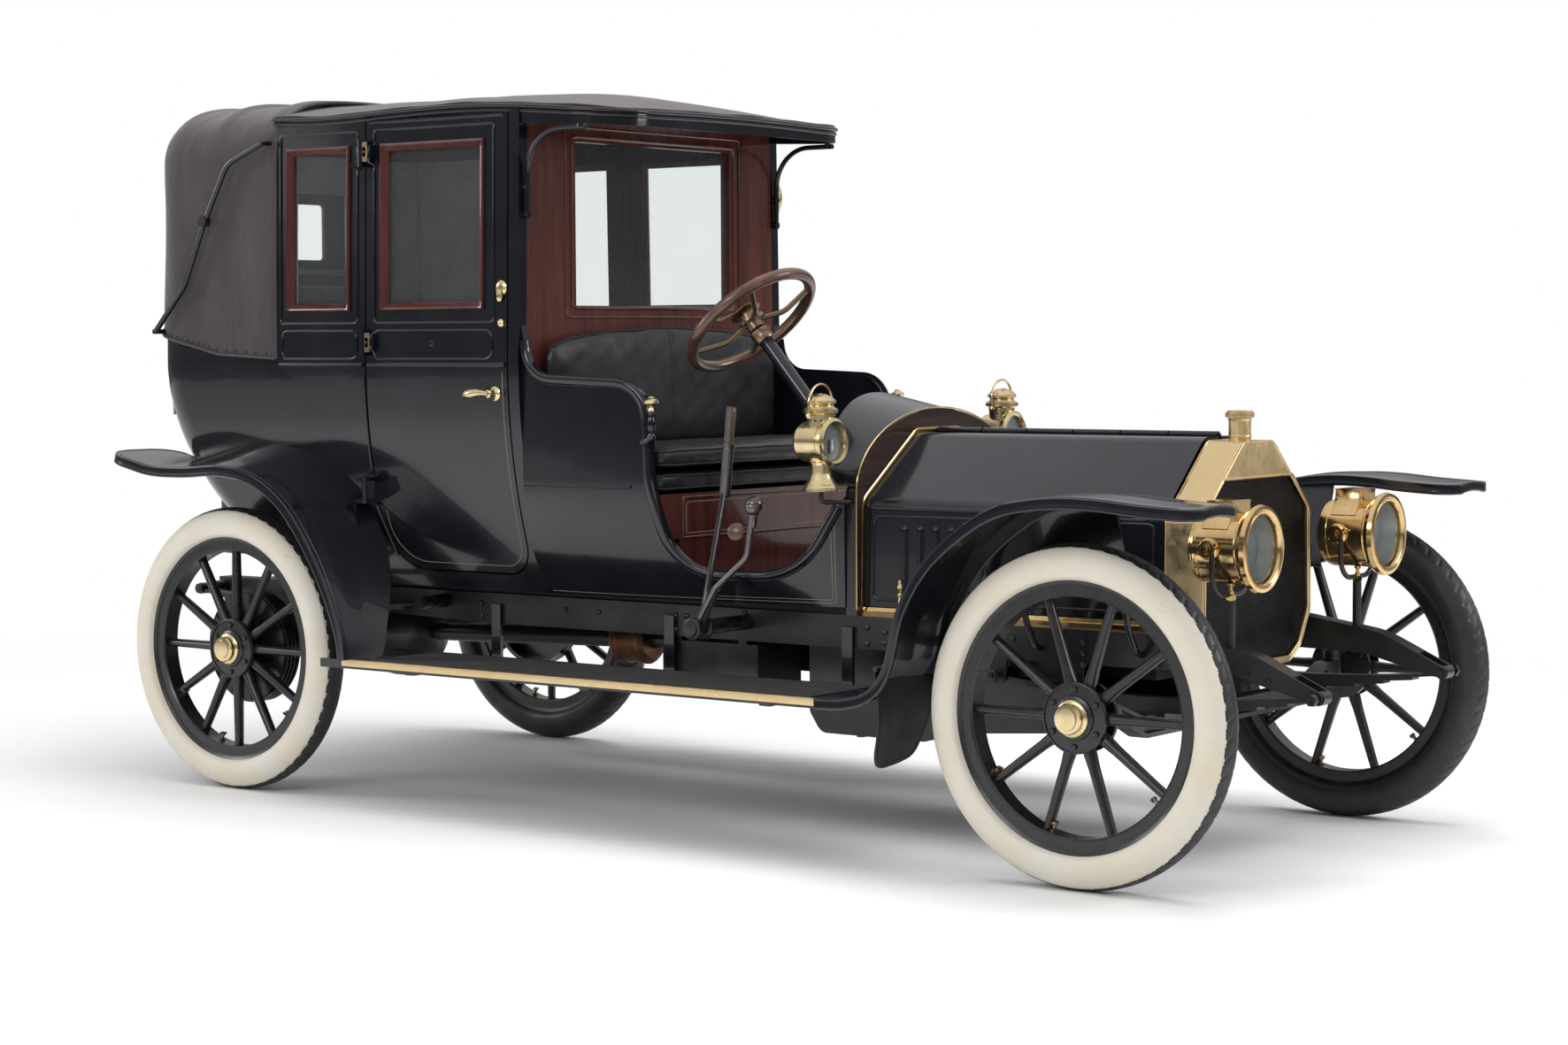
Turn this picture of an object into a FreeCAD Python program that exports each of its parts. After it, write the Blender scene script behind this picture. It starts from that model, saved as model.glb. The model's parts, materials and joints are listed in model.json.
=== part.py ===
import FreeCAD, Part
import math
import os
from FreeCAD import Vector as V

# Brass era landaulet: a chassis on beam axles and leaf springs, an octagonal radiator and bonnet,
# an open driver's seat under a canopy and a closed rear cabin with a leather rear top.
# Millimetres. +X is forward, +Y is the car's left, +Z is up.
# Every piece is drawn from the point on the ground under the front axle and then moved by
# axle_x, which puts the middle of the whole length at the origin.

doc = FreeCAD.newDocument("BrassEraCar")
sheet = doc.addObject("Spreadsheet::Sheet", "Sizes")

sizes = [
    # alias, value, what it is
    ("wheelbase", 3065, "front axle to rear axle"),
    ("track", 1480, "between the tyres' middle planes"),
    ("nose_reach", 505, "front axle to the foremost point, the front wings"),
    ("tail_reach", 540, "rear axle to the rearmost point, the leather top"),
    ("tyre_radius", 440, "outside of the tyre"),
    ("tyre_section", 58, "radius of the tyre's round section"),
    ("rim_radius", 352.6, "edge of the steel rim"),
    ("rim_half", 40, "half the width of the rim"),
    ("felloe_inner", 306, "inside radius of the wooden felloe"),
    ("hub_flange", 92, "radius of the bolted hub flange"),
    ("hub_nose", 45, "radius of the hub outside the flange"),
    ("hub_cap", 37, "radius of the hub cap"),
    ("hub_out", 60, "hub cap's end outboard of the wheel's middle plane"),
    ("spindle", 18, "radius of the front stub axles"),
    ("rear_spindle", 24, "radius of the rear axle's ends"),
    ("running_gap", 0.05, "radial clearance of a running fit"),
    ("drum_radius", 175, "rear brake drum"),
    ("drum_width", 62, "rear brake drum, across the ribs"),
    ("kingpin_y", 655, "centreline to the kingpins"),
    ("kingpin", 11, "radius of the kingpins"),
    ("arm_back", 130, "kingpin to the track rod's pin"),
    ("rail_top", 622, "top of the chassis rails"),
    ("rail_depth", 92, "depth of the chassis rails"),
    ("rail_y", 365, "centreline to the middle of a rail"),
    ("rail_flange", 60, "width of a rail's flanges"),
    ("rail_wall", 8, "thickness of the pressed rails"),
    ("dumb_tip_x", 481, "front spring eye ahead of the front axle"),
    ("dumb_tip_z", 483, "height of the front spring eye"),
    ("handle_z", 476, "height of the starting handle's bearing"),
    ("handle_bore", 14, "radius of the starting handle's bearing"),
    ("spring_width", 44, "width of the leaves"),
    ("leaf", 8, "thickness of a leaf"),
    ("spring_pin", 9, "radius of the spring eye pins"),
    ("rear_spring_y", 480, "centreline to a rear spring"),
    ("radiator_face", 105, "front face of the radiator ahead of the front axle"),
    ("radiator_depth", 112, "depth of the radiator"),
    ("radiator_top", 1116, "top of the radiator shell"),
    ("radiator_band", 44, "width of the brass surround's sides"),
    ("dash_x", 930, "front face of the dash behind the front axle"),
    ("dash_thick", 36, "thickness of the wooden dash"),
    ("bonnet_top", 1126, "top of the bonnet"),
    ("bonnet_base", 648, "lower edge of the bonnet sides"),
    ("bonnet_wall", 8, "thickness of the bonnet panels"),
    ("bonnet_gap", 5.5, "bonnet's ends clear of the radiator and the dash"),
    ("hinge_pin", 5, "radius of the hinge pins"),
    ("hinge_barrel", 10, "radius of the hinge barrels"),
    ("sill_z", 645, "lower edge of the coachwork"),
    ("floor_top", 700, "top of the floor boards"),
    ("belt_z", 1322, "belt line of the cabin"),
    ("cabin_top", 2071, "top of the cabin's side frames"),
    ("front_post_x", 1975, "front of the cabin behind the front axle"),
    ("door_front", 2020, "front edge of the door behind the front axle"),
    ("door_lead", 472, "hinged edge of the door ahead of the rear axle"),
    ("door_bottom", 700, "lower edge of the door"),
    ("door_gap", 5.5, "gap round the doors"),
    ("hinge_out", 14, "door hinge axis outside the belt"),
    ("quarter_lead", 80, "rear edge of the side window's frame ahead of the rear axle"),
    ("cabin_wall", 36, "thickness of the cabin's walls and doors"),
    ("belt_half", 636, "half the width at the belt"),
    ("sill_half", 505, "half the width at the sill"),
    ("cabin_overhang", 518, "rear face of the cabin at the belt behind the rear axle"),
    ("window_low", 1490, "lower edge of the windows"),
    ("window_high", 1984, "upper edge of the windows"),
    ("glass", 6, "thickness of the glass"),
    ("canopy_front", 1640, "front edge of the canopy behind the front axle"),
    ("canopy_half", 612, "half the width of the roof"),
    ("canopy_low", 2010, "lower edge of the canopy's fascia in front"),
    ("canopy_drop", 40, "canopy's front edge below the roof's side edge"),
    ("roof_thick", 14, "height of the roof's edge"),
    ("roof_camber", 62, "rise of the roof at its middle"),
    ("seat_front", 1505, "front of the driver's seat behind the front axle"),
    ("seat_top", 1092, "top of the driver's cushions"),
    ("seat_half", 556, "half the width of the driver's seat"),
    ("board_top", 446, "top of the running boards"),
    ("board_front", 735, "front end of the running boards behind the front axle"),
    ("board_lead", 475, "rear end of the running boards ahead of the rear axle"),
    ("board_out", 850, "outer edge of the running boards"),
    ("board_in", 520, "inner edge of the running boards"),
    ("board_thick", 26, "thickness of the running boards"),
    ("mat_thick", 3, "height of the mats on the running boards"),
    ("wing_out", 872, "outer edge of the wings"),
    ("wing_in", 608, "inner edge of the wings"),
    ("wing_wall", 6, "thickness of the wings"),
    ("lamp_y", 362, "centreline to the headlamps"),
    ("lamp_z", 853, "height of the headlamps"),
    ("lamp_front", 316, "front rim of the headlamps ahead of the front axle"),
    ("lamp_ring", 114, "radius of the headlamp rims"),
    ("lamp_drum", 92, "radius of the headlamp drums"),
    ("side_lamp_x", 1008, "side lamps behind the front axle"),
    ("side_lamp_y", 464, "centreline to the side lamps"),
    ("wheel_hub_x", 1371, "steering wheel's middle behind the front axle"),
    ("wheel_hub_z", 1448, "steering wheel's middle above the ground"),
    ("column_y", 304, "centreline to the steering column"),
    ("column_rake", 48.5, "steering column above the horizontal, degrees"),
    ("wheel_rim", 200, "radius of the steering wheel's rim"),
    ("column_radius", 21, "radius of the steering column's tube"),
]

for row, (alias, value, note) in enumerate(sizes, start=1):
    sheet.set("A%d" % row, note)
    sheet.set("B%d" % row, str(value))
    sheet.setAlias("B%d" % row, alias)
doc.recompute()
S = {alias: float(sheet.get(alias)) for alias, value, note in sizes}
S["door_rear"] = S["wheelbase"] - S["door_lead"]
S["quarter_rear"] = S["wheelbase"] - S["quarter_lead"]
S["cabin_rear"] = S["wheelbase"] + S["cabin_overhang"]
S["board_rear"] = S["wheelbase"] - S["board_lead"]

seat_gap = 0.3
roof_low = S["cabin_top"] + seat_gap

axle_x = "(Sizes.wheelbase + Sizes.tail_reach - Sizes.nose_reach) / 2"
sides = [("right", -1), ("left", 1)]
pieces = []


def seat(piece, name, x="0", y="0", z="0"):
    # Labels a sub-part and places it from the ground point under the front axle.
    piece.Label = name
    piece.setExpression("Placement.Base.x", axle_x + " + (" + x + ")")
    piece.setExpression("Placement.Base.y", y)
    piece.setExpression("Placement.Base.z", z)
    pieces.append(piece)
    return piece


def solid(name, shape):
    # A coachwork or sheet metal piece whose form neither a body nor a primitive gives.
    piece = doc.addObject("Part::Feature", name)
    piece.Shape = shape
    return seat(piece, name)


def rounded(points, closed=True):
    # Turns corners (a, b, radius) into an outline of straight runs and tangent arcs.
    count = len(points)
    outline = []
    for i in range(count):
        a, b, radius = points[i]
        inner = closed or 0 < i < count - 1
        if radius == 0 or not inner:
            outline.append((a, b))
            continue
        before = points[i - 1]
        after = points[(i + 1) % count]
        ux, uy = before[0] - a, before[1] - b
        wx, wy = after[0] - a, after[1] - b
        ul, wl = math.hypot(ux, uy), math.hypot(wx, wy)
        ux, uy, wx, wy = ux / ul, uy / ul, wx / wl, wy / wl
        half = math.acos(max(-1, min(1, ux * wx + uy * wy))) / 2
        reach = radius / math.tan(half)
        bx, by = ux + wx, uy + wy
        bl = math.hypot(bx, by)
        far = radius / math.sin(half) - radius
        outline.append((a + ux * reach, b + uy * reach))
        outline.append((a + bx / bl * far, b + by / bl * far, a + wx * reach, b + wy * reach))
    return outline


def curves(outline, at, closed=True):
    # Lines and three-point arcs of an outline; at() turns its two numbers into a point in space.
    made = []
    last = at(*outline[0])
    for item in outline[1:]:
        end = at(item[-2], item[-1])
        if len(item) == 4:
            made.append(Part.Arc(last, at(item[0], item[1]), end))
        elif (end - last).Length > 1e-6:
            made.append(Part.LineSegment(last, end))
        last = end
    first = at(*outline[0])
    if closed and (first - last).Length > 1e-6:
        made.append(Part.LineSegment(last, first))
    return made


def wire(outline, at, closed=True):
    return Part.Wire([curve.toShape() for curve in curves(outline, at, closed)])


def slab(outline, at, depth):
    # A flat outline pushed along the vector depth.
    return Part.Face(wire(outline, at)).extrude(depth)


def side_view(y):
    return lambda x, z: V(x, y, z)


def plan_view(z):
    return lambda x, y: V(x, y, z)


def front_view(x):
    return lambda y, z: V(x, y, z)


def block(x0, x1, y0, y1, z0, z1):
    return Part.makeBox(x1 - x0, y1 - y0, z1 - z0, V(x0, y0, z0))


def rod(start, end, radius):
    return Part.makeCylinder(radius, (end - start).Length, start, end - start)


def bent_rod(points, radius, bend):
    # A round rod along straight runs joined by tangent arcs of one bend radius.
    made = []
    last = points[0]
    for i in range(1, len(points) - 1):
        here = points[i]
        u = (points[i - 1] - here).normalize()
        w = (points[i + 1] - here).normalize()
        half = u.getAngle(w) / 2
        reach = bend / math.tan(half)
        middle = (u + w).normalize() * (bend / math.sin(half) - bend)
        made.append(Part.LineSegment(last, here + u * reach).toShape())
        made.append(Part.Arc(here + u * reach, here + middle, here + w * reach).toShape())
        last = here + w * reach
    made.append(Part.LineSegment(last, points[-1]).toShape())
    path = Part.Wire(made)
    ring = Part.Wire(Part.makeCircle(radius, points[0], points[1] - points[0]))
    return path.makePipeShell([ring], True, False)


def mirrored(shape):
    return shape.mirror(V(0, 0, 0), V(0, 1, 0))


def pair(shape):
    # The same piece on both sides of the car, as solids that do not touch.
    return Part.makeCompound([shape, mirrored(shape)])


def origin_plane(body, role):
    for feature in body.Origin.OriginFeatures:
        if feature.Role == role:
            return feature


def sketch(body, name, role, outline=None, offset=None):
    drawn = body.newObject("Sketcher::SketchObject", name)
    drawn.AttachmentSupport = [(origin_plane(body, role), "")]
    drawn.MapMode = "FlatFace"
    if offset:
        drawn.setExpression("AttachmentOffset.Base.z", offset)
    if outline:
        drawn.addGeometry(curves(outline, lambda a, b: V(a, b, 0)), False)
    return drawn


def turned(body, name, outline):
    # A profile of (radius, place along the axle) turned about the body's Y axis.
    drawn = sketch(body, name + "_profile", "XY_Plane", outline)
    made = body.newObject("PartDesign::Revolution", name)
    made.Profile = (drawn, [""])
    made.ReferenceAxis = (drawn, ["V_Axis"])
    made.Angle = 360
    return made


# ---- wheels and tyres ----

wheels = [
    # name, side, x behind the front axle, spokes, has a brake drum
    ("front_right", -1, "0", 10, False),
    ("front_left", 1, "0", 10, False),
    ("rear_right", -1, "-Sizes.wheelbase", 12, True),
    ("rear_left", 1, "-Sizes.wheelbase", 12, True),
]


def hub_outline(out, driven):
    # Barrel, two flanges that grip the spokes, nose and cap; a driven hub carries the ribbed drum.
    bore = (S["rear_spindle"] if driven else S["spindle"]) + S["running_gap"]
    back = -44
    if driven:
        back = -36
    outline = [(bore, out * back)]
    if driven:
        inner = back - S["drum_width"]
        outline += [(bore, out * (back - 12)), (S["drum_radius"] - 14, out * (back - 12))]
        outline += [(S["drum_radius"] - 14, out * inner), (S["drum_radius"], out * inner)]
        ribs = 4
        pitch = S["drum_width"] / ribs
        for i in range(ribs):
            low = inner + i * pitch
            outline += [(S["drum_radius"], out * (low + 0.45 * pitch))]
            outline += [(S["drum_radius"] - 7, out * (low + 0.45 * pitch))]
            outline += [(S["drum_radius"] - 7, out * (low + pitch)), (S["drum_radius"], out * (low + pitch))]
        outline.pop()
        outline += [(S["hub_nose"], out * back)]
    else:
        outline += [(S["hub_nose"], out * back)]
    outline += [
        (S["hub_nose"], out * -34),
        (S["hub_flange"], out * -34),
        (S["hub_flange"], out * -22),
        (S["hub_nose"], out * -22),
        (S["hub_nose"], out * 22),
        (S["hub_flange"], out * 22),
        (S["hub_flange"] - 3, out * 29),
        (S["hub_nose"] + 8, out * 31),
        (S["hub_nose"], out * 40),
        (S["hub_cap"], out * 42),
        (S["hub_cap"], out * (S["hub_out"] - 4)),
        (S["hub_cap"] - 4, out * S["hub_out"]),
        (0, out * S["hub_out"]),
        (0, out * 34),
        (bore, out * 34),
    ]
    return outline


def felloe_outline():
    rim, half = S["rim_radius"], S["rim_half"]
    return [
        (S["felloe_inner"], -26),
        (S["felloe_inner"], 26),
        (S["felloe_inner"] + 6, 31),
        (rim - 16, 31),
        (rim, half),
        (rim, half - 4),
        (rim - 8, half - 7),
        (rim - 8, 7 - half),
        (rim, 4 - half),
        (rim, -half),
        (rim - 16, -31),
        (S["felloe_inner"] + 6, -31),
    ]


def tyre_outline():
    # Round section that stands on the rim's edges, with a foot between them.
    middle = S["tyre_radius"] - S["tyre_section"]
    foot = S["rim_radius"] - 7.7
    shelf = S["rim_radius"] + seat_gap
    wide = math.sqrt(S["tyre_section"] ** 2 - (middle - shelf) ** 2)
    grip = S["rim_half"] - 7.3
    return [
        (foot, -grip),
        (foot, grip),
        (shelf, S["rim_half"] - 4.4),
        (shelf, wide),
        (S["tyre_radius"], 0, shelf, -wide),
        (shelf, 4.4 - S["rim_half"]),
    ]


spoke_sections = [
    # radius from the hub's middle, half width round the wheel, half depth along the axle
    ("root", 40, 21, 23),
    ("neck", 132, 14, 18),
    ("tip", 312, 12, 15),
]

for name, out, x, spokes, driven in wheels:
    body = doc.addObject("PartDesign::Body", "wheel_" + name)
    turned(body, "hub_" + name, hub_outline(out, driven))
    rings = []
    for label, radius, half_width, half_depth in spoke_sections:
        ring = sketch(body, "spoke_" + label + "_" + name, "YZ_Plane")
        ring.AttachmentOffset = FreeCAD.Placement(V(0, 0, radius), FreeCAD.Rotation())
        ring.addGeometry(Part.Ellipse(V(half_depth, 0, 0), V(0, half_width, 0), V(0, 0, 0))
                         if half_depth > half_width
                         else Part.Ellipse(V(0, half_width, 0), V(half_depth, 0, 0), V(0, 0, 0)), False)
        rings.append(ring)
    spoke = body.newObject("PartDesign::AdditiveLoft", "spoke_" + name)
    spoke.Profile = (rings[0], [""])
    spoke.Sections = rings[1:]
    spoke.Ruled = True
    doc.recompute()
    fan = body.newObject("PartDesign::PolarPattern", "spokes_" + name)
    fan.Originals = [spoke]
    fan.Axis = (origin_plane(body, "Y_Axis"), [""])
    fan.Angle = 360
    fan.Occurrences = spokes
    body.Tip = fan
    turned(body, "felloe_" + name, felloe_outline())
    seat(body, "wheel_" + name, x, str(out) + " * Sizes.track / 2", "Sizes.tyre_radius")

    tyre = doc.addObject("PartDesign::Body", "tyre_" + name)
    turned(tyre, "casing_" + name, tyre_outline())
    seat(tyre, "tyre_" + name, x, str(out) + " * Sizes.track / 2", "Sizes.tyre_radius")

# ---- chassis frame ----

rail_low = S["rail_top"] - S["rail_depth"]
rail_end = -S["wheelbase"] - 455
rail_out = S["rail_y"] + S["rail_flange"] / 2
rail_in = S["rail_y"] - S["rail_flange"] / 2
spring_y = S["rail_y"]
fork = S["spring_width"] / 2 + 0.5
front_rear_eye = (-470, 486)
rear_front_eye = (-S["wheelbase"] + 560, 590)
rear_rear_eye = (-S["wheelbase"] - 430, 590)

# A rail seen from the side: deep in the middle, tapering to the rear, and curving down in front
# to the dumb iron's eye.
rail_outline = rounded([
    (rail_end, S["rail_top"], 0),
    (60, S["rail_top"], 240),
    (300, S["rail_top"] - 36, 300),
    (S["dumb_tip_x"] + 16, S["dumb_tip_z"] + 12, 14),
    (S["dumb_tip_x"] + 12, S["dumb_tip_z"] - 14, 12),
    (S["dumb_tip_x"] - 24, S["dumb_tip_z"] - 10, 12),
    (250, S["rail_top"] - 96, 260),
    (40, rail_low, 300),
    (-S["wheelbase"] + 700, rail_low, 300),
    (rail_end, rail_low + 34, 0),
])


def chassis_frame():
    # Two pressed channel rails, open side inwards, with dumb irons in front and studs for the springs.
    rail = slab(rail_outline, side_view(rail_in), V(0, S["rail_flange"], 0))
    hollow = rounded([
        (rail_end - 20, S["rail_top"] - S["rail_wall"], 0),
        (20, S["rail_top"] - S["rail_wall"], 20),
        (20, rail_low + S["rail_wall"], 20),
        (-S["wheelbase"] + 700, rail_low + S["rail_wall"], 300),
        (rail_end - 20, rail_low + 34 + S["rail_wall"], 0),
    ])
    rail = rail.cut(slab(hollow, side_view(rail_in - 5), V(0, S["rail_flange"] + 5 - S["rail_wall"], 0)))
    tip = V(S["dumb_tip_x"], spring_y, S["dumb_tip_z"])
    rail = rail.cut(block(tip.x - 72, tip.x + 60, spring_y - fork, spring_y + fork, 400, 560))
    rail = rail.fuse(rod(tip - V(0, S["rail_flange"] / 2 + 8, 0), tip + V(0, S["rail_flange"] / 2 + 8, 0),
                         S["spring_pin"]))
    # Shackle plates for the front spring's rear eye, and studs for the rear spring's eyes.
    x, z = front_rear_eye
    for low in (spring_y - fork - 8, spring_y + fork):
        rail = rail.fuse(slab(rounded([(x - 24, z - 24, 20), (x + 24, z - 24, 20), (x + 30, rail_low + 4, 0),
                                       (x - 30, rail_low + 4, 0)]), side_view(low), V(0, 8, 0)))
    rail = rail.fuse(rod(V(x, spring_y - fork - 14, z), V(x, spring_y + fork + 14, z), S["spring_pin"]))
    for x, z in (rear_front_eye, rear_rear_eye):
        inner, outer = S["rear_spring_y"] - fork, S["rear_spring_y"] + fork
        rail = rail.fuse(rod(V(x, rail_out - 4, z), V(x, inner, z), 21))
        rail = rail.fuse(rod(V(x, rail_out - 4, z), V(x, outer + 10, z), S["spring_pin"]))
        rail = rail.fuse(rod(V(x, outer, z), V(x, outer + 8, z), 16))
    return pair(rail.removeSplitter())


def cross_members():
    # Four pressed members whose ends lie in the rails' channels, and under the front one the bearing
    # for the starting handle.
    members = [
        # x, length along the car, top, depth
        (S["radiator_face"] - S["radiator_depth"] - 60 - seat_gap, 60, S["rail_top"] - 12, 56),
        (-880, 70, S["rail_top"] - 12, 60),
        (-2050, 80, S["rail_top"] - 12, 60),
        (rail_end + 40, 60, S["rail_top"] - 12, 36),
    ]
    reach = rail_out - S["rail_wall"] - seat_gap
    bars = []
    for x, length, top, depth in members:
        bar = block(x, x + length, -reach, reach, top - depth, top)
        hollow = block(x - 1, x + length - 8, 4 - rail_in, rail_in - 4, top - depth - 1, top - 8)
        bars.append(bar.cut(hollow))
    front = members[0][0]
    web = block(front + 52, front + 60, -20, 20, S["handle_z"], S["rail_top"] - 60)
    bearing = rod(V(front + 20, 0, S["handle_z"]), V(front + 60, 0, S["handle_z"]), 24)
    bars[0] = bars[0].fuse([web, bearing])
    bars[0] = bars[0].cut(rod(V(front, 0, S["handle_z"]), V(front + 80, 0, S["handle_z"]), S["handle_bore"]))
    return Part.makeCompound([bar.removeSplitter() for bar in bars])


solid("chassis_frame", chassis_frame())
solid("cross_members", cross_members())

# ---- springs ----


def leaf_pack(front, rear, low, leaves, y, low_x):
    # A semi-elliptic spring: a main leaf with rolled eyes over shorter leaves, all bent about one centre.
    half = S["spring_width"] / 2
    ring = Part.Circle(V(rear[0], 0, rear[1]), V(low_x, 0, low), V(front[0], 0, front[1]))
    near, far = V(ring.Center.x, y - half, ring.Center.z), V(ring.Center.x, y + half, ring.Center.z)
    shapes = []
    for i in range(leaves):
        share = 1 - i / (leaves + 0.6)
        radius = ring.Radius + i * S["leaf"]
        band = rod(near, far, radius + S["leaf"]).cut(rod(near, far, radius))
        x0, x1 = low_x + (rear[0] - low_x) * share, low_x + (front[0] - low_x) * share
        shapes.append(band.common(block(x0, x1, y - half, y + half, low - 100, low + 200)))
    pack = shapes[0].fuse(shapes[1:])
    for x, z in (front, rear):
        pack = pack.fuse(rod(V(x, y - half, z), V(x, y + half, z), S["spring_pin"] + 9))
    for x, z in (front, rear):
        pack = pack.cut(rod(V(x, y - half - 5, z), V(x, y + half + 5, z), S["spring_pin"] + 0.02))
    return pack


front_low = 424
rear_low = 520


def springs():
    tip = (S["dumb_tip_x"], S["dumb_tip_z"])
    front = leaf_pack(tip, front_rear_eye, front_low + 4 * S["leaf"], 5, spring_y, 0)
    rear = leaf_pack(rear_front_eye, rear_rear_eye, rear_low + 6 * S["leaf"], 7, S["rear_spring_y"],
                     -S["wheelbase"])
    return Part.makeCompound([front, mirrored(front), rear, mirrored(rear)])


solid("springs", springs())

# ---- axles ----

beam_low = 356


def front_axle():
    # A dropped I-beam with an upright eye at each end for the kingpin, and two spring seats.
    z = S["tyre_radius"]
    eye = S["kingpin_y"]
    outline = rounded([
        (-eye, z + 24, 0),
        (-eye + 60, z + 22, 60),
        (-eye + 190, beam_low + 58, 60),
        (eye - 190, beam_low + 58, 60),
        (eye - 60, z + 22, 60),
        (eye, z + 24, 0),
        (eye, z - 26, 0),
        (eye - 84, z - 28, 60),
        (eye - 200, beam_low, 60),
        (-eye + 200, beam_low, 60),
        (-eye + 84, z - 28, 60),
        (-eye, z - 26, 0),
    ])
    half = 24
    beam = slab(outline, front_view(-half), V(2 * half, 0, 0))
    groove = rounded([
        (-eye + 74, z + 6, 4),
        (-eye + 196, beam_low + 46, 40),
        (eye - 196, beam_low + 46, 40),
        (eye - 74, z + 6, 4),
        (eye - 82, z - 12, 4),
        (eye - 206, beam_low + 12, 40),
        (-eye + 206, beam_low + 12, 40),
        (-eye + 82, z - 12, 4),
    ])
    beam = beam.cut(slab(groove, front_view(-half - 1), V(half - 5, 0, 0)))
    beam = beam.cut(slab(groove, front_view(6), V(half, 0, 0)))
    for out in (-1, 1):
        beam = beam.fuse(rod(V(0, out * eye, z - 35), V(0, out * eye, z + 35), 26))
        beam = beam.fuse(block(-45, 45, out * spring_y - 28, out * spring_y + 28, beam_low + 50,
                               front_low - S["leaf"] - seat_gap))
    for out in (-1, 1):
        beam = beam.cut(rod(V(0, out * eye, z - 50), V(0, out * eye, z + 50),
                            S["kingpin"] + S["running_gap"]))
    return beam.removeSplitter()


solid("front_axle", front_axle())


def rear_axle():
    # Live axle: a tapered tube each side of a round differential case, with plain wheel ends.
    half = S["track"] / 2
    outline = [
        (0, -half - 26),
        (S["rear_spindle"], -half - 26),
        (S["rear_spindle"], -half + 112),
        (62, -half + 112),
        (62, -half + 124),
        (40, -half + 130),
        (52, -150),
        (118, -96),
        (152, 0, 118, 96),
        (52, 150),
        (40, half - 130),
        (62, half - 124),
        (62, half - 112),
        (S["rear_spindle"], half - 112),
        (S["rear_spindle"], half + 26),
        (0, half + 26),
    ]
    body = doc.addObject("PartDesign::Body", "rear_axle")
    turned(body, "axle_case", outline)
    for label, out in sides:
        drawn = sketch(body, "spring_seat_" + label, "XY_Plane", [
            (-40, out * S["rear_spring_y"] - 27),
            (40, out * S["rear_spring_y"] - 27),
            (40, out * S["rear_spring_y"] + 27),
            (-40, out * S["rear_spring_y"] + 27),
        ])
        pad = body.newObject("PartDesign::Pad", "spring_pad_" + label)
        pad.Profile = (drawn, [""])
        pad.Length = rear_low - S["tyre_radius"] - S["leaf"] - seat_gap
    return body


seat(rear_axle(), "rear_axle", "-Sizes.wheelbase", "0", "Sizes.tyre_radius")

# ---- engine, gearbox and what hangs under the frame ----


shaft_start = V(-1550, 0, 478)
shaft_end = V(160 - S["wheelbase"], 0, S["tyre_radius"])


def engine_and_gearbox():
    # The engine as one plain block, the gearbox behind it and the shaft to the rear axle.
    block_shape = block(-800, -120, -150, 150, 470, 985)
    shelf = rail_low + S["rail_wall"] + seat_gap
    reach = rail_out - S["rail_wall"] - 5
    legs = block(-640, -560, -reach, reach, shelf, 600)
    box = block(-1560, -1180, -130, 130, 420, 640)
    shaft = rod(V(-800, 0, 505), V(-1190, 0, 505), 40)
    tail = rod(shaft_start, shaft_end, 28)
    arms = block(-1420, -1340, -reach, reach, shelf, 600)
    return block_shape.fuse([legs, box, shaft, tail, arms]).removeSplitter()


solid("engine_and_gearbox", engine_and_gearbox())


def shaft_brake():
    # Ribbed drum of the transmission brake on the shaft behind the gearbox.
    along = (shaft_end - shaft_start).normalize()
    start = shaft_start + along * 440
    up = V(-along.z, 0, along.x)
    profile = [(28 + seat_gap, 0), (60, 0), (74, 14), (78, 20), (78, 34), (74, 40), (74, 96), (78, 102),
               (78, 116), (74, 122), (60, 136), (28 + seat_gap, 136)]
    return Part.Face(wire(profile, lambda r, a: start + up * r + along * a)).revolve(start, along, 360)


solid("shaft_brake", shaft_brake())


def undertray():
    # Open sheet tray under the engine, flanged on the rails' lower faces and open in front, and the
    # box that hangs in two straps under the right rail.
    wall = 5
    half = rail_in - 20
    under = rail_low - seat_gap
    side = rounded([
        (-1160, under, 0),
        (-1160, 330, 30),
        (-1120, 272, 40),
        (-760, 272, 40),
        (-700, 300, 0),
        (-300, 330, 60),
        (-250, 440, 0),
        (-250, under, 0),
    ])
    room = rounded([
        (-1160 + wall, under + 1, 0),
        (-1160 + wall, 330, 30 - wall),
        (-1120, 272 + wall, 40),
        (-760, 272 + wall, 40),
        (-700, 300 + wall, 0),
        (-300, 330 + wall, 60),
        (-240, 430, 0),
        (-240, under + 1, 0),
    ])
    tray = slab(side, side_view(-half), V(0, 2 * half, 0))
    tray = tray.cut(slab(room, side_view(wall - half), V(0, 2 * (half - wall), 0)))
    tray = tray.cut(rod(V(-1170, 0, 505), V(-1150, 0, 505), 46))
    for low in (-half - 40, half - wall):
        tray = tray.fuse(block(-1150, -520, low, low + 40 + wall, under - wall, under))
    tray = tray.fuse(rod(V(-1060, -200, 275), V(-1060, -200, 252), 14))
    tank = block(-1640, -1290, -388, -180, 380, 518)
    for x in (-1600, -1360):
        tank = tank.fuse(block(x, x + 30, -388, -345, 516, under))
    return Part.makeCompound([tray, tank])


solid("undertray", undertray())

# ---- radiator ----

octagon = [
    # half outline of the radiator from the top down: y, z, corner radius
    (83, S["radiator_top"], 26),
    (304, 919, 26),
    (308, 640, 24),
    (252, 545, 20),
    (190, 505, 16),
]


def mirror_outline(half):
    return half + [(-y, z, r) for y, z, r in reversed(half)]


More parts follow.
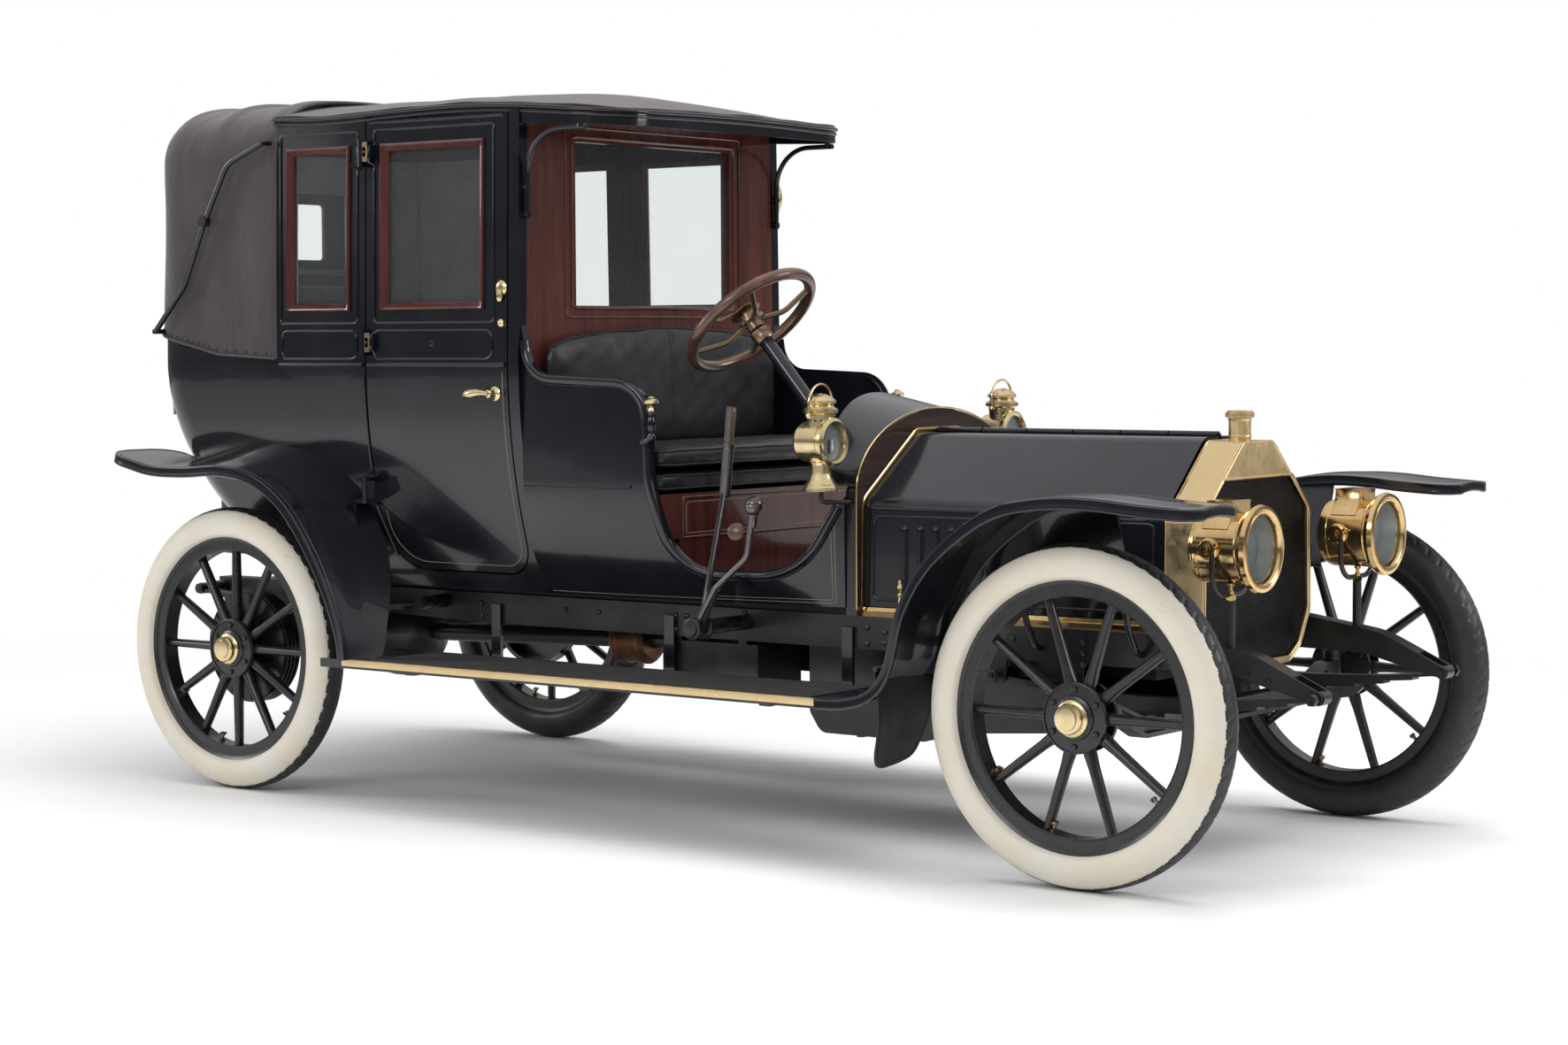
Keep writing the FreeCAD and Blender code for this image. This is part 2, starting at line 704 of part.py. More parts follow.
def radiator_shell():
    # Brass surround with an open face, and the round filler neck on top.
    back = S["radiator_face"] - S["radiator_depth"]
    shell = slab(rounded(mirror_outline(octagon)), front_view(back), V(S["radiator_depth"], 0, 0))
    band = S["radiator_band"]
    opening = [(196, 1019, 14), (304 - band * 0.35, 928, 14), (308 - band * 0.35, 644, 14),
               (252 - 10, 556, 12), (184, 520, 10)]
    through = V(S["radiator_depth"] + 2, 0, 0)
    shell = shell.cut(slab(rounded(mirror_outline(opening)), front_view(back - 1), through))
    middle = S["radiator_face"] - S["radiator_depth"] / 2
    neck = rod(V(middle, 0, S["radiator_top"] - 6), V(middle, 0, S["radiator_top"] + 62), 30)
    cap = rod(V(middle, 0, S["radiator_top"] + 62), V(middle, 0, S["radiator_top"] + 76), 38)
    return shell.fuse([neck, cap]).removeSplitter()


def radiator_core():
    back = S["radiator_face"] - S["radiator_depth"] + 12
    band = S["radiator_band"]
    inner = [(195.7, 1018.7, 14), (303.7 - band * 0.35, 927.8, 14), (307.7 - band * 0.35, 644, 14),
             (242 - seat_gap, 556 + seat_gap, 12), (184, 520 + seat_gap, 10)]
    return slab(rounded(mirror_outline(inner)), front_view(back), V(S["radiator_depth"] - 24, 0, 0))


solid("radiator_shell", radiator_shell())
solid("radiator_core", radiator_core())

# ---- bonnet and scuttle ----

rake = math.radians(S["column_rake"])
down = V(math.cos(rake), 0, -math.sin(rake))
hub_point = V(-S["wheel_hub_x"], -S["column_y"], S["wheel_hub_z"])

bonnet_front = S["radiator_face"] - S["radiator_depth"] - S["bonnet_gap"]
bonnet_rear = -S["dash_x"] + S["bonnet_gap"]
hinge_z = S["bonnet_top"] + 4
bonnet_sections = [
    # x, half width of the flat top, shoulder y, shoulder z, side y
    (bonnet_front, 83, 300, 925, 306),
    (bonnet_rear, 105, 364, 942, 370),
]


def bonnet_half(out):
    # One half of the bonnet: flat top, sloped shoulder and upright side as one folded sheet, with
    # every other barrel of the hinge along its top edge.
    gap = S["hinge_barrel"] + 1
    rings = []
    for x, top_half, shoulder_y, shoulder_z, side_y in bonnet_sections:
        wall = S["bonnet_wall"]
        outer = [
            (gap, S["bonnet_top"], 0),
            (top_half, S["bonnet_top"], 60),
            (shoulder_y, shoulder_z, 45),
            (side_y, S["bonnet_base"], 0),
            (side_y - wall, S["bonnet_base"], 0),
            (shoulder_y - wall, shoulder_z - 3, 45 - wall),
            (top_half - 3, S["bonnet_top"] - wall, 60 - wall),
            (gap, S["bonnet_top"] - wall, 0),
        ]
        rings.append(wire(rounded(outer), front_view(x)))
    shape = Part.makeLoft(rings, True, True)
    length = bonnet_front - bonnet_rear
    count = 6
    for i in range(count):
        if i % 2 == (0 if out > 0 else 1):
            low = bonnet_rear + length * i / count + 3
            high = bonnet_rear + length * (i + 1) / count - 3
            shape = shape.fuse([rod(V(low, 0, hinge_z), V(high, 0, hinge_z), S["hinge_barrel"]),
                                block(low, high, 3, gap + 3, S["bonnet_top"] - S["bonnet_wall"], S["bonnet_top"])])
    shape = shape.cut(rod(V(bonnet_rear - 9, 0, hinge_z), V(bonnet_front + 9, 0, hinge_z),
                          S["hinge_pin"] + S["running_gap"]))
    shape = shape.removeSplitter()
    return shape if out > 0 else mirrored(shape)


for side, out in sides:
    solid("bonnet_" + side, bonnet_half(out))


def arch(side_y, low_z, spring_z, top_z):
    # Upright sides under one round arch.
    return [(-side_y, low_z), (-side_y, spring_z), (0, top_z, side_y, spring_z), (side_y, low_z)]


def scuttle():
    # The dash: an upright arched board on the rails, with the domed cowl behind it and the bonnet's
    # hinge rod in front. The column passes through the board.
    front = -S["dash_x"]
    board = slab(arch(404, S["rail_top"] + seat_gap, 970, 1196), front_view(front - S["dash_thick"]),
                 V(S["dash_thick"], 0, 0))
    dome_rings = []
    room_rings = []
    for x, half, spring_z, top in ((front - 8, 400, 990, 1196), (front - 330, 436, 1004, 1262)):
        dome_rings.append(wire(arch(half, 984, spring_z, top), front_view(x)))
        room_rings.append(wire(arch(half - 9, 970, spring_z - 5, top - 9), front_view(x)))
    dome = Part.makeLoft(dome_rings, True, True).cut(Part.makeLoft(room_rings, True, True))
    behind = slab([(front - 70, 960), (front - 240, 1290), (front - 400, 1290), (front - 400, 960)],
                  side_view(-600), V(0, 1200, 0))
    dome = dome.cut(behind)
    pin = rod(V(front - 10, 0, hinge_z), V(bonnet_front + 3, 0, hinge_z), S["hinge_pin"])
    way = rod(hub_point + down * 300, hub_point + down * 720, S["column_radius"] + 3)
    return board.fuse([dome, pin]).cut(way).removeSplitter()


solid("scuttle", scuttle())

# ---- coachwork ----

plan_sections = [
    # z, half width, rear face, rear corner radius: the walls turn in towards the sill
    (S["sill_z"], S["sill_half"], S["cabin_rear"] - 500, 130),
    (820, 566, S["cabin_rear"] - 262, 140),
    (1030, 612, S["cabin_rear"] - 92, 150),
    (S["belt_z"], S["belt_half"], S["cabin_rear"], 160),
]
upper_half = S["belt_half"] - 14
wall_lean = (S["belt_half"] - upper_half) / (S["cabin_top"] - S["belt_z"])


def plan_ring(z, half, rear, corner, inset, front):
    # Plan section of the cabin: square in front, with rounded rear corners.
    half, rear, corner = half - inset, rear - inset, corner - inset
    return wire(rounded([
        (-front, -half, 0),
        (-front, half, 0),
        (-rear, half, corner),
        (-rear, -half, corner),
    ]), plan_view(z))


def cabin_loft(inset, front):
    lower = Part.makeLoft([plan_ring(z, half, rear, corner, inset, front)
                           for z, half, rear, corner in plan_sections], True, False)
    z, half, rear, corner = plan_sections[-1]
    upper = Part.makeLoft([plan_ring(z, half, rear, corner, inset, front),
                           plan_ring(S["cabin_top"], upper_half, rear, corner, inset, front)], True, True)
    return lower, upper


outer_low, outer_up = cabin_loft(0, S["front_post_x"])
inner_low, inner_up = cabin_loft(S["cabin_wall"], S["front_post_x"] - 50)
wall_low = outer_low.cut(inner_low)
wall_up = outer_up.cut(inner_up)

# The door's outline seen from the side, with rounded lower corners.
door_corner = 150


def door_outline(grow):
    return rounded([
        (-S["door_rear"] - grow, S["cabin_top"] - 12 + grow, 0),
        (-S["door_front"] + grow, S["cabin_top"] - 12 + grow, 0),
        (-S["door_front"] + grow, S["door_bottom"] - grow, 90 + grow),
        (-S["door_rear"] - grow, S["door_bottom"] - grow, door_corner + grow),
    ])


def side_prism(outline, out, inner=300, outer=760):
    # A side-view outline cut through one side of the body.
    low, high = (inner, outer) if out > 0 else (-outer, -inner)
    return slab(outline, side_view(low), V(0, high - low, 0))


def window_outline(front, rear, grow):
    return rounded([
        (-rear - grow, S["window_high"] + grow, 12),
        (-front + grow, S["window_high"] + grow, 12),
        (-front + grow, S["window_low"] - grow, 12),
        (-rear - grow, S["window_low"] - grow, 12),
    ])


door_glass = (S["door_front"] + 94, S["door_rear"] - 66)
quarter_glass = (S["door_rear"] + 72, S["quarter_rear"] - 55)


def under_leather(lift):
    # Everything below the leather top's lower edge, which rises towards the rear.
    rear = -S["cabin_rear"] - 60
    front = -S["quarter_rear"] - 1
    edge = [(front, S["belt_z"] + 12 + lift), (front - 260, S["belt_z"] + 26 + lift),
            (rear, S["belt_z"] + 104 + lift)]
    return slab([(front, 600), edge[0], edge[1], edge[2], (rear, 600)], side_view(-800), V(0, 1600, 0))


door_hinges = [
    # height, the wall's outer face there
    (940, 590),
    (1390, 634),
    (1960, 621),
]
hinge_y = S["belt_half"] + S["hinge_out"]


def hinge_arm(z0, z1, face, out, ahead):
    # Barrel and arm of a door hinge between two heights, its arm ahead of the pin or behind it.
    low, high = sorted((out * (face - 24), out * hinge_y))
    x0, x1 = (0, 42) if ahead else (-40, 0)
    arm = block(-S["door_rear"] + x0, -S["door_rear"] + x1, low, high, z0, z1)
    return arm.fuse(rod(V(-S["door_rear"], out * hinge_y, z0), V(-S["door_rear"], out * hinge_y, z1), 9))


def hinge_pin(z0, z1, radius, out):
    return rod(V(-S["door_rear"], out * hinge_y, z0), V(-S["door_rear"], out * hinge_y, z1), radius)


def body_hinge(z, face, out):
    # The fixed half: a barrel above and one below the door's, joined by the pin.
    below = hinge_arm(z - 40, z - 27, face, out, False)
    above = hinge_arm(z + 27, z + 40, face, out, False)
    return below.fuse([above, hinge_pin(z - 40, z + 40, S["hinge_pin"], out)])


def cabin_tub():
    # The lower cabin: curved quarters and rear panel, the sills under the doors and the front posts.
    shape = wall_low.fuse(wall_up.common(under_leather(0)))
    for side, out in sides:
        shape = shape.cut(side_prism(door_outline(S["door_gap"]), out))
    posts = []
    for side, out in sides:
        post = wall_up.common(block(-S["door_front"] + S["door_gap"], -S["front_post_x"],
                                    min(out * 400, out * 700), max(out * 400, out * 700),
                                    S["belt_z"] - 1, S["cabin_top"]))
        posts += [post, body_hinge(door_hinges[0][0], door_hinges[0][1], out)]
    return shape.fuse(posts).removeSplitter()


def quarter_frames():
    # The fixed side window frames behind the doors.
    made = []
    for side, out in sides:
        zone = block(-S["quarter_rear"], -S["door_rear"] - S["door_gap"], min(out * 400, out * 700),
                     max(out * 400, out * 700), S["belt_z"] + seat_gap, S["cabin_top"])
        frame = wall_up.common(zone)
        frame = frame.cut(side_prism(window_outline(quarter_glass[0], quarter_glass[1], 0), out))
        made.append(frame.fuse([body_hinge(z, face, out) for z, face in door_hinges[1:]]))
    return Part.makeCompound(made)


def door(out):
    # A full-height door: curved lower panel and window frame in one, with three hinge barrels.
    panel = wall_low.fuse(wall_up).common(side_prism(door_outline(0), out))
    panel = panel.cut(side_prism(window_outline(door_glass[0], door_glass[1], 0), out))
    for z, face in door_hinges:
        panel = panel.fuse(hinge_arm(z - 25, z + 25, face, out, True))
        panel = panel.cut(hinge_pin(z - 60, z + 60, S["hinge_pin"] + S["running_gap"], out))
    return panel.removeSplitter()


def pane(front, rear, out, wall_out):
    # A sheet of glass let 8 mm into its frame's opening line, half way through the wall.
    low = S["window_low"]
    high = S["window_high"]
    y_low = S["belt_half"] - wall_out - wall_lean * (low - S["belt_z"])
    y_high = S["belt_half"] - wall_out - wall_lean * (high - S["belt_z"])
    section = [(y_low, low), (y_high, high), (y_high - S["glass"], high), (y_low - S["glass"], low)]
    glass = slab(section, front_view(-rear), V(rear - front, 0, 0))
    glass = glass.common(side_prism(window_outline(front, rear, -seat_gap), 1))
    return glass if out > 0 else mirrored(glass)


solid("cabin_tub", cabin_tub())
solid("quarter_frames", quarter_frames())
for side, out in sides:
    solid("door_" + side, door(out))
    solid("door_glass_" + side, pane(door_glass[0], door_glass[1], out, 18))

partition_window = 374


def inside_cabin(shape, gap=seat_gap):
    # What of a shape lies inside the cabin's walls, clear of them by a gap.
    room = inner_low.fuse(inner_up)
    for move in (V(gap, 0, 0), V(0, gap, 0), V(0, -gap, 0)):
        shape = shape.common(room.translated(move))
    return shape


def partition():
    # The mahogany wall behind the driver, with one wide window.
    x = -S["front_post_x"] - S["cabin_wall"]
    board = inside_cabin(block(x, x + S["cabin_wall"] - seat_gap, -700, 700, S["floor_top"] + seat_gap,
                               S["cabin_top"]))
    hole = block(x - 1, x + 60, -partition_window, partition_window, S["window_low"], S["window_high"])
    return board.cut(hole)


solid("partition", partition())


def fixed_glass():
    x = -S["front_post_x"] - S["cabin_wall"] / 2
    reach = partition_window - seat_gap
    front = block(x - S["glass"] / 2, x + S["glass"] / 2, -reach, reach,
                  S["window_low"] + seat_gap, S["window_high"] - seat_gap)
    panes = [pane(quarter_glass[0], quarter_glass[1], out, 18) for side, out in sides]
    return Part.makeCompound([front] + panes)


solid("fixed_glass", fixed_glass())

side_stations = [
    # x behind the front axle, half width at the sill, at the widest, at the rim
    (S["front_post_x"] - seat_gap, S["sill_half"], 620, 622),
    (1560, 490, 606, 606),
    (1250, 452, 536, 536),
    (S["dash_x"] + S["dash_thick"] + seat_gap, 408, 412, 412),
]
panel_wall = 24
opening = rounded([
    (-S["front_post_x"] + 20, 1700, 0),
    (-S["front_post_x"] - 20, 1700, 0),
    (-S["front_post_x"] - 20, 1500, 0),
    (-S["front_post_x"] - 12, 1500, 0),
    (-S["front_post_x"] + 30, 1292, 95),
    (-1520, 1276, 110),
    (-1510, 1000, 160),
    (-1452, 730, 150),
    (-1090, 735, 200),
    (-S["dash_x"] - 10, 1000, 0),
    (-S["dash_x"] + 40, 1000, 0),
    (-S["dash_x"] + 40, 1700, 0),
])


def side_panel():
    # One side of the driver's space: turned in at the sill, narrowing to the dash, with the
    # deep scooped entrance.
    rings = []
    for x, sill, wide, rim in side_stations:
        outline = [
            (sill, S["sill_z"]),
            (sill + (wide - sill) * 0.62, 770, wide, 985),
            (rim, 1520),
            (rim - panel_wall, 1520),
            (wide - panel_wall, 985),
            (sill - panel_wall + (wide - sill) * 0.62, 770, sill - panel_wall, S["sill_z"]),
        ]
        rings.append(wire(outline, front_view(-x)))
    shape = Part.makeLoft(rings, True, False)
    return shape.cut(slab(opening, side_view(200), V(0, 600, 0)))


solid("seat_side_panels", pair(side_panel()))


def floor_boards():
    # One floor from the dash to the rear seat, 0.3 mm inside the walls.
    low = S["floor_top"] - 26
    front = -S["dash_x"] - S["dash_thick"] - 0.6
    ends = (523 - S["cabin_rear"], -S["door_rear"] - S["door_gap"], -S["door_front"] + S["door_gap"],
            -S["front_post_x"] - 2 * seat_gap)
    shape = inside_cabin(block(ends[0], ends[1], -700, 700, low, S["floor_top"]))
    shape = shape.fuse(inside_cabin(block(ends[1], ends[2], -700, 700, low, S["floor_top"]), S["door_gap"]))
    shape = shape.fuse(inside_cabin(block(ends[2], ends[3], -700, 700, low, S["floor_top"])))
    ahead = slab([
        (-S["front_post_x"] - 1, -455),
        (-1560, -455),
        (-1250, -415),
        (front, -380),
        (front, 380),
        (-1250, 415),
        (-1560, 455),
        (-S["front_post_x"] - 1, 455),
    ], plan_view(low), V(0, 0, S["floor_top"] - low))
    return shape.fuse(ahead).removeSplitter()


solid("floor_boards", floor_boards())


def body_sills():
    # Timber bearers that carry the floor on the chassis rails.
    bearer = block(583 - S["cabin_rear"], -S["dash_x"] - S["dash_thick"] - 1, rail_in + 4, rail_out - 16,
                   S["rail_top"], S["floor_top"] - 26)
    return pair(bearer)


solid("body_bearers", body_sills())

# ---- seats ----


def seat_base():
    # Closed mahogany box under the driver's cushions.
    half = 452
    low = S["floor_top"]
    lower = block(-S["front_post_x"] + 1, -S["seat_front"] - 18, -half, half, low, 820)
    upper = block(-S["front_post_x"] + 1, -S["seat_front"] - 18, -S["seat_half"] + 10, S["seat_half"] - 10, 820,
                  S["seat_top"] - 141.7)
    return lower.fuse(upper).removeSplitter()


solid("seat_base", seat_base())


def driver_cushions():
    # Two stacked cushions and the padded back with its rounded top.
    half = S["seat_half"]
    back = -S["front_post_x"] + 70
    made = []
    for low, high in ((S["seat_top"] - 141.4, S["seat_top"] - 72.3), (S["seat_top"] - 72, S["seat_top"])):
        made.append(slab(rounded([
            (back, -half, 20), (-S["seat_front"], -half, 40), (-S["seat_front"], half, 40), (back, half, 20),
        ]), plan_view(low), V(0, 0, high - low)))
    squab = slab(rounded([
        (-half - 8, S["seat_top"] + seat_gap, 10),
        (half + 8, S["seat_top"] + seat_gap, 10),
        (half + 8, 1402, 90),
        (0, 1450, 900),
        (-half - 8, 1402, 90),
    ]), front_view(-S["front_post_x"] + seat_gap), V(68, 0, 0))
    return Part.makeCompound(made + [squab])


solid("driver_cushions", driver_cushions())


def rear_cushions():
    # Rear bench: cushion on its box, and the back squab against the rear wall.
    half = 520
    rear = -S["cabin_rear"]
    box_shape = inside_cabin(block(rear + 463, rear + 653, -half, half, S["floor_top"] + seat_gap, 990))
    cushion = slab(rounded([(rear + 193, -half, 60), (rear + 683, -half, 50), (rear + 683, half, 50),
                            (rear + 193, half, 60)]), plan_view(990 + seat_gap), V(0, 0, 150))
    squab = slab(rounded([(rear + 23, 1141, 20), (rear + 188, 1141, 20), (rear + 163, 1620, 40),
                          (rear + 23, 1620, 40)]), side_view(-470), V(0, 940, 0))
    return Part.makeCompound([box_shape, inside_cabin(cushion), inside_cabin(squab)])


solid("rear_cushions", rear_cushions())

# ---- roof and leather rear top ----


def roof_section(x, half, low, edge, camber):
    # Cambered roof section: flat below, arched above.
    return wire([(-half, low), (-half, edge), (0, edge + camber, half, edge), (half, low)], front_view(x))


roof_edge = roof_low + S["roof_thick"]
roof_stations = [
    # x behind the front axle, half width, drop of the side edge, share of the camber
    (S["quarter_rear"], S["canopy_half"] + 16, 0, 1),
    (S["front_post_x"] + 450, S["canopy_half"] + 10, 0, 1),
    (S["front_post_x"] + 80, S["canopy_half"] + 6, 2, 0.92),
    (S["front_post_x"] - 140, S["canopy_half"] + 3, 0.45 * S["canopy_drop"], 0.62),
    (S["canopy_front"] - 10, S["canopy_half"] + 2, S["canopy_drop"], 0.16),
]


def fascia_low(x):
    # Lower edge of the canopy's fascia, which falls a little towards the front.
    return S["canopy_low"] - 14 * (x + S["canopy_front"]) / (S["front_post_x"] - S["canopy_front"])


def roof():
    # One cambered roof from the leather top to the canopy, which droops to a flat front edge with
    # rounded corners, and is hollow below inside its fascia.
    rear, post, front = -S["quarter_rear"], 1 - S["front_post_x"], -S["canopy_front"]
    half = S["canopy_half"]
    crown = Part.makeLoft([roof_section(-x, wide, 1900, roof_edge - drop, S["roof_camber"] * share)
                           for x, wide, drop, share in roof_stations], True, False)
    plan = rounded([(rear, -half - 16, 0), (front, -half, 190), (front, half, 190), (rear, half + 16, 0)])
    shape = crown.common(slab(plan, plan_view(1900), V(0, 0, roof_edge + S["roof_camber"] - 1800)))
    shape = shape.cut(slab([(rear - 1, 1800), (rear - 1, roof_low), (post, roof_low), (post, fascia_low(post)),
                            (front + 1, fascia_low(front)), (front + 1, 1800)], side_view(-1000), V(0, 2000, 0)))
    lining = Part.makeLoft([roof_section(-x, wide + 40, 1900, roof_edge - drop - 12, S["roof_camber"] * share)
                            for x, wide, drop, share in roof_stations], True, False)
    room = rounded([(post, -half + 15, 0), (front - 16, -half + 16, 174), (front - 16, half - 16, 174),
                    (post, half - 15, 0)])
    room = slab(room, plan_view(1900), V(0, 0, roof_edge + S["roof_camber"] - 1800))
    return shape.cut(lining.common(room)).removeSplitter()


solid("roof", roof())


def landau_top():
    # The leather rear top with its rounded corners and the rear window.
    wall = 16
    low = S["belt_z"] + 1
    top = roof_edge
    half = S["belt_half"] + 1
    rear = S["wheelbase"] + S["tail_reach"]
    front = S["quarter_rear"] + 1

    def shell(inset, base, lid):
        # Upright walls with rounded rear corners, under a cambered crown.
        walls = Part.makeLoft([
            plan_ring(base, half, rear, 170, inset, front - inset * 2),
            plan_ring(lid + 100, half - 30, rear, 190, inset, front - inset * 2),
        ], True, True)
        crown = Part.makeLoft([
            roof_section(x, half, 1000, lid - 6, S["roof_camber"] + 22 - inset * 0.2)
            for x in (-front + inset * 3, -rear - 60)
        ], True, True)
        return walls.common(crown)

    shape = shell(0, low, top).cut(shell(wall, low - 5, top - wall))
    shape = shape.cut(block(-rear - 100, -rear + 100, -200, 200, 1655, 1880))
    return shape.cut(under_leather(0.6))


leather = landau_top()
solid("landau_top", leather)


def roof_irons():
    # Curved canopy stays in front and the S-shaped landau irons behind.
    out = S["belt_half"] + 10
    front = -S["front_post_x"]
    y = S["canopy_half"] - 8
    head = fascia_low(front + 228) - 8 - seat_gap
    stay = bent_rod([V(front + 12, y, 1750), V(front + 14, y, head), V(front + 238, y, head)], 8, 128)
    stay = stay.fuse(rod(V(front + 222, y, head), V(front + 222, y, fascia_low(front + 222) - seat_gap), 13))
    for z in (1762, 1842):
        stay = stay.fuse(rod(V(front + seat_gap, y, z), V(front + 18, y, z), 11))
    knee = -S["quarter_rear"] - 290
    irons = [
        V(knee + 260, out + 6, 2010),
        V(knee + 105, out + 12, 1950),
        V(knee, out + 14, 1770),
        V(knee - 100, out + 12, 1570),
        V(knee - 245, out + 6, 1428),
    ]
    iron = bent_rod(irons, 9, 90)
    iron = iron.fuse(rod(V(knee, out + 2, 1775), V(knee, out + 26, 1775), 18))
    for x, z, face in ((knee + 260, 2010, 610), (knee - 245, 1428, 596)):
        iron = iron.fuse(rod(V(x, face, z), V(x, out + 14, z), 8))
    iron = iron.cut(leather)
    return Part.makeCompound([stay, mirrored(stay), iron, mirrored(iron)])


solid("roof_irons", roof_irons())

# ---- wings and running boards ----


def sheet_edge(path, y, wall):
    # The cut edge of a sheet that follows a side-view path, hanging wall below it.
    spine = wire(path, side_view(y), False)
    bands = [spine.makeOffset2D(offset, 0, True, True) for offset in (wall, -wall)]
    return min(bands, key=lambda face: face.CenterOfMass.z)


def strip(path, low, high, wall):
    # A flat-sectioned sheet along the path, from y low to y high.
    return sheet_edge(path, low, wall).extrude(V(0, high - low, 0))


def crowned(path, steps, wall):
    # A sheet whose section rises and leans from its outer edge, in steps of (y, x shift, z shift).
    bands = []
    for start, end in zip(steps, steps[1:]):
        edge = sheet_edge(path, start[0], wall).translated(V(start[1], 0, start[2]))
        bands.append(edge.extrude(V(end[1] - start[1], end[0] - start[0], end[2] - start[2])))
    return bands[0].fuse(bands[1:])


front_wing_path = rounded([
    (S["nose_reach"], 982, 0),
    (330, 984, 900),
    (60, 1016, 420),
    (-300, 960, 300),
    (-540, 660, 330),
    (-560, 476, 110),
    (-S["board_front"], S["board_top"], 0),
], False)
front_wing_top = rounded([
    (S["nose_reach"], 982, 0),
    (330, 984, 900),
    (60, 1016, 420),
    (-300, 960, 300),
    (-540, 660, 330),
    (-553, 540, 0),
], False)
rear_wing_path = rounded([
    (-S["wheelbase"] - 470, 1052, 0),
    (-S["wheelbase"] - 330, 1006, 300),
    (-S["wheelbase"] + 170, 1000, 420),
    (-S["wheelbase"] + 440, 800, 420),
    (-S["wheelbase"] + 572, 560, 500),
    (-S["wheelbase"] + 592, S["board_top"] - 130, 0),
], False)
front_crown = [(0, 30), (62, 42), (130, 42), (190, 30), (236, 11), (264, 0)]
rear_crown = [(0, 34, 70), (124, 20, 37), (200, 8, 17), (276, 0, 0)]


def front_wings():
    # Front wing with a flat rounded tip, an inner skirt, the mud flap behind the tyre, the link to
    # the running board and two stays from the rail.
    inner, outer = S["wing_in"], S["wing_out"]
    wing = crowned(front_wing_top, [(inner + across, 0, rise) for across, rise in front_crown], S["wing_wall"])
    link = strip(front_wing_path, inner, outer, S["wing_wall"] + 2).translated(V(1, 0, 1))
    wing = wing.fuse(link.common(block(-900, 0, 0, 1000, 0, 585)))
    plan = rounded([
        (S["nose_reach"], inner, 70),
        (S["nose_reach"], outer, 70),
        (-S["board_front"] - 1, outer, 0),
        (-S["board_front"] - 1, inner, 0),
    ])
    wing = wing.common(slab(plan, plan_view(100), V(0, 0, 1100)))
    lip = strip(front_wing_path, outer - 7, outer, 16)
    lip = lip.common(block(-560, S["nose_reach"] - 70, 0, 1000, 400, 1200))
    flap = slab(rounded([
        (inner + 2, 540, 0),
        (outer - 8, 540, 0),
        (outer - 8, 262, 60),
        (inner + 60, 292, 50),
        (inner + 2, 420, 0),
    ]), front_view(-558), V(6, 0, 0))
    skirt = slab([(inner - 2, 1040), (inner + 3, 1040), (inner + 3, 960), (inner - 82, 745), (inner - 87, 747),
                  (inner - 2, 962)], front_view(-545), V(570, 0, 0))
    below = slab(front_wing_path + [(S["nose_reach"], S["board_top"])], side_view(0), V(0, 1000, 0))
    skirt = skirt.common(below.translated(V(0, 0, front_crown[0][1] - 2)))
    shape = wing.fuse([lip, flap, skirt])
    for x in (-330, -20):
        shape = shape.fuse(bent_rod([V(x, rail_out + seat_gap, rail_low + 50), V(x, rail_out + 60, rail_low + 60),
                                     V(x, inner - 62, 800)], 9, 25))
    return pair(shape.cut(block(-400, 100, rail_in, rail_out + seat_gap, rail_low, S["rail_top"])))


def rear_wings():
    # Rear wing: crowned over the tyre, flat and rounded at the tail, against the tub's side.
    inner, outer = S["wing_in"] - 12, S["wing_out"]
    tail = -S["wheelbase"] - 470
    wing = crowned(rear_wing_path, [(inner + across, lean, rise) for across, lean, rise in rear_crown],
                   S["wing_wall"])
    plan = rounded([
        (tail, inner, 90),
        (tail, outer, 90),
        (tail + 1170, outer, 0),
        (tail + 1170, inner, 0),
    ])
    wing = wing.common(slab(plan, plan_view(100), V(0, 0, 1300)))
    lip = strip(rear_wing_path, outer - 7, outer, 16)
    lip = lip.common(block(tail + 90, 0, 0, 1000, 400, 1200))
    board = block(-S["board_rear"] - 20, -S["board_front"], 0, 1000, 0, S["board_top"] + seat_gap)
    wing = wing.fuse(lip).cut(board)
    for wall in cabin_loft(-seat_gap, S["front_post_x"]):
        wing = wing.cut(wall)
    return pair(wing)


solid("front_wings", front_wings())
solid("rear_wings", rear_wings())


def running_boards():
    # Long boards with a square edge and a raised mat, on brackets each side that bolt to the rails.
    low = S["board_top"] - S["board_thick"]
    board = block(-S["board_rear"], -S["board_front"], S["board_in"], S["board_out"], low, S["board_top"])
    mat = block(190 - S["board_rear"], -S["board_front"] - 35, S["board_in"] + 30, S["board_out"] - 14,
                S["board_top"], S["board_top"] + S["mat_thick"])
    brackets = []
    for x in (-2300, -1620, -980):
        brackets.append(block(x, x + 36, rail_out + seat_gap, S["board_out"] - 60, low - 14, low))
        brackets.append(block(x, x + 36, rail_out + seat_gap, rail_out + 12, low - 14, 590))
    return pair(board.fuse([mat] + brackets))


solid("running_boards", running_boards())

# ---- lamps ----


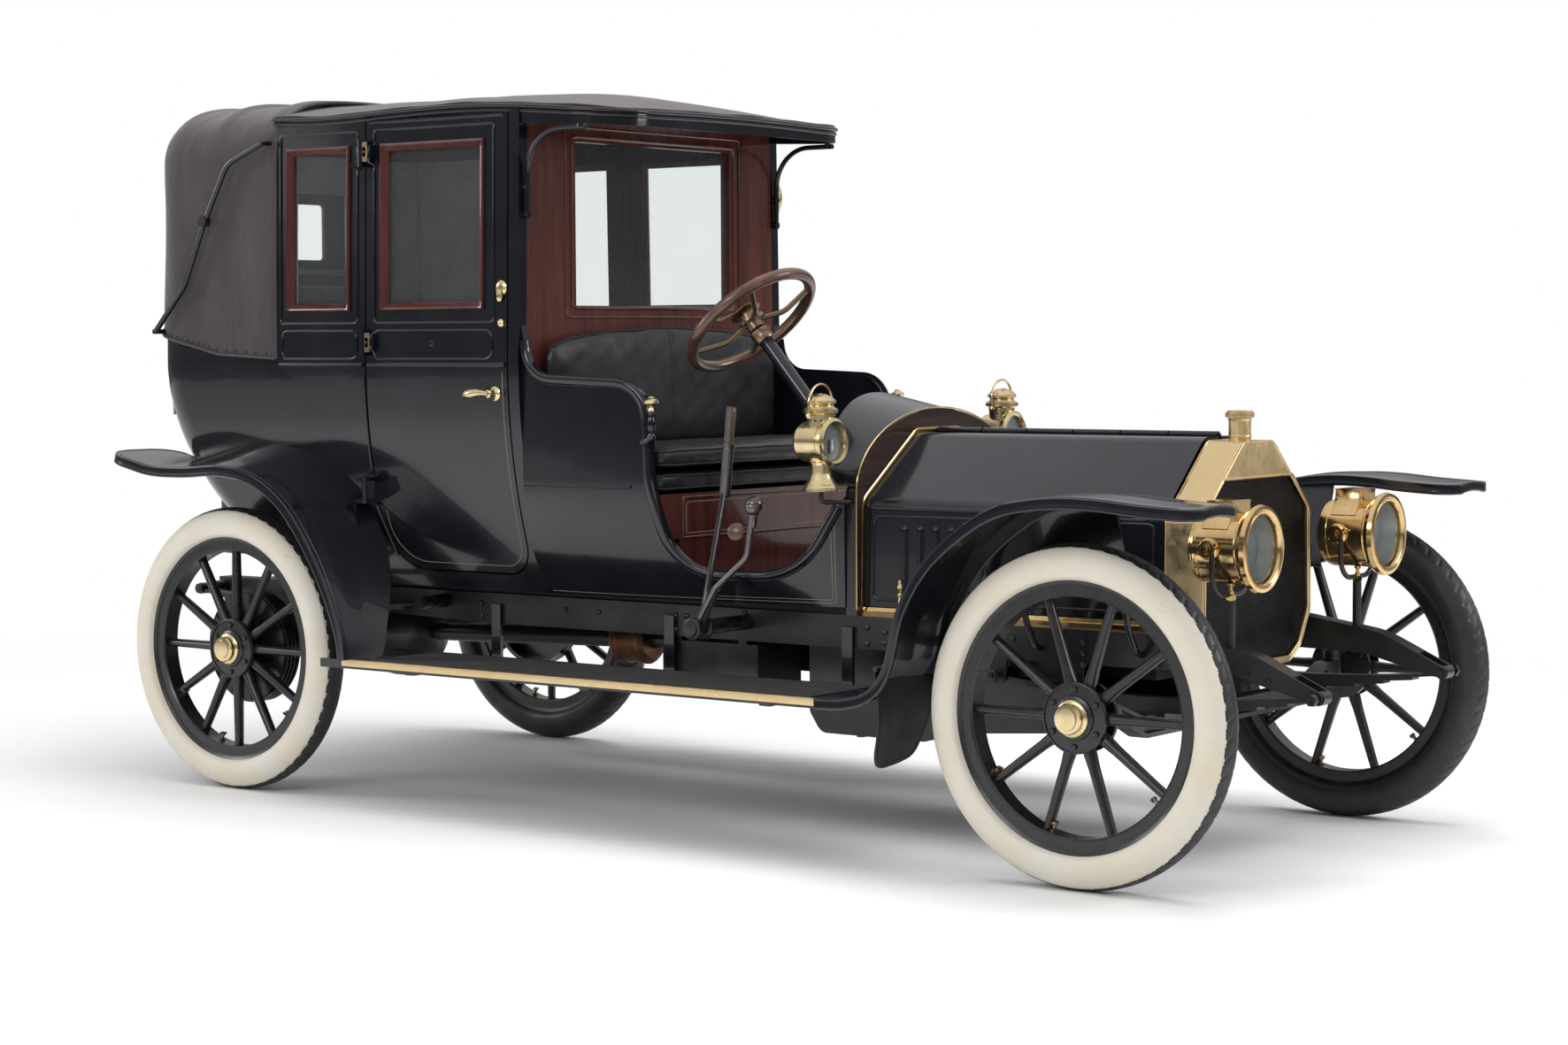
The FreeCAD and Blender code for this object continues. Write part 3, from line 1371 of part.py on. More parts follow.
def headlamps():
    # Round brass drums with a deep rim, an open front and a chimney box on top.
    y, z, front = S["lamp_y"], S["lamp_z"], S["lamp_front"]
    profile = [
        (0, front - 196), (60, front - 192), (S["lamp_drum"] - 4, front - 172), (S["lamp_drum"], front - 160),
        (S["lamp_drum"], front - 34), (S["lamp_ring"] - 6, front - 26), (S["lamp_ring"], front - 14),
        (S["lamp_ring"] - 3, front - 2), (S["lamp_ring"] - 12, front), (S["lamp_ring"] - 22, front - 4),
        (S["lamp_ring"] - 24, front - 20), (S["lamp_drum"] - 8, front - 40), (S["lamp_drum"] - 30, front - 120),
        (0, front - 150),
    ]
    drum = Part.Face(wire(profile, lambda r, x: V(x, y, z + r))).revolve(V(0, y, z), V(1, 0, 0), 360)
    chimney = slab([(y - 34, z + 60), (y - 44, z + 122), (y + 44, z + 122), (y + 34, z + 60)],
                   front_view(front - 140), V(76, 0, 0))
    bore = rod(V(front - 140, y, z), V(front, y, z), S["lamp_drum"] - 12)
    chimney = chimney.cut(bore)
    return pair(drum.fuse(chimney))


def side_lamps():
    # Oil side lamps: bell foot, round body with a glazed front, tiered chimney and a bail handle.
    x, y = -S["side_lamp_x"], S["side_lamp_y"]
    stem = [
        (0, 972), (50, 972), (50, 981), (44, 990), (34, 1006), (28, 1020), (28, 1044), (32, 1056), (38, 1150),
        (38, 1184), (49, 1190), (49, 1198), (40, 1204), (36, 1210), (43, 1216), (43, 1223), (32, 1234), (12, 1242),
        (0, 1243),
    ]
    tower = Part.Face(wire(stem, lambda r, z: V(x + r, y, z))).revolve(V(x, y, 0), V(0, 0, 1), 360)
    lens = Part.Face(wire([
        (0, -66), (48, -62), (55, -52), (55, 22), (66, 30), (68, 44), (60, 50), (54, 46), (50, 30), (0, 26),
    ], lambda r, a: V(x + a, y, 1108 + r))).revolve(V(x, y, 1108), V(1, 0, 0), 360)
    tower = tower.cut(rod(V(x + 26, y, 1108), V(x + 70, y, 1108), 51))
    lamp = tower.fuse([lens, rod(V(x, y - 58, 1182), V(x, y + 58, 1182), 4)])
    bail = bent_rod([V(x, y - 55, 1178), V(x, y - 55, 1268), V(x, y + 55, 1268), V(x, y + 55, 1178)], 3.5, 54)
    return pair(lamp.fuse(bail))


def lamp_lenses():
    y, z, front = S["lamp_y"], S["lamp_z"], S["lamp_front"]
    disc = rod(V(front - 18, y, z), V(front - 12, y, z), S["lamp_ring"] - 24.4)
    x = -S["side_lamp_x"]
    small = rod(V(x + 34, S["side_lamp_y"], 1108), V(x + 40, S["side_lamp_y"], 1108), 50.5)
    return Part.makeCompound([disc, mirrored(disc), small, mirrored(small)])


def lamp_brackets():
    # Forked posts that carry the headlamps on the dumb irons, and the side lamps' brackets.
    y, z = S["lamp_y"], S["lamp_z"]
    x = S["lamp_front"] - 96
    reach = S["lamp_drum"] + 9
    fork_rod = bent_rod([V(x, y - reach, z), V(x, y - reach, z - 120), V(x, y + reach, z - 120), V(x, y + reach, z)],
                        7, 60)
    post = rod(V(x, y, z - 122), V(x, y, S["rail_top"] - 34), 12)
    pins = [rod(V(x, y + a * reach, z - 4), V(x, y + a * (S["lamp_drum"] + seat_gap), z - 4), 6) for a in (-1, 1)]
    head = fork_rod.fuse([post] + pins).cut(slab(rail_outline, side_view(rail_in), V(0, S["rail_flange"], 0)))
    sx, sy = -S["side_lamp_x"], S["side_lamp_y"]
    arm = bent_rod([V(sx, sy, 971.7), V(sx, sy, 940), V(-S["dash_x"] - S["dash_thick"] / 2, 404.3, 940)], 7, 16)
    arm = arm.cut(side_panel()).cut(block(-1100, -900, 0, 404.3, 900, 980))
    return Part.makeCompound([head, mirrored(head), arm, mirrored(arm)])


def door_lamp():
    # Flat round lamp with a turned brass face, on a stub that is fixed to the left door's front stile.
    x, z = -S["door_front"] - 58, 1852
    face = S["belt_half"] - (z - 16 - S["belt_z"]) * wall_lean + seat_gap
    profile = [(0, 0), (16, 0), (16, 12), (70, 14), (88, 22), (92, 30), (92, 40), (84, 44), (78, 40), (20, 43),
               (12, 52), (0, 54)]
    return Part.Face(wire(profile, lambda r, a: V(x + r, face + a, z))).revolve(V(x, face, z), V(0, 1, 0), 360)


solid("door_lamp", door_lamp())
solid("headlamps", headlamps())
solid("side_lamps", side_lamps())
solid("lamp_lenses", lamp_lenses())
solid("lamp_brackets", lamp_brackets())

# ---- steering ----

def steering_column():
    # Raked column through the dash to the steering box, which is bolted on the right rail.
    foot = hub_point + down * 1010
    tube = rod(hub_point + down * 42, hub_point + down * 620, S["column_radius"])
    tube = tube.fuse(rod(hub_point + down * 600, foot, 14))
    spindle = rod(hub_point - down * 20, hub_point + down * 60, 9)
    base = S["rail_top"] + seat_gap
    box_shape = block(foot.x - 60, foot.x + 60, foot.y - 24, foot.y + 28, base, foot.z + 40)
    flange = block(foot.x - 80, foot.x + 80, -rail_out + 10, foot.y + 28, base, base + 14)
    return tube.fuse([spindle, box_shape, flange]).removeSplitter()


def steering_wheel():
    # Round wooden rim on four curved spokes and a boss that turns on the spindle.
    rim = Part.makeTorus(S["wheel_rim"], 17, hub_point, down)
    boss = rod(hub_point - down * 18, hub_point + down * 36, 26).fuse(rod(hub_point, hub_point + down * 10, 40))
    made = rim
    across = V(0, 1, 0)
    along = down.cross(across)
    for i in range(4):
        angle = math.radians(45 + 90 * i)
        ray = across * math.cos(angle) + along * math.sin(angle)
        made = made.fuse(bent_rod([hub_point + down * 5 + ray * 16, hub_point + down * 26 + ray * 96,
                                   hub_point + ray * (S["wheel_rim"] - 6)], 8, 70))
    made = made.fuse(boss)
    return made.cut(rod(hub_point - down * 60, hub_point + down * 80, 9 + S["running_gap"]))


solid("steering_column", steering_column())
solid("steering_wheel", steering_wheel())


def levers():
    # Outside brake lever and gear lever on one pivot on the right rail.
    y = -rail_out
    pivot = V(-1322, y, 585)
    boss = rod(V(pivot.x, y - seat_gap, pivot.z), V(pivot.x, y - 250, pivot.z), 22)
    knee, hand = V(-1228, y - 225, 960), V(-1204, y - 225, 1208)
    brake = bent_rod([pivot - V(0, 215, 0), V(-1296, y - 215, 700), knee, hand], 9, 80)
    grip = hand - knee
    sleeve = rod(knee, knee + grip * 0.6, 14).fuse(rod(knee + grip * 0.62, hand, 12))
    gear = bent_rod([pivot - V(0, 240, 0), V(-1250, y - 240, 700), V(-1138, y - 240, 790), V(-1116, y - 240, 925)],
                    9, 50)
    knob = Part.makeSphere(22, V(-1116, y - 240, 930))
    return boss.fuse([brake, sleeve, gear, knob]).removeSplitter()


solid("levers", levers())


def knuckle(out):
    # Forked stub axle: the kingpin through the beam's eye, the spindle outboard and the arm behind.
    z = S["tyre_radius"]
    y = S["kingpin_y"]
    pin = rod(V(0, y, z - 62), V(0, y, z + 62), S["kingpin"])
    top = slab(rounded([(-24, y - 24, 20), (24, y - 24, 20), (24, y + 38, 8), (-24, y + 38, 8)]),
               plan_view(z + 36), V(0, 0, 16))
    low = top.translated(V(0, 0, -88))
    back = block(-24, 24, y + 29, y + 40, z - 52, z + 52)
    spindle = rod(V(0, y + 36, z), V(0, S["track"] / 2 + 30, z), S["spindle"])
    arm = rod(V(0, y, z - 44), V(-S["arm_back"], y, z - 44), 9)
    eye = rod(V(-S["arm_back"], y, z - 54), V(-S["arm_back"], y, z - 30), 16)
    stud = rod(V(-S["arm_back"], y, z - 76), V(-S["arm_back"], y, z - 50), 8)
    shape = pin.fuse([top, low, back, spindle, arm, eye, stud]).removeSplitter()
    return shape if out > 0 else mirrored(shape)


for side, out in sides:
    solid("knuckle_" + side, knuckle(out))


def tie_rod():
    # Track rod between the two steering arms, with an eye on each arm's stud.
    y = S["kingpin_y"]
    z = S["tyre_radius"] - 66
    x = -S["arm_back"]
    shape = rod(V(x, -y, z), V(x, y, z), 11)
    for out in (-1, 1):
        shape = shape.fuse(rod(V(x, out * y, z - 9), V(x, out * y, z + 9), 18))
    for out in (-1, 1):
        shape = shape.cut(rod(V(x, out * y, z - 20), V(x, out * y, z + 20), 8 + S["running_gap"]))
    return shape.removeSplitter()


solid("tie_rod", tie_rod())

# ---- check and write ----

doc.recompute()
for thing in doc.Objects:
    if "Invalid" in thing.State or "Error" in thing.State:
        raise RuntimeError("failed: " + thing.Label)
os.makedirs("parts", exist_ok=True)
bad = [piece.Label for piece in pieces if piece.Shape.isNull() or not piece.Shape.isValid()]
if bad:
    raise RuntimeError("bad shapes: " + ", ".join(bad))
for piece in pieces:
    piece.Shape.exportStep("parts/" + piece.Label + ".step")
print(len(pieces), "sub-parts written")
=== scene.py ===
import json
import math

import bmesh
import bpy
import numpy as np
from mathutils import Matrix, Vector
from mathutils.bvhtree import BVHTree

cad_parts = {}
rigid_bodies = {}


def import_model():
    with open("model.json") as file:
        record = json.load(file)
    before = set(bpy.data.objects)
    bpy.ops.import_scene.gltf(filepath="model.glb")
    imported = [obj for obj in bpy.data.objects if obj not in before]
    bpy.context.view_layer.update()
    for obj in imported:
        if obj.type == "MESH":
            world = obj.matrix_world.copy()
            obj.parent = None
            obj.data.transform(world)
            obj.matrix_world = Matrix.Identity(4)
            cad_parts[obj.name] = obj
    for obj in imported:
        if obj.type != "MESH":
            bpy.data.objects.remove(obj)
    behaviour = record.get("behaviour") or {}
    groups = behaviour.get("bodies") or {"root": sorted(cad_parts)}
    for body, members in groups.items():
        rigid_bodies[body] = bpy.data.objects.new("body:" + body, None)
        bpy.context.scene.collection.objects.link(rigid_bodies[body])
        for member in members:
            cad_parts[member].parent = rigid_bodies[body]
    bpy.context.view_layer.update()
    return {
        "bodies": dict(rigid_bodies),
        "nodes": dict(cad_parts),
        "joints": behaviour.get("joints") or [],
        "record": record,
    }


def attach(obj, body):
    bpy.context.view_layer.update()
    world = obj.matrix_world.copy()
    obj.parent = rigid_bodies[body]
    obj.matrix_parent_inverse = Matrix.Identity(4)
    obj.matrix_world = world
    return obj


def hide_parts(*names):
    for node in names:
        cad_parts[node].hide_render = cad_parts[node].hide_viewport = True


# A brass era car with landaulet coachwork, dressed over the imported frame. Metres, +X forward,
# +Y the car's left, +Z up. Surfaces are numpy grids; each piece rides on the body that carries it.

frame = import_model()
nodes = frame["nodes"]
sides = (("right", -1), ("left", 1))
wheelNames = ("front_right", "front_left", "rear_right", "rear_left")


cameraView = {
    "place": (5.4932, -7.2418, 1.3904),
    "turn": 36.8527,  # forward direction, from +Y towards -X
    "down": 3.4487,
    "roll": -0.2708,
    "lens": 69.39,
}


def addCamera(view):
    # the view's three angles as a turned frame: forward, then up and across rolled about it
    turn, down, roll = (math.radians(view[key]) for key in ("turn", "down", "roll"))
    forward = Vector((-math.sin(turn) * math.cos(down), math.cos(turn) * math.cos(down), -math.sin(down)))
    right = Vector((math.cos(turn), math.sin(turn), 0))
    up = right.cross(forward)
    across = right * math.cos(roll) + up * math.sin(roll)
    upright = up * math.cos(roll) - right * math.sin(roll)
    data = bpy.data.cameras.new("camera")
    data.lens = view["lens"]
    data.sensor_width = 36
    data.clip_end = 200
    camera = bpy.data.objects.new("camera", data)
    matrix = Matrix((across, upright, -forward)).transposed().to_4x4()
    matrix.translation = Vector(view["place"])
    camera.matrix_world = matrix
    bpy.context.scene.collection.objects.link(camera)
    bpy.context.scene.camera = camera


addCamera(cameraView)


def newMaterial(name, colour, metallic=0.0, roughness=0.5, **others):
    # a Principled surface; others are its sockets written in camelCase, such as coatWeight
    material = bpy.data.materials.new(name)
    material.use_nodes = True
    shader = material.node_tree.nodes["Principled BSDF"]
    shader.inputs["Base Color"].default_value = (*colour, 1)
    shader.inputs["Metallic"].default_value = metallic
    shader.inputs["Roughness"].default_value = roughness
    for key, value in others.items():
        label = "".join(" " + letter if letter.isupper() else letter for letter in key).title()
        label = label.replace("I O R", "IOR")
        shader.inputs[label].default_value = value
    return material


def shaderOf(material):
    # the material's Principled node
    return material.node_tree.nodes["Principled BSDF"]


def join(material, start, end):
    # one link between two sockets
    material.node_tree.links.new(start, end)


def feed(material, value, socket):
    # drives one of the surface's own sockets
    join(material, value, shaderOf(material).inputs[socket])


def newNode(material, kind):
    return material.node_tree.nodes.new("ShaderNode" + kind)


def place(material, stretch=(1, 1, 1), turn=(0, 0, 0), shift=(0, 0, 0)):
    # the piece's own object coordinates, moved, turned and stretched
    tree = material.node_tree.nodes
    coordinates = tree.new("ShaderNodeTexCoord")
    mapping = tree.new("ShaderNodeMapping")
    mapping.inputs["Scale"].default_value = stretch
    mapping.inputs["Rotation"].default_value = turn
    mapping.inputs["Location"].default_value = shift
    join(material, coordinates.outputs["Object"], mapping.inputs["Vector"])
    return mapping.outputs["Vector"]


def noise(material, scale, detail=3, rough=0.5, vector=None, warp=0.0):
    # cloudy noise from 0 to 1 in object coordinates, or in the vector's
    node = newNode(material, "TexNoise")
    node.inputs["Scale"].default_value = scale
    node.inputs["Detail"].default_value = detail
    node.inputs["Roughness"].default_value = rough
    node.inputs["Distortion"].default_value = warp
    join(material, vector or place(material), node.inputs["Vector"])
    return node.outputs["Fac"]


def ramp(material, source, *stops):
    # stops are (place, value or colour)
    node = newNode(material, "ValToRGB")
    points = node.color_ramp.elements
    while len(points) < len(stops):
        points.new(0.5)
    for point, (at, value) in zip(points, stops):
        point.position = at
        point.color = (value, value, value, 1) if isinstance(value, (int, float)) else (*value, 1)
    join(material, source, node.inputs["Fac"])
    return node.outputs["Color"]


def maths(material, kind, first, second=None, third=None):
    # one operation on numbers or sockets
    node = newNode(material, "Math")
    node.operation = kind
    for socket, value in zip(node.inputs, (first, second, third)):
        if value is None:
            continue
        if isinstance(value, (int, float)):
            socket.default_value = value
        else:
            join(material, value, socket)
    return node.outputs["Value"]


def mixColours(material, factor, first, second):
    # first where the factor is 0, second where it is 1
    node = newNode(material, "Mix")
    node.data_type = "RGBA"
    for socket, value in ((node.inputs["Factor"], factor), (node.inputs[6], first), (node.inputs[7], second)):
        if isinstance(value, (int, float)):
            socket.default_value = value
        elif isinstance(value, tuple):
            socket.default_value = (*value, 1)
        else:
            join(material, value, socket)
    return node.outputs[2]


def bump(material, height, strength, distance=0.001):
    # adds to whatever bump is there already
    node = newNode(material, "Bump")
    node.inputs["Strength"].default_value = strength
    node.inputs["Distance"].default_value = distance
    join(material, height, node.inputs["Height"])
    target = shaderOf(material).inputs["Normal"]
    if target.links:
        join(material, target.links[0].from_socket, node.inputs["Normal"])
    join(material, node.outputs["Normal"], target)


stageSizes = {
    "floor": 40.0,
    "fadeStart": 3.2,
    "fadeEnd": 6.5,
}


def lightPath(tree, kinds):
    # 1 where the ray is one of the kinds
    path = tree.nodes.new("ShaderNodeLightPath")
    total = None
    for kind in kinds:
        if total is None:
            total = path.outputs[kind]
            continue
        add = tree.nodes.new("ShaderNodeMath")
        add.operation = "MAXIMUM"
        tree.links.new(total, add.inputs[0])
        tree.links.new(path.outputs[kind], add.inputs[1])
        total = add.outputs[0]
    return total


def addWorld():
    # grey sky that brightens upwards, seen as plain white by the camera
    world = bpy.data.worlds.new("studio")
    bpy.context.scene.world = world
    world.use_nodes = True
    tree = world.node_tree
    background = tree.nodes["Background"]
    coordinates = tree.nodes.new("ShaderNodeTexCoord")
    parts = tree.nodes.new("ShaderNodeSeparateXYZ")
    tree.links.new(coordinates.outputs["Generated"], parts.inputs[0])
    sky = tree.nodes.new("ShaderNodeValToRGB")
    stops = ((0.0, 0.12), (0.1, 0.15), (0.4, 0.65), (1.0, 0.95))
    while len(sky.color_ramp.elements) < len(stops):
        sky.color_ramp.elements.new(0.5)
    for point, (at, value) in zip(sky.color_ramp.elements, stops):
        point.position = at
        point.color = (value, value, value * 1.01, 1)
    tree.links.new(parts.outputs["Z"], sky.inputs["Fac"])
    white = tree.nodes.new("ShaderNodeMix")
    white.data_type = "RGBA"
    white.inputs[7].default_value = (1, 1, 1, 1)
    tree.links.new(lightPath(tree, ("Is Camera Ray", "Is Transmission Ray")), white.inputs["Factor"])
    tree.links.new(sky.outputs["Color"], white.inputs[6])
    tree.links.new(white.outputs[2], background.inputs["Color"])


def addFloor(sizes):
    # pale paper whose colour fades to white with distance from the middle
    half = sizes["floor"] / 2
    mesh = bpy.data.meshes.new("floor")
    mesh.from_pydata([(-half, -half, 0), (half, -half, 0), (half, half, 0), (-half, half, 0)], [],
                     [(0, 1, 2, 3)])
    floor = bpy.data.objects.new("floor", mesh)
    bpy.context.scene.collection.objects.link(floor)
    material = newMaterial("floorPaper", (0.86, 0.86, 0.855), roughness=0.75)
    mesh.materials.append(material)
    tree = material.node_tree
    shader = shaderOf(material)
    distance = tree.nodes.new("ShaderNodeVectorMath")
    distance.operation = "LENGTH"
    join(material, place(material, stretch=(1, 1.25, 1)), distance.inputs[0])
    fade = ramp(material, maths(material, "DIVIDE", distance.outputs["Value"], sizes["fadeEnd"]),
                (sizes["fadeStart"] / sizes["fadeEnd"], 0.0), (1.0, 1.0))
    seen = lightPath(tree, ("Is Camera Ray", "Is Transmission Ray"))
    white = tree.nodes.new("ShaderNodeEmission")
    blend = tree.nodes.new("ShaderNodeMixShader")
    join(material, maths(material, "MULTIPLY", fade, seen), blend.inputs["Fac"])
    join(material, shader.outputs["BSDF"], blend.inputs[1])
    join(material, white.outputs["Emission"], blend.inputs[2])
    join(material, blend.outputs["Shader"], tree.nodes["Material Output"].inputs["Surface"])


lamps = (
    # name, place, target, width, height, watts, mirrored in the paint
    ("overhead", (0.3, 0.4, 5.2), (0, 0, 0.8), 5.5, 3.6, 260, False),
    ("frontLeft", (6.5, 3.0, 3.6), (0.8, 0, 0.8), 2.6, 2.2, 120, True),
    ("cameraSide", (0.5, -7.5, 4.2), (-0.4, 0, 0.9), 5.0, 1.6, 150, True),
    ("rearRight", (-7.0, -4.0, 3.2), (-1.0, 0, 1.0), 2.4, 2.0, 90, True),
)


def addLamps():
    # area lamps that look at their targets
    for name, at, target, width, height, watts, mirrored in lamps:
        data = bpy.data.lights.new(name, "AREA")
        data.shape = "RECTANGLE"
        data.size = width
        data.size_y = height
        data.energy = watts
        lamp = bpy.data.objects.new(name, data)
        lamp.location = at
        lamp.visible_glossy = mirrored
        lamp.rotation_euler = (Vector(target) - Vector(at)).to_track_quat("-Z", "Y").to_euler()
        bpy.context.scene.collection.objects.link(lamp)


bpy.context.scene.view_settings.view_transform = "Standard"
addWorld()
addFloor(stageSizes)
addLamps()
print("stage ready")


def paintedGloss(name, colour, roughness=0.16, coat=0.5):
    # deep coach paint: faint waves in the flatting, fine dust that dulls the gloss in places
    material = newMaterial(name, colour, roughness=roughness, coatWeight=coat, coatRoughness=0.04,
                           specularIORLevel=0.4)
    haze = ramp(material, noise(material, 2.3, 4, 0.6), (0.35, roughness * 0.8), (0.75, roughness * 1.6))
    feed(material, haze, "Roughness")
    dust = ramp(material, noise(material, 5.0, 6, 0.65), (0.45, colour),
                (0.9, tuple(c * 1.7 + 0.003 for c in colour)))
    feed(material, dust, "Base Color")
    bump(material, noise(material, 9.0, 2, 0.4), 0.05, 0.004)
    return material


def polishedMetal(name, colour, roughness=0.14, tarnish=(0.3, 0.17, 0.07), amount=0.5):
    # rubbed metal: fine polishing scratches, cloudy tarnish
    material = newMaterial(name, colour, metallic=1.0, roughness=roughness)
    cloud = noise(material, 14.0, 6, 0.7)
    tint = ramp(material, cloud, (0.42, colour),
                (0.85, tuple(c * (1 - amount) + t * amount for c, t in zip(colour, tarnish))))
    feed(material, tint, "Base Color")
    gloss = ramp(material, noise(material, 30.0, 5, 0.7), (0.3, roughness * 0.7), (0.8, roughness * 1.7))
    feed(material, gloss, "Roughness")
    bump(material, noise(material, 900.0, 2, 0.5), 0.035, 0.0004)
    bump(material, noise(material, 18.0, 3, 0.5), 0.06, 0.0012)
    return material


def chassisPaint(name, colour, roughness=0.38):
    # brushed-on black with a slight texture and greyed wear
    material = newMaterial(name, colour, roughness=roughness, coatWeight=0.15, coatRoughness=0.2)
    wear = ramp(material, noise(material, 22.0, 7, 0.7), (0.5, colour),
                (0.85, tuple(c * 2.2 + 0.006 for c in colour)))
    feed(material, wear, "Base Color")
    gloss = ramp(material, noise(material, 12.0, 5, 0.6), (0.3, roughness * 0.75), (0.8, roughness * 1.35))
    feed(material, gloss, "Roughness")
    bump(material, noise(material, 160.0, 4, 0.6), 0.1, 0.0006)
    return material


def varnishedWood(name, dark, light, along="z", roughness=0.2, coat=0.6):
    # long grain: noise drawn out along one axis, with finer pores inside it
    stretch = {"x": (0.6, 9, 9), "y": (9, 0.6, 9), "z": (9, 9, 0.6)}[along]
    material = newMaterial(name, dark, roughness=roughness, coatWeight=coat, coatRoughness=0.06)
    flow = noise(material, 3.0, 6, 0.6, place(material, stretch), 0.6)
    pores = noise(material, 26.0, 3, 0.5, place(material, stretch))
    grain = maths(material, "ADD", maths(material, "MULTIPLY", flow, 0.75),
                  maths(material, "MULTIPLY", pores, 0.25))
    feed(material, ramp(material, grain, (0.38, dark), (0.62, light)), "Base Color")
    bump(material, pores, 0.08, 0.0005)
    return material


def hide(name, colour, roughness=0.4, grainScale=420.0, grain=0.25, worn=0.5):
    # leather: pebbled grain, soft creases, rubbed lighter where it has been used
    material = newMaterial(name, colour, roughness=roughness)
    rubbed = ramp(material, noise(material, 6.0, 6, 0.65), (0.4, colour),
                  (0.85, tuple(c * (1 + worn) + 0.01 * worn for c in colour)))
    feed(material, rubbed, "Base Color")
    cells = newNode(material, "TexVoronoi")
    cells.inputs["Scale"].default_value = grainScale
    join(material, place(material), cells.inputs["Vector"])
    bump(material, cells.outputs["Distance"], grain, 0.0008)
    bump(material, noise(material, 24.0, 5, 0.6, warp=0.4), 0.12, 0.003)
    gloss = ramp(material, noise(material, 10.0, 4, 0.6), (0.3, roughness * 0.8), (0.8, roughness * 1.4))
    feed(material, gloss, "Roughness")
    return material


def wovenCloth(name, colour, thread=900.0, roughness=0.85, sheen=0.25, folds=0.0):
    # plain weave: crossed wave bands and a mottled dye, with soft hanging folds where asked
    material = newMaterial(name, colour, roughness=roughness, sheenWeight=sheen, sheenRoughness=0.5)
    mottled = ramp(material, noise(material, 7.0, 6, 0.6), (0.35, tuple(c * 0.86 for c in colour)),
                   (0.75, tuple(c * 1.16 for c in colour)))
    feed(material, mottled, "Base Color")
    total = None
    for turn in ((0, 0, 0), (0, 0, math.pi / 2), (0, math.pi / 2, 0)):
        wave = newNode(material, "TexWave")
        wave.inputs["Scale"].default_value = thread / 6
        wave.inputs["Distortion"].default_value = 0.6
        join(material, place(material, turn=turn), wave.inputs["Vector"])
        total = wave.outputs["Fac"] if total is None else maths(material, "ADD", total, wave.outputs["Fac"])
    bump(material, total, 0.1, 0.0005)
    if folds:
        bump(material, noise(material, 2.6, 3, 0.5, place(material, (2.4, 2.4, 0.8)), 0.5), folds, 0.02)
    return material


def clearGlass(name, tint=(0.97, 0.985, 0.98), roughness=0.0, film=0.0):
    # thin panes: mostly see-through with a mirror on top, so that they cost no caustics,
    # under a faint film of dust
    material = bpy.data.materials.new(name)
    material.use_nodes = True
    tree = material.node_tree
    tree.nodes.remove(tree.nodes["Principled BSDF"])
    clear = tree.nodes.new("ShaderNodeBsdfTransparent")
    clear.inputs["Color"].default_value = (*tint, 1)
    mirror = tree.nodes.new("ShaderNodeBsdfGlossy")
    mirror.inputs["Roughness"].default_value = roughness
    fresnel = tree.nodes.new("ShaderNodeFresnel")
    fresnel.inputs["IOR"].default_value = 1.45
    facing = tree.nodes.new("ShaderNodeNewGeometry")
    blend = tree.nodes.new("ShaderNodeMixShader")
    front = maths(material, "SUBTRACT", 1.0, facing.outputs["Backfacing"])
    join(material, maths(material, "MULTIPLY", fresnel.outputs["Fac"], front), blend.inputs["Fac"])
    join(material, clear.outputs["BSDF"], blend.inputs[1])
    join(material, mirror.outputs["BSDF"], blend.inputs[2])
    dust = tree.nodes.new("ShaderNodeBsdfDiffuse")
    dust.inputs["Color"].default_value = (0.78, 0.8, 0.84, 1)
    dusty = tree.nodes.new("ShaderNodeMixShader")
    cloudy = ramp(material, noise(material, 2.2, 4, 0.55), (0.3, film * 0.8), (0.75, film * 1.25))
    join(material, maths(material, "MULTIPLY", cloudy, front), dusty.inputs["Fac"])
    join(material, blend.outputs["Shader"], dusty.inputs[1])
    join(material, dust.outputs["BSDF"], dusty.inputs[2])
    join(material, dusty.outputs["Shader"], tree.nodes["Material Output"].inputs["Surface"])
    return material


def metalWithin(material, centre, reach, colour):
    # metal within the reach of a point, and the material's own colour beyond it
    far = newNode(material, "VectorMath")
    far.operation = "DISTANCE"
    join(material, place(material), far.inputs[0])
    far.inputs[1].default_value = centre
    inside = maths(material, "LESS_THAN", far.outputs["Value"], reach)
    shader = shaderOf(material)
    plain = shader.inputs["Base Color"].links[0].from_socket
    join(material, mixColours(material, inside, plain, colour), shader.inputs["Base Color"])
    join(material, maths(material, "MULTIPLY", inside, 0.85), shader.inputs["Metallic"])
    return material


def agedWhite(name, colour):
    # white rubber gone cream: cloudy yellowing, grey smudges, chalky surface
    material = newMaterial(name, colour, roughness=0.62)
    yellow = ramp(material, noise(material, 5.0, 5, 0.6), (0.35, colour),
                  (0.8, (colour[0] * 0.95, colour[1] * 0.88, colour[2] * 0.74)))
    smudge = ramp(material, noise(material, 9.0, 8, 0.72, warp=0.5), (0.6, 0.0), (0.78, 0.55))
    feed(material, mixColours(material, smudge, yellow, (0.36, 0.34, 0.3)), "Base Color")
    bump(material, noise(material, 60.0, 4, 0.6), 0.08, 0.001)
    return material


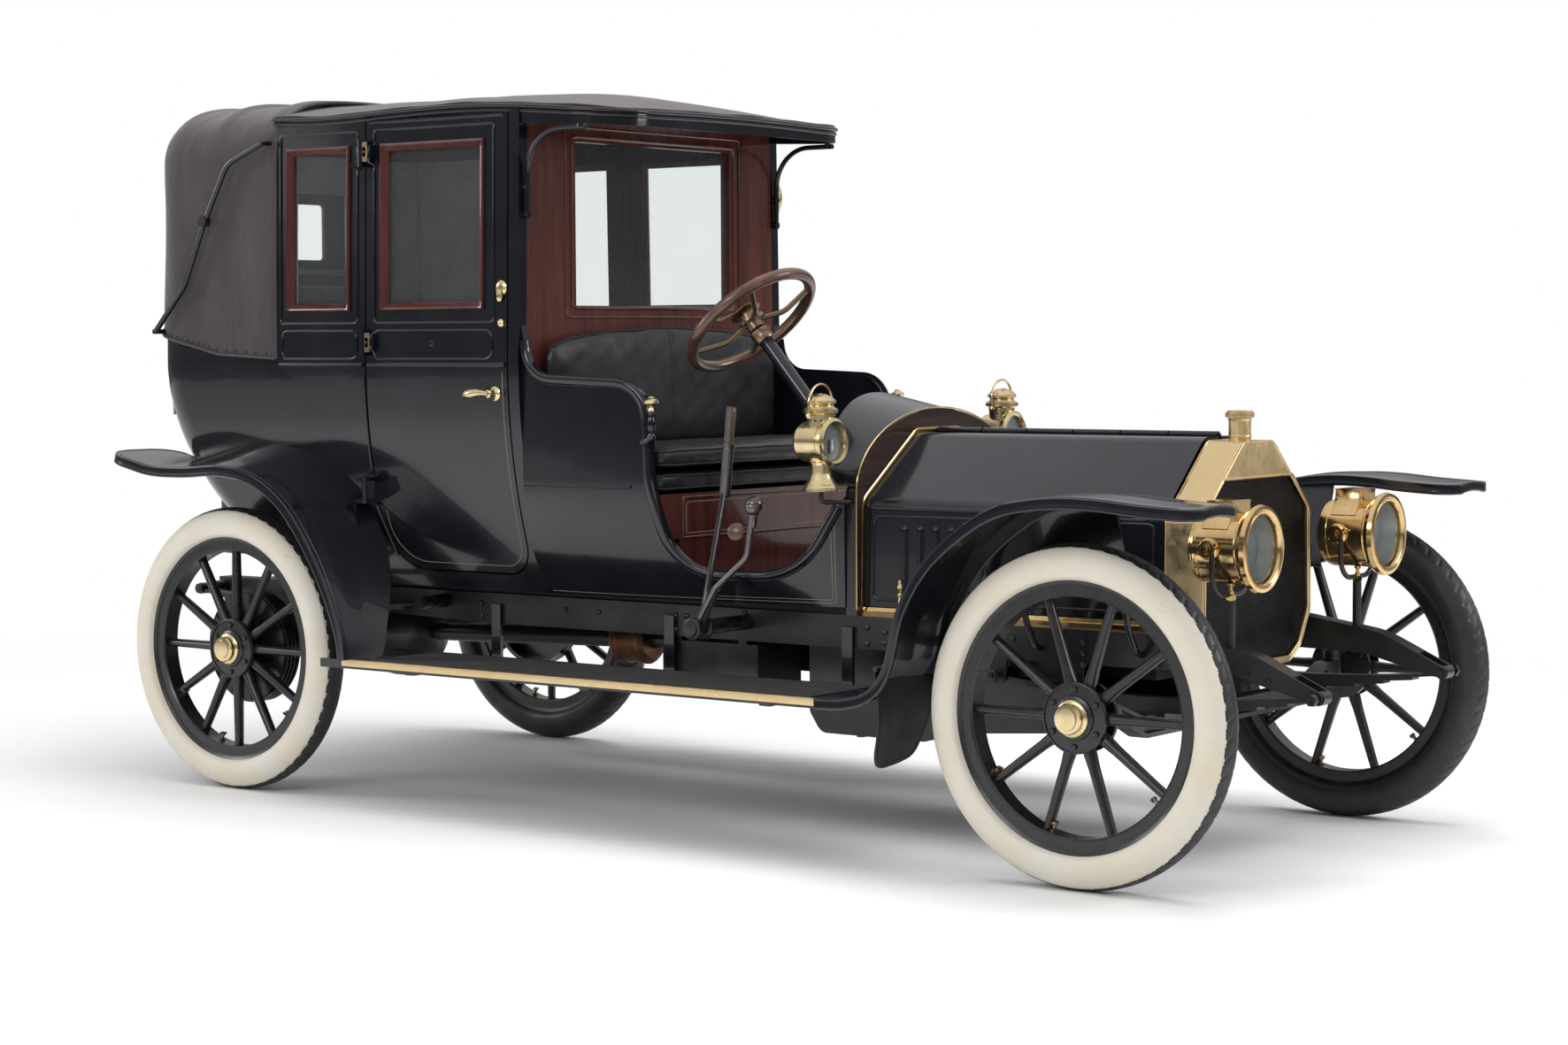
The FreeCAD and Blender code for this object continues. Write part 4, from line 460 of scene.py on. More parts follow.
coachBlack = paintedGloss("coachBlack", (0.0045, 0.0052, 0.0085))
ironBlack = chassisPaint("ironBlack", (0.007, 0.007, 0.008))
wheelBlack = chassisPaint("wheelBlack", (0.008, 0.008, 0.009), 0.3)
brass = polishedMetal("brass", (0.74, 0.52, 0.25))
satinBrass = polishedMetal("satinBrass", (0.76, 0.58, 0.32), 0.33, amount=0.18)
paleBrass = polishedMetal("paleBrass", (0.76, 0.62, 0.36), 0.2, amount=0.35)
bronze = polishedMetal("bronze", (0.26, 0.19, 0.13), 0.3)
darkSteel = polishedMetal("darkSteel", (0.16, 0.155, 0.15), 0.3, (0.05, 0.045, 0.04))
mahogany = varnishedWood("mahogany", (0.062, 0.016, 0.012), (0.115, 0.031, 0.022))
wheelWood = metalWithin(varnishedWood("wheelWood", (0.05, 0.022, 0.013), (0.12, 0.055, 0.034), "y", 0.3, 0.4),
                        (0.179, -0.304, 1.448), 0.186, (0.2, 0.14, 0.09))
floorWood = varnishedWood("floorWood", (0.012, 0.01, 0.009), (0.03, 0.025, 0.022), "x", 0.6, 0.0)
seatLeather = hide("seatLeather", (0.012, 0.012, 0.014), 0.36)
flapLeather = hide("flapLeather", (0.008, 0.008, 0.009), 0.55, 300, 0.35)
topLeather = wovenCloth("topLeather", (0.037, 0.027, 0.031), folds=0.55)
cabinCloth = wovenCloth("cabinCloth", (0.14, 0.14, 0.15))
coreMesh = chassisPaint("coreMesh", (0.006, 0.006, 0.006), 0.5)
windowGlass = clearGlass("windowGlass", film=0.05)
lensGlass = clearGlass("lensGlass", (0.9, 0.93, 0.92), 0.02)
tyreRubber = chassisPaint("tyreRubber", (0.011, 0.011, 0.012), 0.55)
whiteRubber = agedWhite("whiteRubber", (0.7, 0.665, 0.59))
windowWood = varnishedWood("windowWood", (0.046, 0.012, 0.009), (0.088, 0.022, 0.016))
stripePaint = newMaterial("stripePaint", (0.24, 0.2, 0.125), roughness=0.4)
roofCloth = wovenCloth("roofCloth", (0.038, 0.027, 0.028), folds=0.3)
topPiping = hide("topPiping", (0.03, 0.024, 0.026), 0.5)
copperBrown = polishedMetal("copperBrown", (0.12, 0.055, 0.035), 0.4)
dashBrown = varnishedWood("dashBrown", (0.02, 0.011, 0.01), (0.045, 0.022, 0.017), "y", 0.16, 0.6)
gripWood = varnishedWood("gripWood", (0.05, 0.024, 0.014), (0.105, 0.05, 0.028), "z", 0.35, 0.3)
steelKnob = polishedMetal("steelKnob", (0.16, 0.13, 0.13), 0.2, (0.06, 0.04, 0.04))
liningCloth = wovenCloth("liningCloth", (0.42, 0.42, 0.44))
matRubber = chassisPaint("matRubber", (0.013, 0.013, 0.013), 0.65)
silvered = polishedMetal("silvered", (0.44, 0.45, 0.46), 0.42, (0.3, 0.3, 0.3))

nodeFinish = {
    ironBlack: ("chassis_frame", "cross_members", "springs", "front_axle", "rear_axle", "engine_and_gearbox",
                "undertray", "tie_rod",
                "knuckle_right", "knuckle_left", "lamp_brackets"),
    coachBlack: ("bonnet_right", "bonnet_left", "scuttle", "cabin_tub", "quarter_frames", "door_right",
                 "door_left",
                 "seat_side_panels", "roof", "roof_irons", "front_wings", "rear_wings", "running_boards",
                 "steering_column"),
    brass: ("headlamps",),
    satinBrass: ("radiator_shell",),
    paleBrass: ("side_lamps", "door_lamp"),
    coreMesh: ("radiator_core",),
    mahogany: ("partition", "seat_base"),
    floorWood: ("floor_boards", "body_bearers"),
    seatLeather: ("driver_cushions",),
    cabinCloth: ("rear_cushions",),
    topLeather: ("landau_top",),
    windowGlass: ("door_glass_right", "door_glass_left", "fixed_glass"),
    lensGlass: ("lamp_lenses",),
    wheelWood: ("steering_wheel",),
    darkSteel: ("levers",),
    copperBrown: ("shaft_brake",),
    wheelBlack: tuple("wheel_" + name for name in wheelNames),
    tyreRubber: tuple("tyre_" + name for name in wheelNames),
}
for material, names in nodeFinish.items():
    for name in names:
        node = nodes[name]
        node.data.materials.clear()
        node.data.materials.append(material)
print("finishes ready")

joints = {joint["name"]: joint for joint in frame["joints"]}
frontAxle = Vector(joints["steer_right"]["pos_m"]).x  # pieces are placed from the front axle


def gridFaces(rows, columns, closeRows=False, closeColumns=False):
    # the four-sided faces between neighbours of a grid, joined round either way if asked
    first, second = np.meshgrid(np.arange(rows if closeRows else rows - 1),
                                np.arange(columns if closeColumns else columns - 1), indexing="ij")
    nextFirst, nextSecond = (first + 1) % rows, (second + 1) % columns
    corners = (first * columns + second, nextFirst * columns + second,
               nextFirst * columns + nextSecond, first * columns + nextSecond)
    return np.stack(corners, -1).reshape(-1, 4)


def surface(grid, closeRows=False, closeColumns=False):
    # a shape is its points and its faces; the grid has one point for each pair of parameters
    rows, columns = grid.shape[:2]
    return grid.reshape(-1, 3), gridFaces(rows, columns, closeRows, closeColumns)


def merged(shapes):
    # several shapes as one: the points in a row, the faces counted on
    points, faces, count = [], [], 0
    for shape in shapes:
        points.append(shape[0])
        faces.append(shape[1] + count)
        count += len(shape[0])
    return np.concatenate(points), np.concatenate(faces)


def fullTurn(steps):
    # even angles round a circle, without the last that repeats the first
    return np.linspace(0, 2 * math.pi, steps, endpoint=False)


def inPlane(x, line):
    # a (y, z) line as points in the plane at x, which is given from the front axle
    return np.concatenate([np.full((len(line), 1), x + frontAxle), line], 1)


def axes(direction):
    # two unit vectors square to a direction
    direction = np.asarray(direction, float) / np.linalg.norm(direction)
    helper = np.array((0.0, 0.0, 1.0)) if abs(direction[2]) < 0.9 else np.array((1.0, 0.0, 0.0))
    first = np.cross(helper, direction)
    first /= np.linalg.norm(first)
    return direction, first, np.cross(direction, first)


def turned(profile, centre, direction, steps=48, closed=False):
    # a lathe form: each (radius, height) of the profile goes round the direction through the centre
    direction, first, second = axes(direction)
    profile = np.array(profile, float)
    angle = fullTurn(steps)[:, None, None]
    ring = np.cos(angle) * first + np.sin(angle) * second
    grid = np.array(centre) + profile[None, :, 0, None] * ring + profile[None, :, 1, None] * direction
    return surface(grid, True, closed)


def frames(path, closed=False):
    # unit tangents of a path, from the neighbours of each point
    if closed:
        step = np.roll(path, -1, 0) - np.roll(path, 1, 0)
    else:
        step = np.gradient(path, axis=0)
    return step / np.linalg.norm(step, axis=1)[:, None]


def tube(path, radius, around=12, closed=False):
    # a round section carried along a path: radius may change from point to point
    path = np.array(path, float)
    tangent = frames(path, closed)
    normal = np.zeros_like(path)
    guide = axes(tangent[0])[1]
    for i in range(len(path)):
        guide = guide - tangent[i] * (guide @ tangent[i])
        guide = guide / np.linalg.norm(guide)
        normal[i] = guide
    side = np.cross(tangent, normal)
    radius = np.broadcast_to(np.asarray(radius, float), len(path))
    if not closed:
        path = np.concatenate([path[:1], path, path[-1:]])
        normal = np.concatenate([normal[:1], normal, normal[-1:]])
        side = np.concatenate([side[:1], side, side[-1:]])
        radius = np.concatenate([[0], radius, [0]])
    angle = fullTurn(around)[None, :, None]
    grid = path[:, None] + radius[:, None, None] * (np.cos(angle) * normal[:, None] + np.sin(angle)
                                                    * side[:, None])
    return surface(grid, closed, True)


def ribbon(path, normal, outline, closed=False):
    # an outline of (sideways, outward) points carried along a path that lies on a surface
    path, normal = np.array(path, float), np.array(normal, float)
    tangent = frames(path, closed)
    normal = normal - tangent * np.sum(normal * tangent, 1)[:, None]
    normal /= np.linalg.norm(normal, axis=1)[:, None]
    side = np.cross(tangent, normal)
    outline = np.array(outline, float)
    sideways, outward = outline[None, :, 0, None], outline[None, :, 1, None]
    grid = path[:, None] + sideways * side[:, None] + outward * normal[:, None]
    if not closed:
        middle = grid.mean(1, keepdims=True)
        grid = np.concatenate([np.broadcast_to(middle[:1], grid[:1].shape), grid,
                               np.broadcast_to(middle[-1:], grid[-1:].shape)])
    return surface(grid, closed, True)


def bead(width, height, steps=7, sunk=0.001):
    # half-round outline that stands on a surface
    angle = np.linspace(0, math.pi, steps)
    top = np.stack([np.cos(angle) * width / 2, np.sin(angle) * height], 1)
    return np.concatenate([[[width / 2, -sunk]], top, [[-width / 2, -sunk]]])


def flat(width, height=0.0006, sunk=0.0008):
    # a thin painted line's outline
    half = width / 2
    return np.array([(half, -sunk), (half, height), (-half, height), (-half, -sunk)])


def evenly(path, step, closed=False):
    # the path again, with points at even distances along it
    path = np.array(path, float)
    if closed:
        path = np.concatenate([path, path[:1]])
    gone = np.concatenate([[0], np.cumsum(np.linalg.norm(np.diff(path, axis=0), axis=1))])
    count = max(3, int(round(gone[-1] / step)) + 1)
    at = np.linspace(0, gone[-1], count)
    new = np.stack([np.interp(at, gone, path[:, k]) for k in range(path.shape[1])], 1)
    return new[:-1] if closed else new


def rounded(corners, closed=False, steps=8):
    # corners (a, b, radius) as a line of runs and tangent arcs
    count = len(corners)
    line = []
    for i, (a, b, radius) in enumerate(corners):
        here = np.array((a, b), float)
        if radius == 0 or (not closed and i in (0, count - 1)):
            line.append(here)
            continue
        before = np.array(corners[i - 1][:2], float) - here
        after = np.array(corners[(i + 1) % count][:2], float) - here
        before, after = before / np.linalg.norm(before), after / np.linalg.norm(after)
        half = math.acos(max(-1, min(1, before @ after))) / 2
        middle = before + after
        centre = here + middle / np.linalg.norm(middle) * radius / math.sin(half)
        start = here + before * radius / math.tan(half) - centre
        end = here + after * radius / math.tan(half) - centre
        angle = math.pi - 2 * half
        for k in range(steps + 1):
            share = k / steps
            point = (math.sin((1 - share) * angle) * start + math.sin(share * angle) * end) / math.sin(angle)
            line.append(centre + point)
    return np.array(line)


def meshTree(meshes):
    # the triangles of some meshes, for laying trim on them
    points, faces, count = [], [], 0
    for mesh in meshes:
        coordinates = np.zeros(len(mesh.vertices) * 3)
        mesh.vertices.foreach_get("co", coordinates)
        mesh.calc_loop_triangles()
        corners = np.zeros(len(mesh.loop_triangles) * 3, int)
        mesh.loop_triangles.foreach_get("vertices", corners)
        points.append(coordinates.reshape(-1, 3))
        faces.append(corners.reshape(-1, 3) + count)
        count += len(mesh.vertices)
    return BVHTree.FromPolygons(np.concatenate(points).tolist(), np.concatenate(faces).tolist())


def nodeTree(*names):
    # the triangles of some of the frame's nodes
    return meshTree([nodes[name].data for name in names])


def laid(tree, starts, directions):
    # where rays from the starts meet the nodes: places and outward normals, softened along the line
    places, normals = [], []
    starts = np.array(starts, float)
    for start, direction in zip(starts, np.broadcast_to(np.array(directions, float), starts.shape)):
        place, normal = tree.ray_cast(Vector(start), Vector(direction))[:2]
        if place is None:
            continue
        places.append(place)
        normals.append(normal if normal.dot(Vector(direction)) < 0 else -normal)
    if len(places) < 3:
        raise ValueError("a line of trim misses its panel near %s" % (list(starts[0]),))
    places, normals = np.array(places), np.array(normals)
    wide = np.pad(normals, ((2, 2), (0, 0)), "edge")
    normals = sum(wide[k:k + len(normals)] for k in range(5))
    return places, normals / np.linalg.norm(normals, axis=1)[:, None]


def onSide(tree, line, side, outline, step=0.012, closed=False):
    # a line of (x, z) drawn on the car's side, as a strip with the outline's section
    line = evenly(line, step, closed)
    starts = np.stack([line[:, 0] + frontAxle, np.full(len(line), side * 1.2), line[:, 1]], 1)
    places, normals = laid(tree, starts, (0, -side, 0))
    return ribbon(places, normals, outline, closed)


def onFront(tree, line, fromX, outline, step=0.012, closed=False):
    # a line of (y, z) drawn on a face that looks forward, found from a plane ahead of it
    line = evenly(line, step, closed)
    starts = np.stack([np.full(len(line), fromX + frontAxle), line[:, 0], line[:, 1]], 1)
    places, normals = laid(tree, starts, (-1, 0, 0))
    return ribbon(places, normals, outline, closed)


def at(x, y, z):
    # a point given from the front axle
    return np.array((x + frontAxle, y, z))


def snapped(tree, path):
    # the nearest points of a surface to a path, with its normals
    places, normals = [], []
    for point in path:
        place, normal = tree.find_nearest(Vector(point))[:2]
        places.append(place)
        normals.append(normal)
    return np.array(places), np.array(normals)


def studs(places, direction, profile, steps=8):
    # one small turned form repeated at each place
    shape = turned(profile, (0, 0, 0), direction, steps)
    places = np.array(places, float)
    points = (places[:, None] + shape[0][None]).reshape(-1, 3)
    faces = shape[1][None] + np.arange(len(places))[:, None, None] * len(shape[0])
    return points, faces.reshape(-1, 4)


def plate(outline, at, across, up, thick, edge=0.002):
    # a flat piece with eased edges: rings of the outline, drawn in towards its middle at the faces
    outline = np.array(outline, float)
    middle = outline.mean(0)
    across, up = np.array(across, float), np.array(up, float)
    out = np.cross(across, up)
    size = np.linalg.norm(outline - middle, axis=1).mean()
    rings = []
    for scale, height in ((0, 0), (1 - edge / size, 0), (1, edge), (1, thick - edge),
                          (1 - edge / size, thick), (0, thick)):
        ring = middle + (outline - middle) * scale
        rings.append(np.array(at) + ring[:, :1] * across + ring[:, 1:] * up + out * height)
    return surface(np.array(rings), False, True)


def addPiece(name, shapes, material, body, crease=40, replaces=(), second=None):
    # joins shapes into one piece: doubles merged, faces outward; second is a material
    # and a test of face centres
    points, faces = merged(shapes)
    mesh = bpy.data.meshes.new(name)
    mesh.from_pydata(points.tolist(), [], faces.tolist())
    work = bmesh.new()
    work.from_mesh(mesh)
    bmesh.ops.remove_doubles(work, verts=work.verts, dist=0.00002)
    bmesh.ops.dissolve_degenerate(work, edges=work.edges, dist=0.00001)
    bmesh.ops.recalc_face_normals(work, faces=work.faces)
    work.to_mesh(mesh)
    work.free()
    mesh.polygons.foreach_set("use_smooth", np.ones(len(mesh.polygons), bool))
    mesh.set_sharp_from_angle(angle=math.radians(crease))
    mesh.materials.append(material)
    if second:
        mesh.materials.append(second[0])
        centres = np.zeros(len(mesh.polygons) * 3)
        mesh.polygons.foreach_get("center", centres)
        mesh.polygons.foreach_set("material_index", second[1](centres.reshape(-1, 3)).astype(int))
    piece = bpy.data.objects.new(name, mesh)
    bpy.context.scene.collection.objects.link(piece)
    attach(piece, body)
    if replaces:
        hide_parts(*replaces)
    return piece


tyreSizes = {
    "middle": 0.382,  # centre of the round section from the axle
    "section": 0.058,
    "shelf": 120.0,  # degrees from the crown to the rim's edge
    "whiteFrom": 34.0,
    "around": 600,
    "blocks": 60,
    "groove": 0.0028,
}


def tyre(name, side, sizes):
    # round section about the rim; the shoulders have curved grooves, cut where a wave of the angle,
    # delayed towards the edge, is near its top, and the crown has two fine grooves round it
    centre = np.array(joints["wheel_" + name + "_spin"]["pos_m"])
    across = np.radians(np.concatenate([np.linspace(-sizes["shelf"], -36, 9), np.linspace(-34, 34, 24),
                                        np.linspace(36, sizes["shelf"], 14)]))
    angle = fullTurn(sizes["around"])[:, None]
    phase = angle * sizes["blocks"] + np.abs(across) * 5.0 + np.where(across > 0, 1.6, 0.0)
    cut = np.clip((np.cos(phase) - 0.72) * 6, 0, 1)
    shoulder = np.clip((np.abs(across) - math.radians(9)) * 14, 0,
                       1) * np.clip((math.radians(36) - np.abs(across)) * 30, 0, 1)
    rings = np.exp(-((np.abs(across) - math.radians(5)) / 0.017) ** 2)
    lip = (0.0012 * np.exp(-((across - math.radians(37)) / 0.02) ** 2)
           + 0.0012 * np.exp(-((across - math.radians(104)) / 0.03) ** 2))
    depth = sizes["section"] - sizes["groove"] * np.maximum(cut * shoulder, rings) + lip
    radius = sizes["middle"] + depth * np.cos(across)
    width = side * depth * np.sin(across)
    grid = np.stack([centre[0] + radius * np.cos(angle), centre[1] + np.broadcast_to(width, radius.shape),
                     centre[2] + radius * np.sin(angle)], -1)
    foot = np.stack([np.stack([centre[0] + r * np.cos(angle[:, 0]), np.full(len(angle), centre[1] + side * w),
                               centre[2] + r * np.sin(angle[:, 0])], -1) for r,
                               w in ((0.346, 0.032), (0.346, -0.032))], 1)
    grid = np.concatenate([grid, foot], 1)
    edge = sizes["middle"] + sizes["section"] * math.cos(math.radians(sizes["whiteFrom"]))

    def isWhite(centres):
        far = np.hypot(centres[:, 0] - centre[0], centres[:, 2] - centre[2])
        return ((centres[:, 1] - centre[1]) * side > 0.02) & (far < edge + 0.0005)

    addPiece("tyre_dress_" + name, [surface(grid, True, True)], tyreRubber, "wheel_" + name, 60,
             ("tyre_" + name,), (whiteRubber, isWhite))


hubSizes = {
    "cap": [(0.0, 0.04), (0.046, 0.04), (0.0475, 0.042), (0.0475, 0.046), (0.044, 0.049), (0.0395, 0.05),
            (0.0395, 0.062), (0.037, 0.0655), (0.029, 0.0665), (0.0275, 0.07), (0.014, 0.071), (0.0, 0.0712)],
    "bolt": [(0.0, 0.0), (0.0085, 0.0), (0.0085, 0.006), (0.007, 0.0075), (0.0, 0.0078)],
    "boltCircle": 0.073,
    "bolts": 6,
    "clamp": [(0.0, 0.0), (0.011, 0.0), (0.011, 0.005), (0.0055, 0.007), (0.0055, 0.017), (0.009, 0.018),
              (0.009, 0.024),
              (0.004, 0.027), (0.0, 0.0275)],
    "clamps": (212.0, 255.0, 318.0),
}


def wheelTrim(name, side, sizes):
    # hub cap, flange bolts on a circle, and the rim's valve and bolt clamps pointing at the hub
    centre = np.array(joints["wheel_" + name + "_spin"]["pos_m"])
    addPiece("hub_cap_" + name, [turned(sizes["cap"], centre, (0, side, 0), 64)], paleBrass, "wheel_" + name,
             30)
    angle = np.radians(np.arange(sizes["bolts"]) * 360 / sizes["bolts"] + 30)
    ring = np.stack([np.cos(angle), np.zeros(len(angle)), np.sin(angle)], 1) * sizes["boltCircle"] + centre
    heads = [studs(ring + (0, s * 0.029, 0), (0, s, 0), sizes["bolt"], 6) for s in (-side, side)]
    collar = [turned([(0.088, 0.0285), (0.0915, 0.0285), (0.0915, 0.0315), (0.088, 0.0325)], centre,
                     (0, side, 0), 64, True),
              turned([(0.05, 0.03), (0.058, 0.03), (0.056, 0.035), (0.048, 0.038)], centre, (0, side, 0), 64,
                     True)]
    bands = [turned([(r - 0.0012, w - 0.0015), (r + 0.0012, w - 0.0015), (r + 0.0012, w + 0.0012),
                     (r - 0.0012, w + 0.0012)],
                    centre, (0, side, 0), 96, True) for r, w in ((0.3075, 0.0262), (0.3385, 0.0315))]
    addPiece("hub_bolts_" + name, heads + collar + bands, wheelBlack, "wheel_" + name, 30)
    clamps = []
    for degrees in sizes["clamps"]:
        inward = -np.array((math.cos(math.radians(degrees)), 0, math.sin(math.radians(degrees))))
        clamps.append(turned(sizes["clamp"], centre - inward * 0.3065, inward, 16))
        handle = centre - inward * 0.2845 + np.array((0, 1, 0)) * np.linspace(-0.014, 0.014, 5)[:, None]
        clamps.append(tube(handle, (0.003, 0.0045, 0.003, 0.0045, 0.003), 8))
    addPiece("rim_clamps_" + name, clamps, bronze, "wheel_" + name, 30)


for name in wheelNames:
    side = 1 if name.endswith("left") else -1
    tyre(name, side, tyreSizes)
    wheelTrim(name, side, hubSizes)
print("wheels ready")


windowSizes = {
    # outer edges of the wooden frame, then the black bead round it and the small panel below
    "door": ((-2.531, -2.11, 1.486, 1.988), (-2.558, -2.072, 1.449, 2.03), (-2.56, -2.08, 1.34, 1.426),
             "door_{}", "door_{}"),
    "quarter": ((-2.934, -2.661, 1.486, 1.988), (-2.962, -2.63, 1.449, 2.03), (-2.956, -2.632, 1.34, 1.426),
                "quarter_frames", "chassis"),
    "section": ((0, -0.015), (0, 0.007), (0.004, 0.0105), (0.008, 0.0095), (0.01, 0.0065), (0.02, -0.002),
                (0.0235, -0.007),
                (0.0235, -0.015)),
}


def box2d(x0, x1, z0, z1, radius):
    # a rectangle's four corners with one radius
    return [(x0, z0, radius), (x1, z0, radius), (x1, z1, radius), (x0, z1, radius)]


def mitredFrame(tree, out, edges, section):
    # four members mitred at the corners, on the plane that best fits the wall round them:
    # each point of the section is a rectangle drawn in from the outer edges
    x0, x1, z0, z1 = edges
    line = evenly(rounded(box2d(x0 - 0.012, x1 + 0.012, z0 - 0.012, z1 + 0.012, 0.01), True), 0.03, True)
    places = laid(tree, [(x + frontAxle, out * 1.2, z) for x, z in line], (0, -out, 0))[0]
    plane = np.linalg.lstsq(np.stack([places[:, 0], places[:, 2], np.ones(len(places))], 1), places[:, 1],
                            rcond=None)[0]
    corners = []
    for inward, outward in section:
        ring = np.array([(x0 + inward, z0 + inward), (x1 - inward, z0 + inward), (x1 - inward, z1 - inward),
                         (x0 + inward, z1 - inward)]) + (frontAxle, 0)
        y = ring @ plane[:2] + plane[2] + out * outward
        corners.append(np.stack([ring[:, 0], y, ring[:, 1]], 1))
    grid = np.array(corners)
    share = np.linspace(0, 1, 20, endpoint=False)[:, None]
    sidesOf = [grid[:, k, None] * (1 - share) + grid[:, (k + 1) % 4, None] * share for k in range(4)]
    return surface(np.concatenate(sidesOf, 1), True, True)


def windowTrim(side, out):
    # mahogany frames over the glass's edge, a black bead outside them and the small panel below
    for label in ("door", "quarter"):
        edges, around, low, node, body = windowSizes[label]
        node, body = node.format(side), body.format(side)
        tree = nodeTree(node)
        addPiece("frame_" + label + "_" + side, [mitredFrame(tree, out, edges, windowSizes["section"])],
                 windowWood, body,
                 25)
        beads = [onSide(tree, rounded(box2d(*around, 0.006), True), out, bead(0.009, 0.005), 0.01, True),
                 onSide(tree, rounded(box2d(*low, 0.022), True), out, bead(0.008, 0.0045), 0.01, True)]
        addPiece("beads_" + label + "_" + side, beads, coachBlack, body, 60)


doorLine = [(-2.566, 0.88, 0), (-2.566, 0.722, 0.13), (-2.039, 0.722, 0.072), (-2.039, 1.3, 0)]


def bodyTrim(side, out):
    # the belt and gutter beads, the door's stripe and the tub's curved bead
    door = nodeTree("door_" + side)
    body = nodeTree("cabin_tub", "seat_side_panels", "quarter_frames")
    belt = bead(0.016, 0.007)
    addPiece("door_beads_" + side, [
        onSide(door, [(-2.586, 1.322), (-2.027, 1.322)], out, belt),
        onSide(door, rounded([(-2.58, 2.052, 0), (-2.033, 2.052, 0)]), out, bead(0.01, 0.005)),
    ], coachBlack, "door_" + side, 60)
    addPiece("door_stripe_" + side, [onSide(door, rounded(doorLine), out, flat(0.0018))], stripePaint,
             "door_" + side)
    beads = [
        onSide(body, [(-2.968, 1.3225), (-2.606, 1.3225)], out, bead(0.012, 0.007)),
        onSide(body, rounded([(-2.603, 1.29, 0), (-2.603, 0.88, 0.2), (-2.56, 0.735, 0)]), out,
               bead(0.007, 0.004)),
    ]
    addPiece("tub_beads_" + side, beads, coachBlack, "chassis", 60)


for side, out in sides:
    windowTrim(side, out)
    bodyTrim(side, out)


entranceSizes = {
    "line": [(-1.9735, 1.5, 0), (-1.9615, 1.42, 0.05), (-1.945, 1.292, 0.095), (-1.52, 1.276, 0.11),
             (-1.51, 1.0, 0.16),
             (-1.452, 0.73, 0.15), (-1.09, 0.735, 0.2), (-0.972, 0.962, 0)],
    "inset": 0.008,
}


def entranceTrim(side, out, sizes):
    # a rolled lip along the driver's entrance, with the raised lines and stripes of the panel below it
    tree = nodeTree("seat_side_panels")
    line = evenly(rounded(sizes["line"]), 0.012)
    tangent = frames(line)
    outward = np.stack([-tangent[:, 1], tangent[:, 0]], 1)
    drawnIn = line - outward * sizes["inset"]
    starts = np.stack([drawnIn[:, 0] + frontAxle, np.full(len(line), out * 1.2), drawnIn[:, 1]], 1)
    places, normals = laid(tree, starts, (0, -out, 0))
    section = [(0.017, -0.004), (0.015, 0.004), (0.008, 0.01), (-0.002, 0.0125), (-0.01, 0.011),
               (-0.0145, 0.004),
               (-0.0145, -0.006)]
    panel = onSide(tree, rounded([(-1.968, 0.975, 0), (-1.575, 0.975, 0)]), out, bead(0.012, 0.006))
    addPiece("entrance_lip_" + side, [ribbon(places, normals, section), panel], coachBlack, "chassis",
             60)
    stripe = flat(0.0018)
    addPiece("side_stripes_" + side, [
        onSide(tree, rounded([(-1.955, 0.655, 0.0), (-0.992, 0.655, 0.004), (-0.992, 0.9, 0)]), out, stripe),
        onSide(tree, rounded([(-1.38, 0.664, 0.0), (-1.001, 0.664, 0.004), (-1.001, 0.89, 0)]), out, stripe),
    ], stripePaint, "chassis")


for side, out in sides:
    entranceTrim(side, out, entranceSizes)
print("body trim ready")


roofSizes = {
    "rear": -2.988,
    "front": -1.64,
    "half": 0.612,
    "corner": 0.19,
    "lift": 0.0025,
    "crest": 2.1575,  # the middle is lifted to this where it meets the leather top
    "mouldings": ((0.004, 0.013, 0.008), (0.018, 0.01, 0.004)),  # drop, width, depth
    "bows": (-2.82, -2.45, -2.08),
}


def roofHalf(x, sizes):
    # half width of the roof: straight sides that draw in a little forwards, round front corners
    side = np.interp(x, (-2.985, -1.83), (sizes["half"] + 0.0158, sizes["half"] + 0.003))
    over = np.clip(x - (sizes["front"] - sizes["corner"]), 0, sizes["corner"])
    return side - sizes["corner"] + np.sqrt(sizes["corner"] ** 2 - over ** 2)


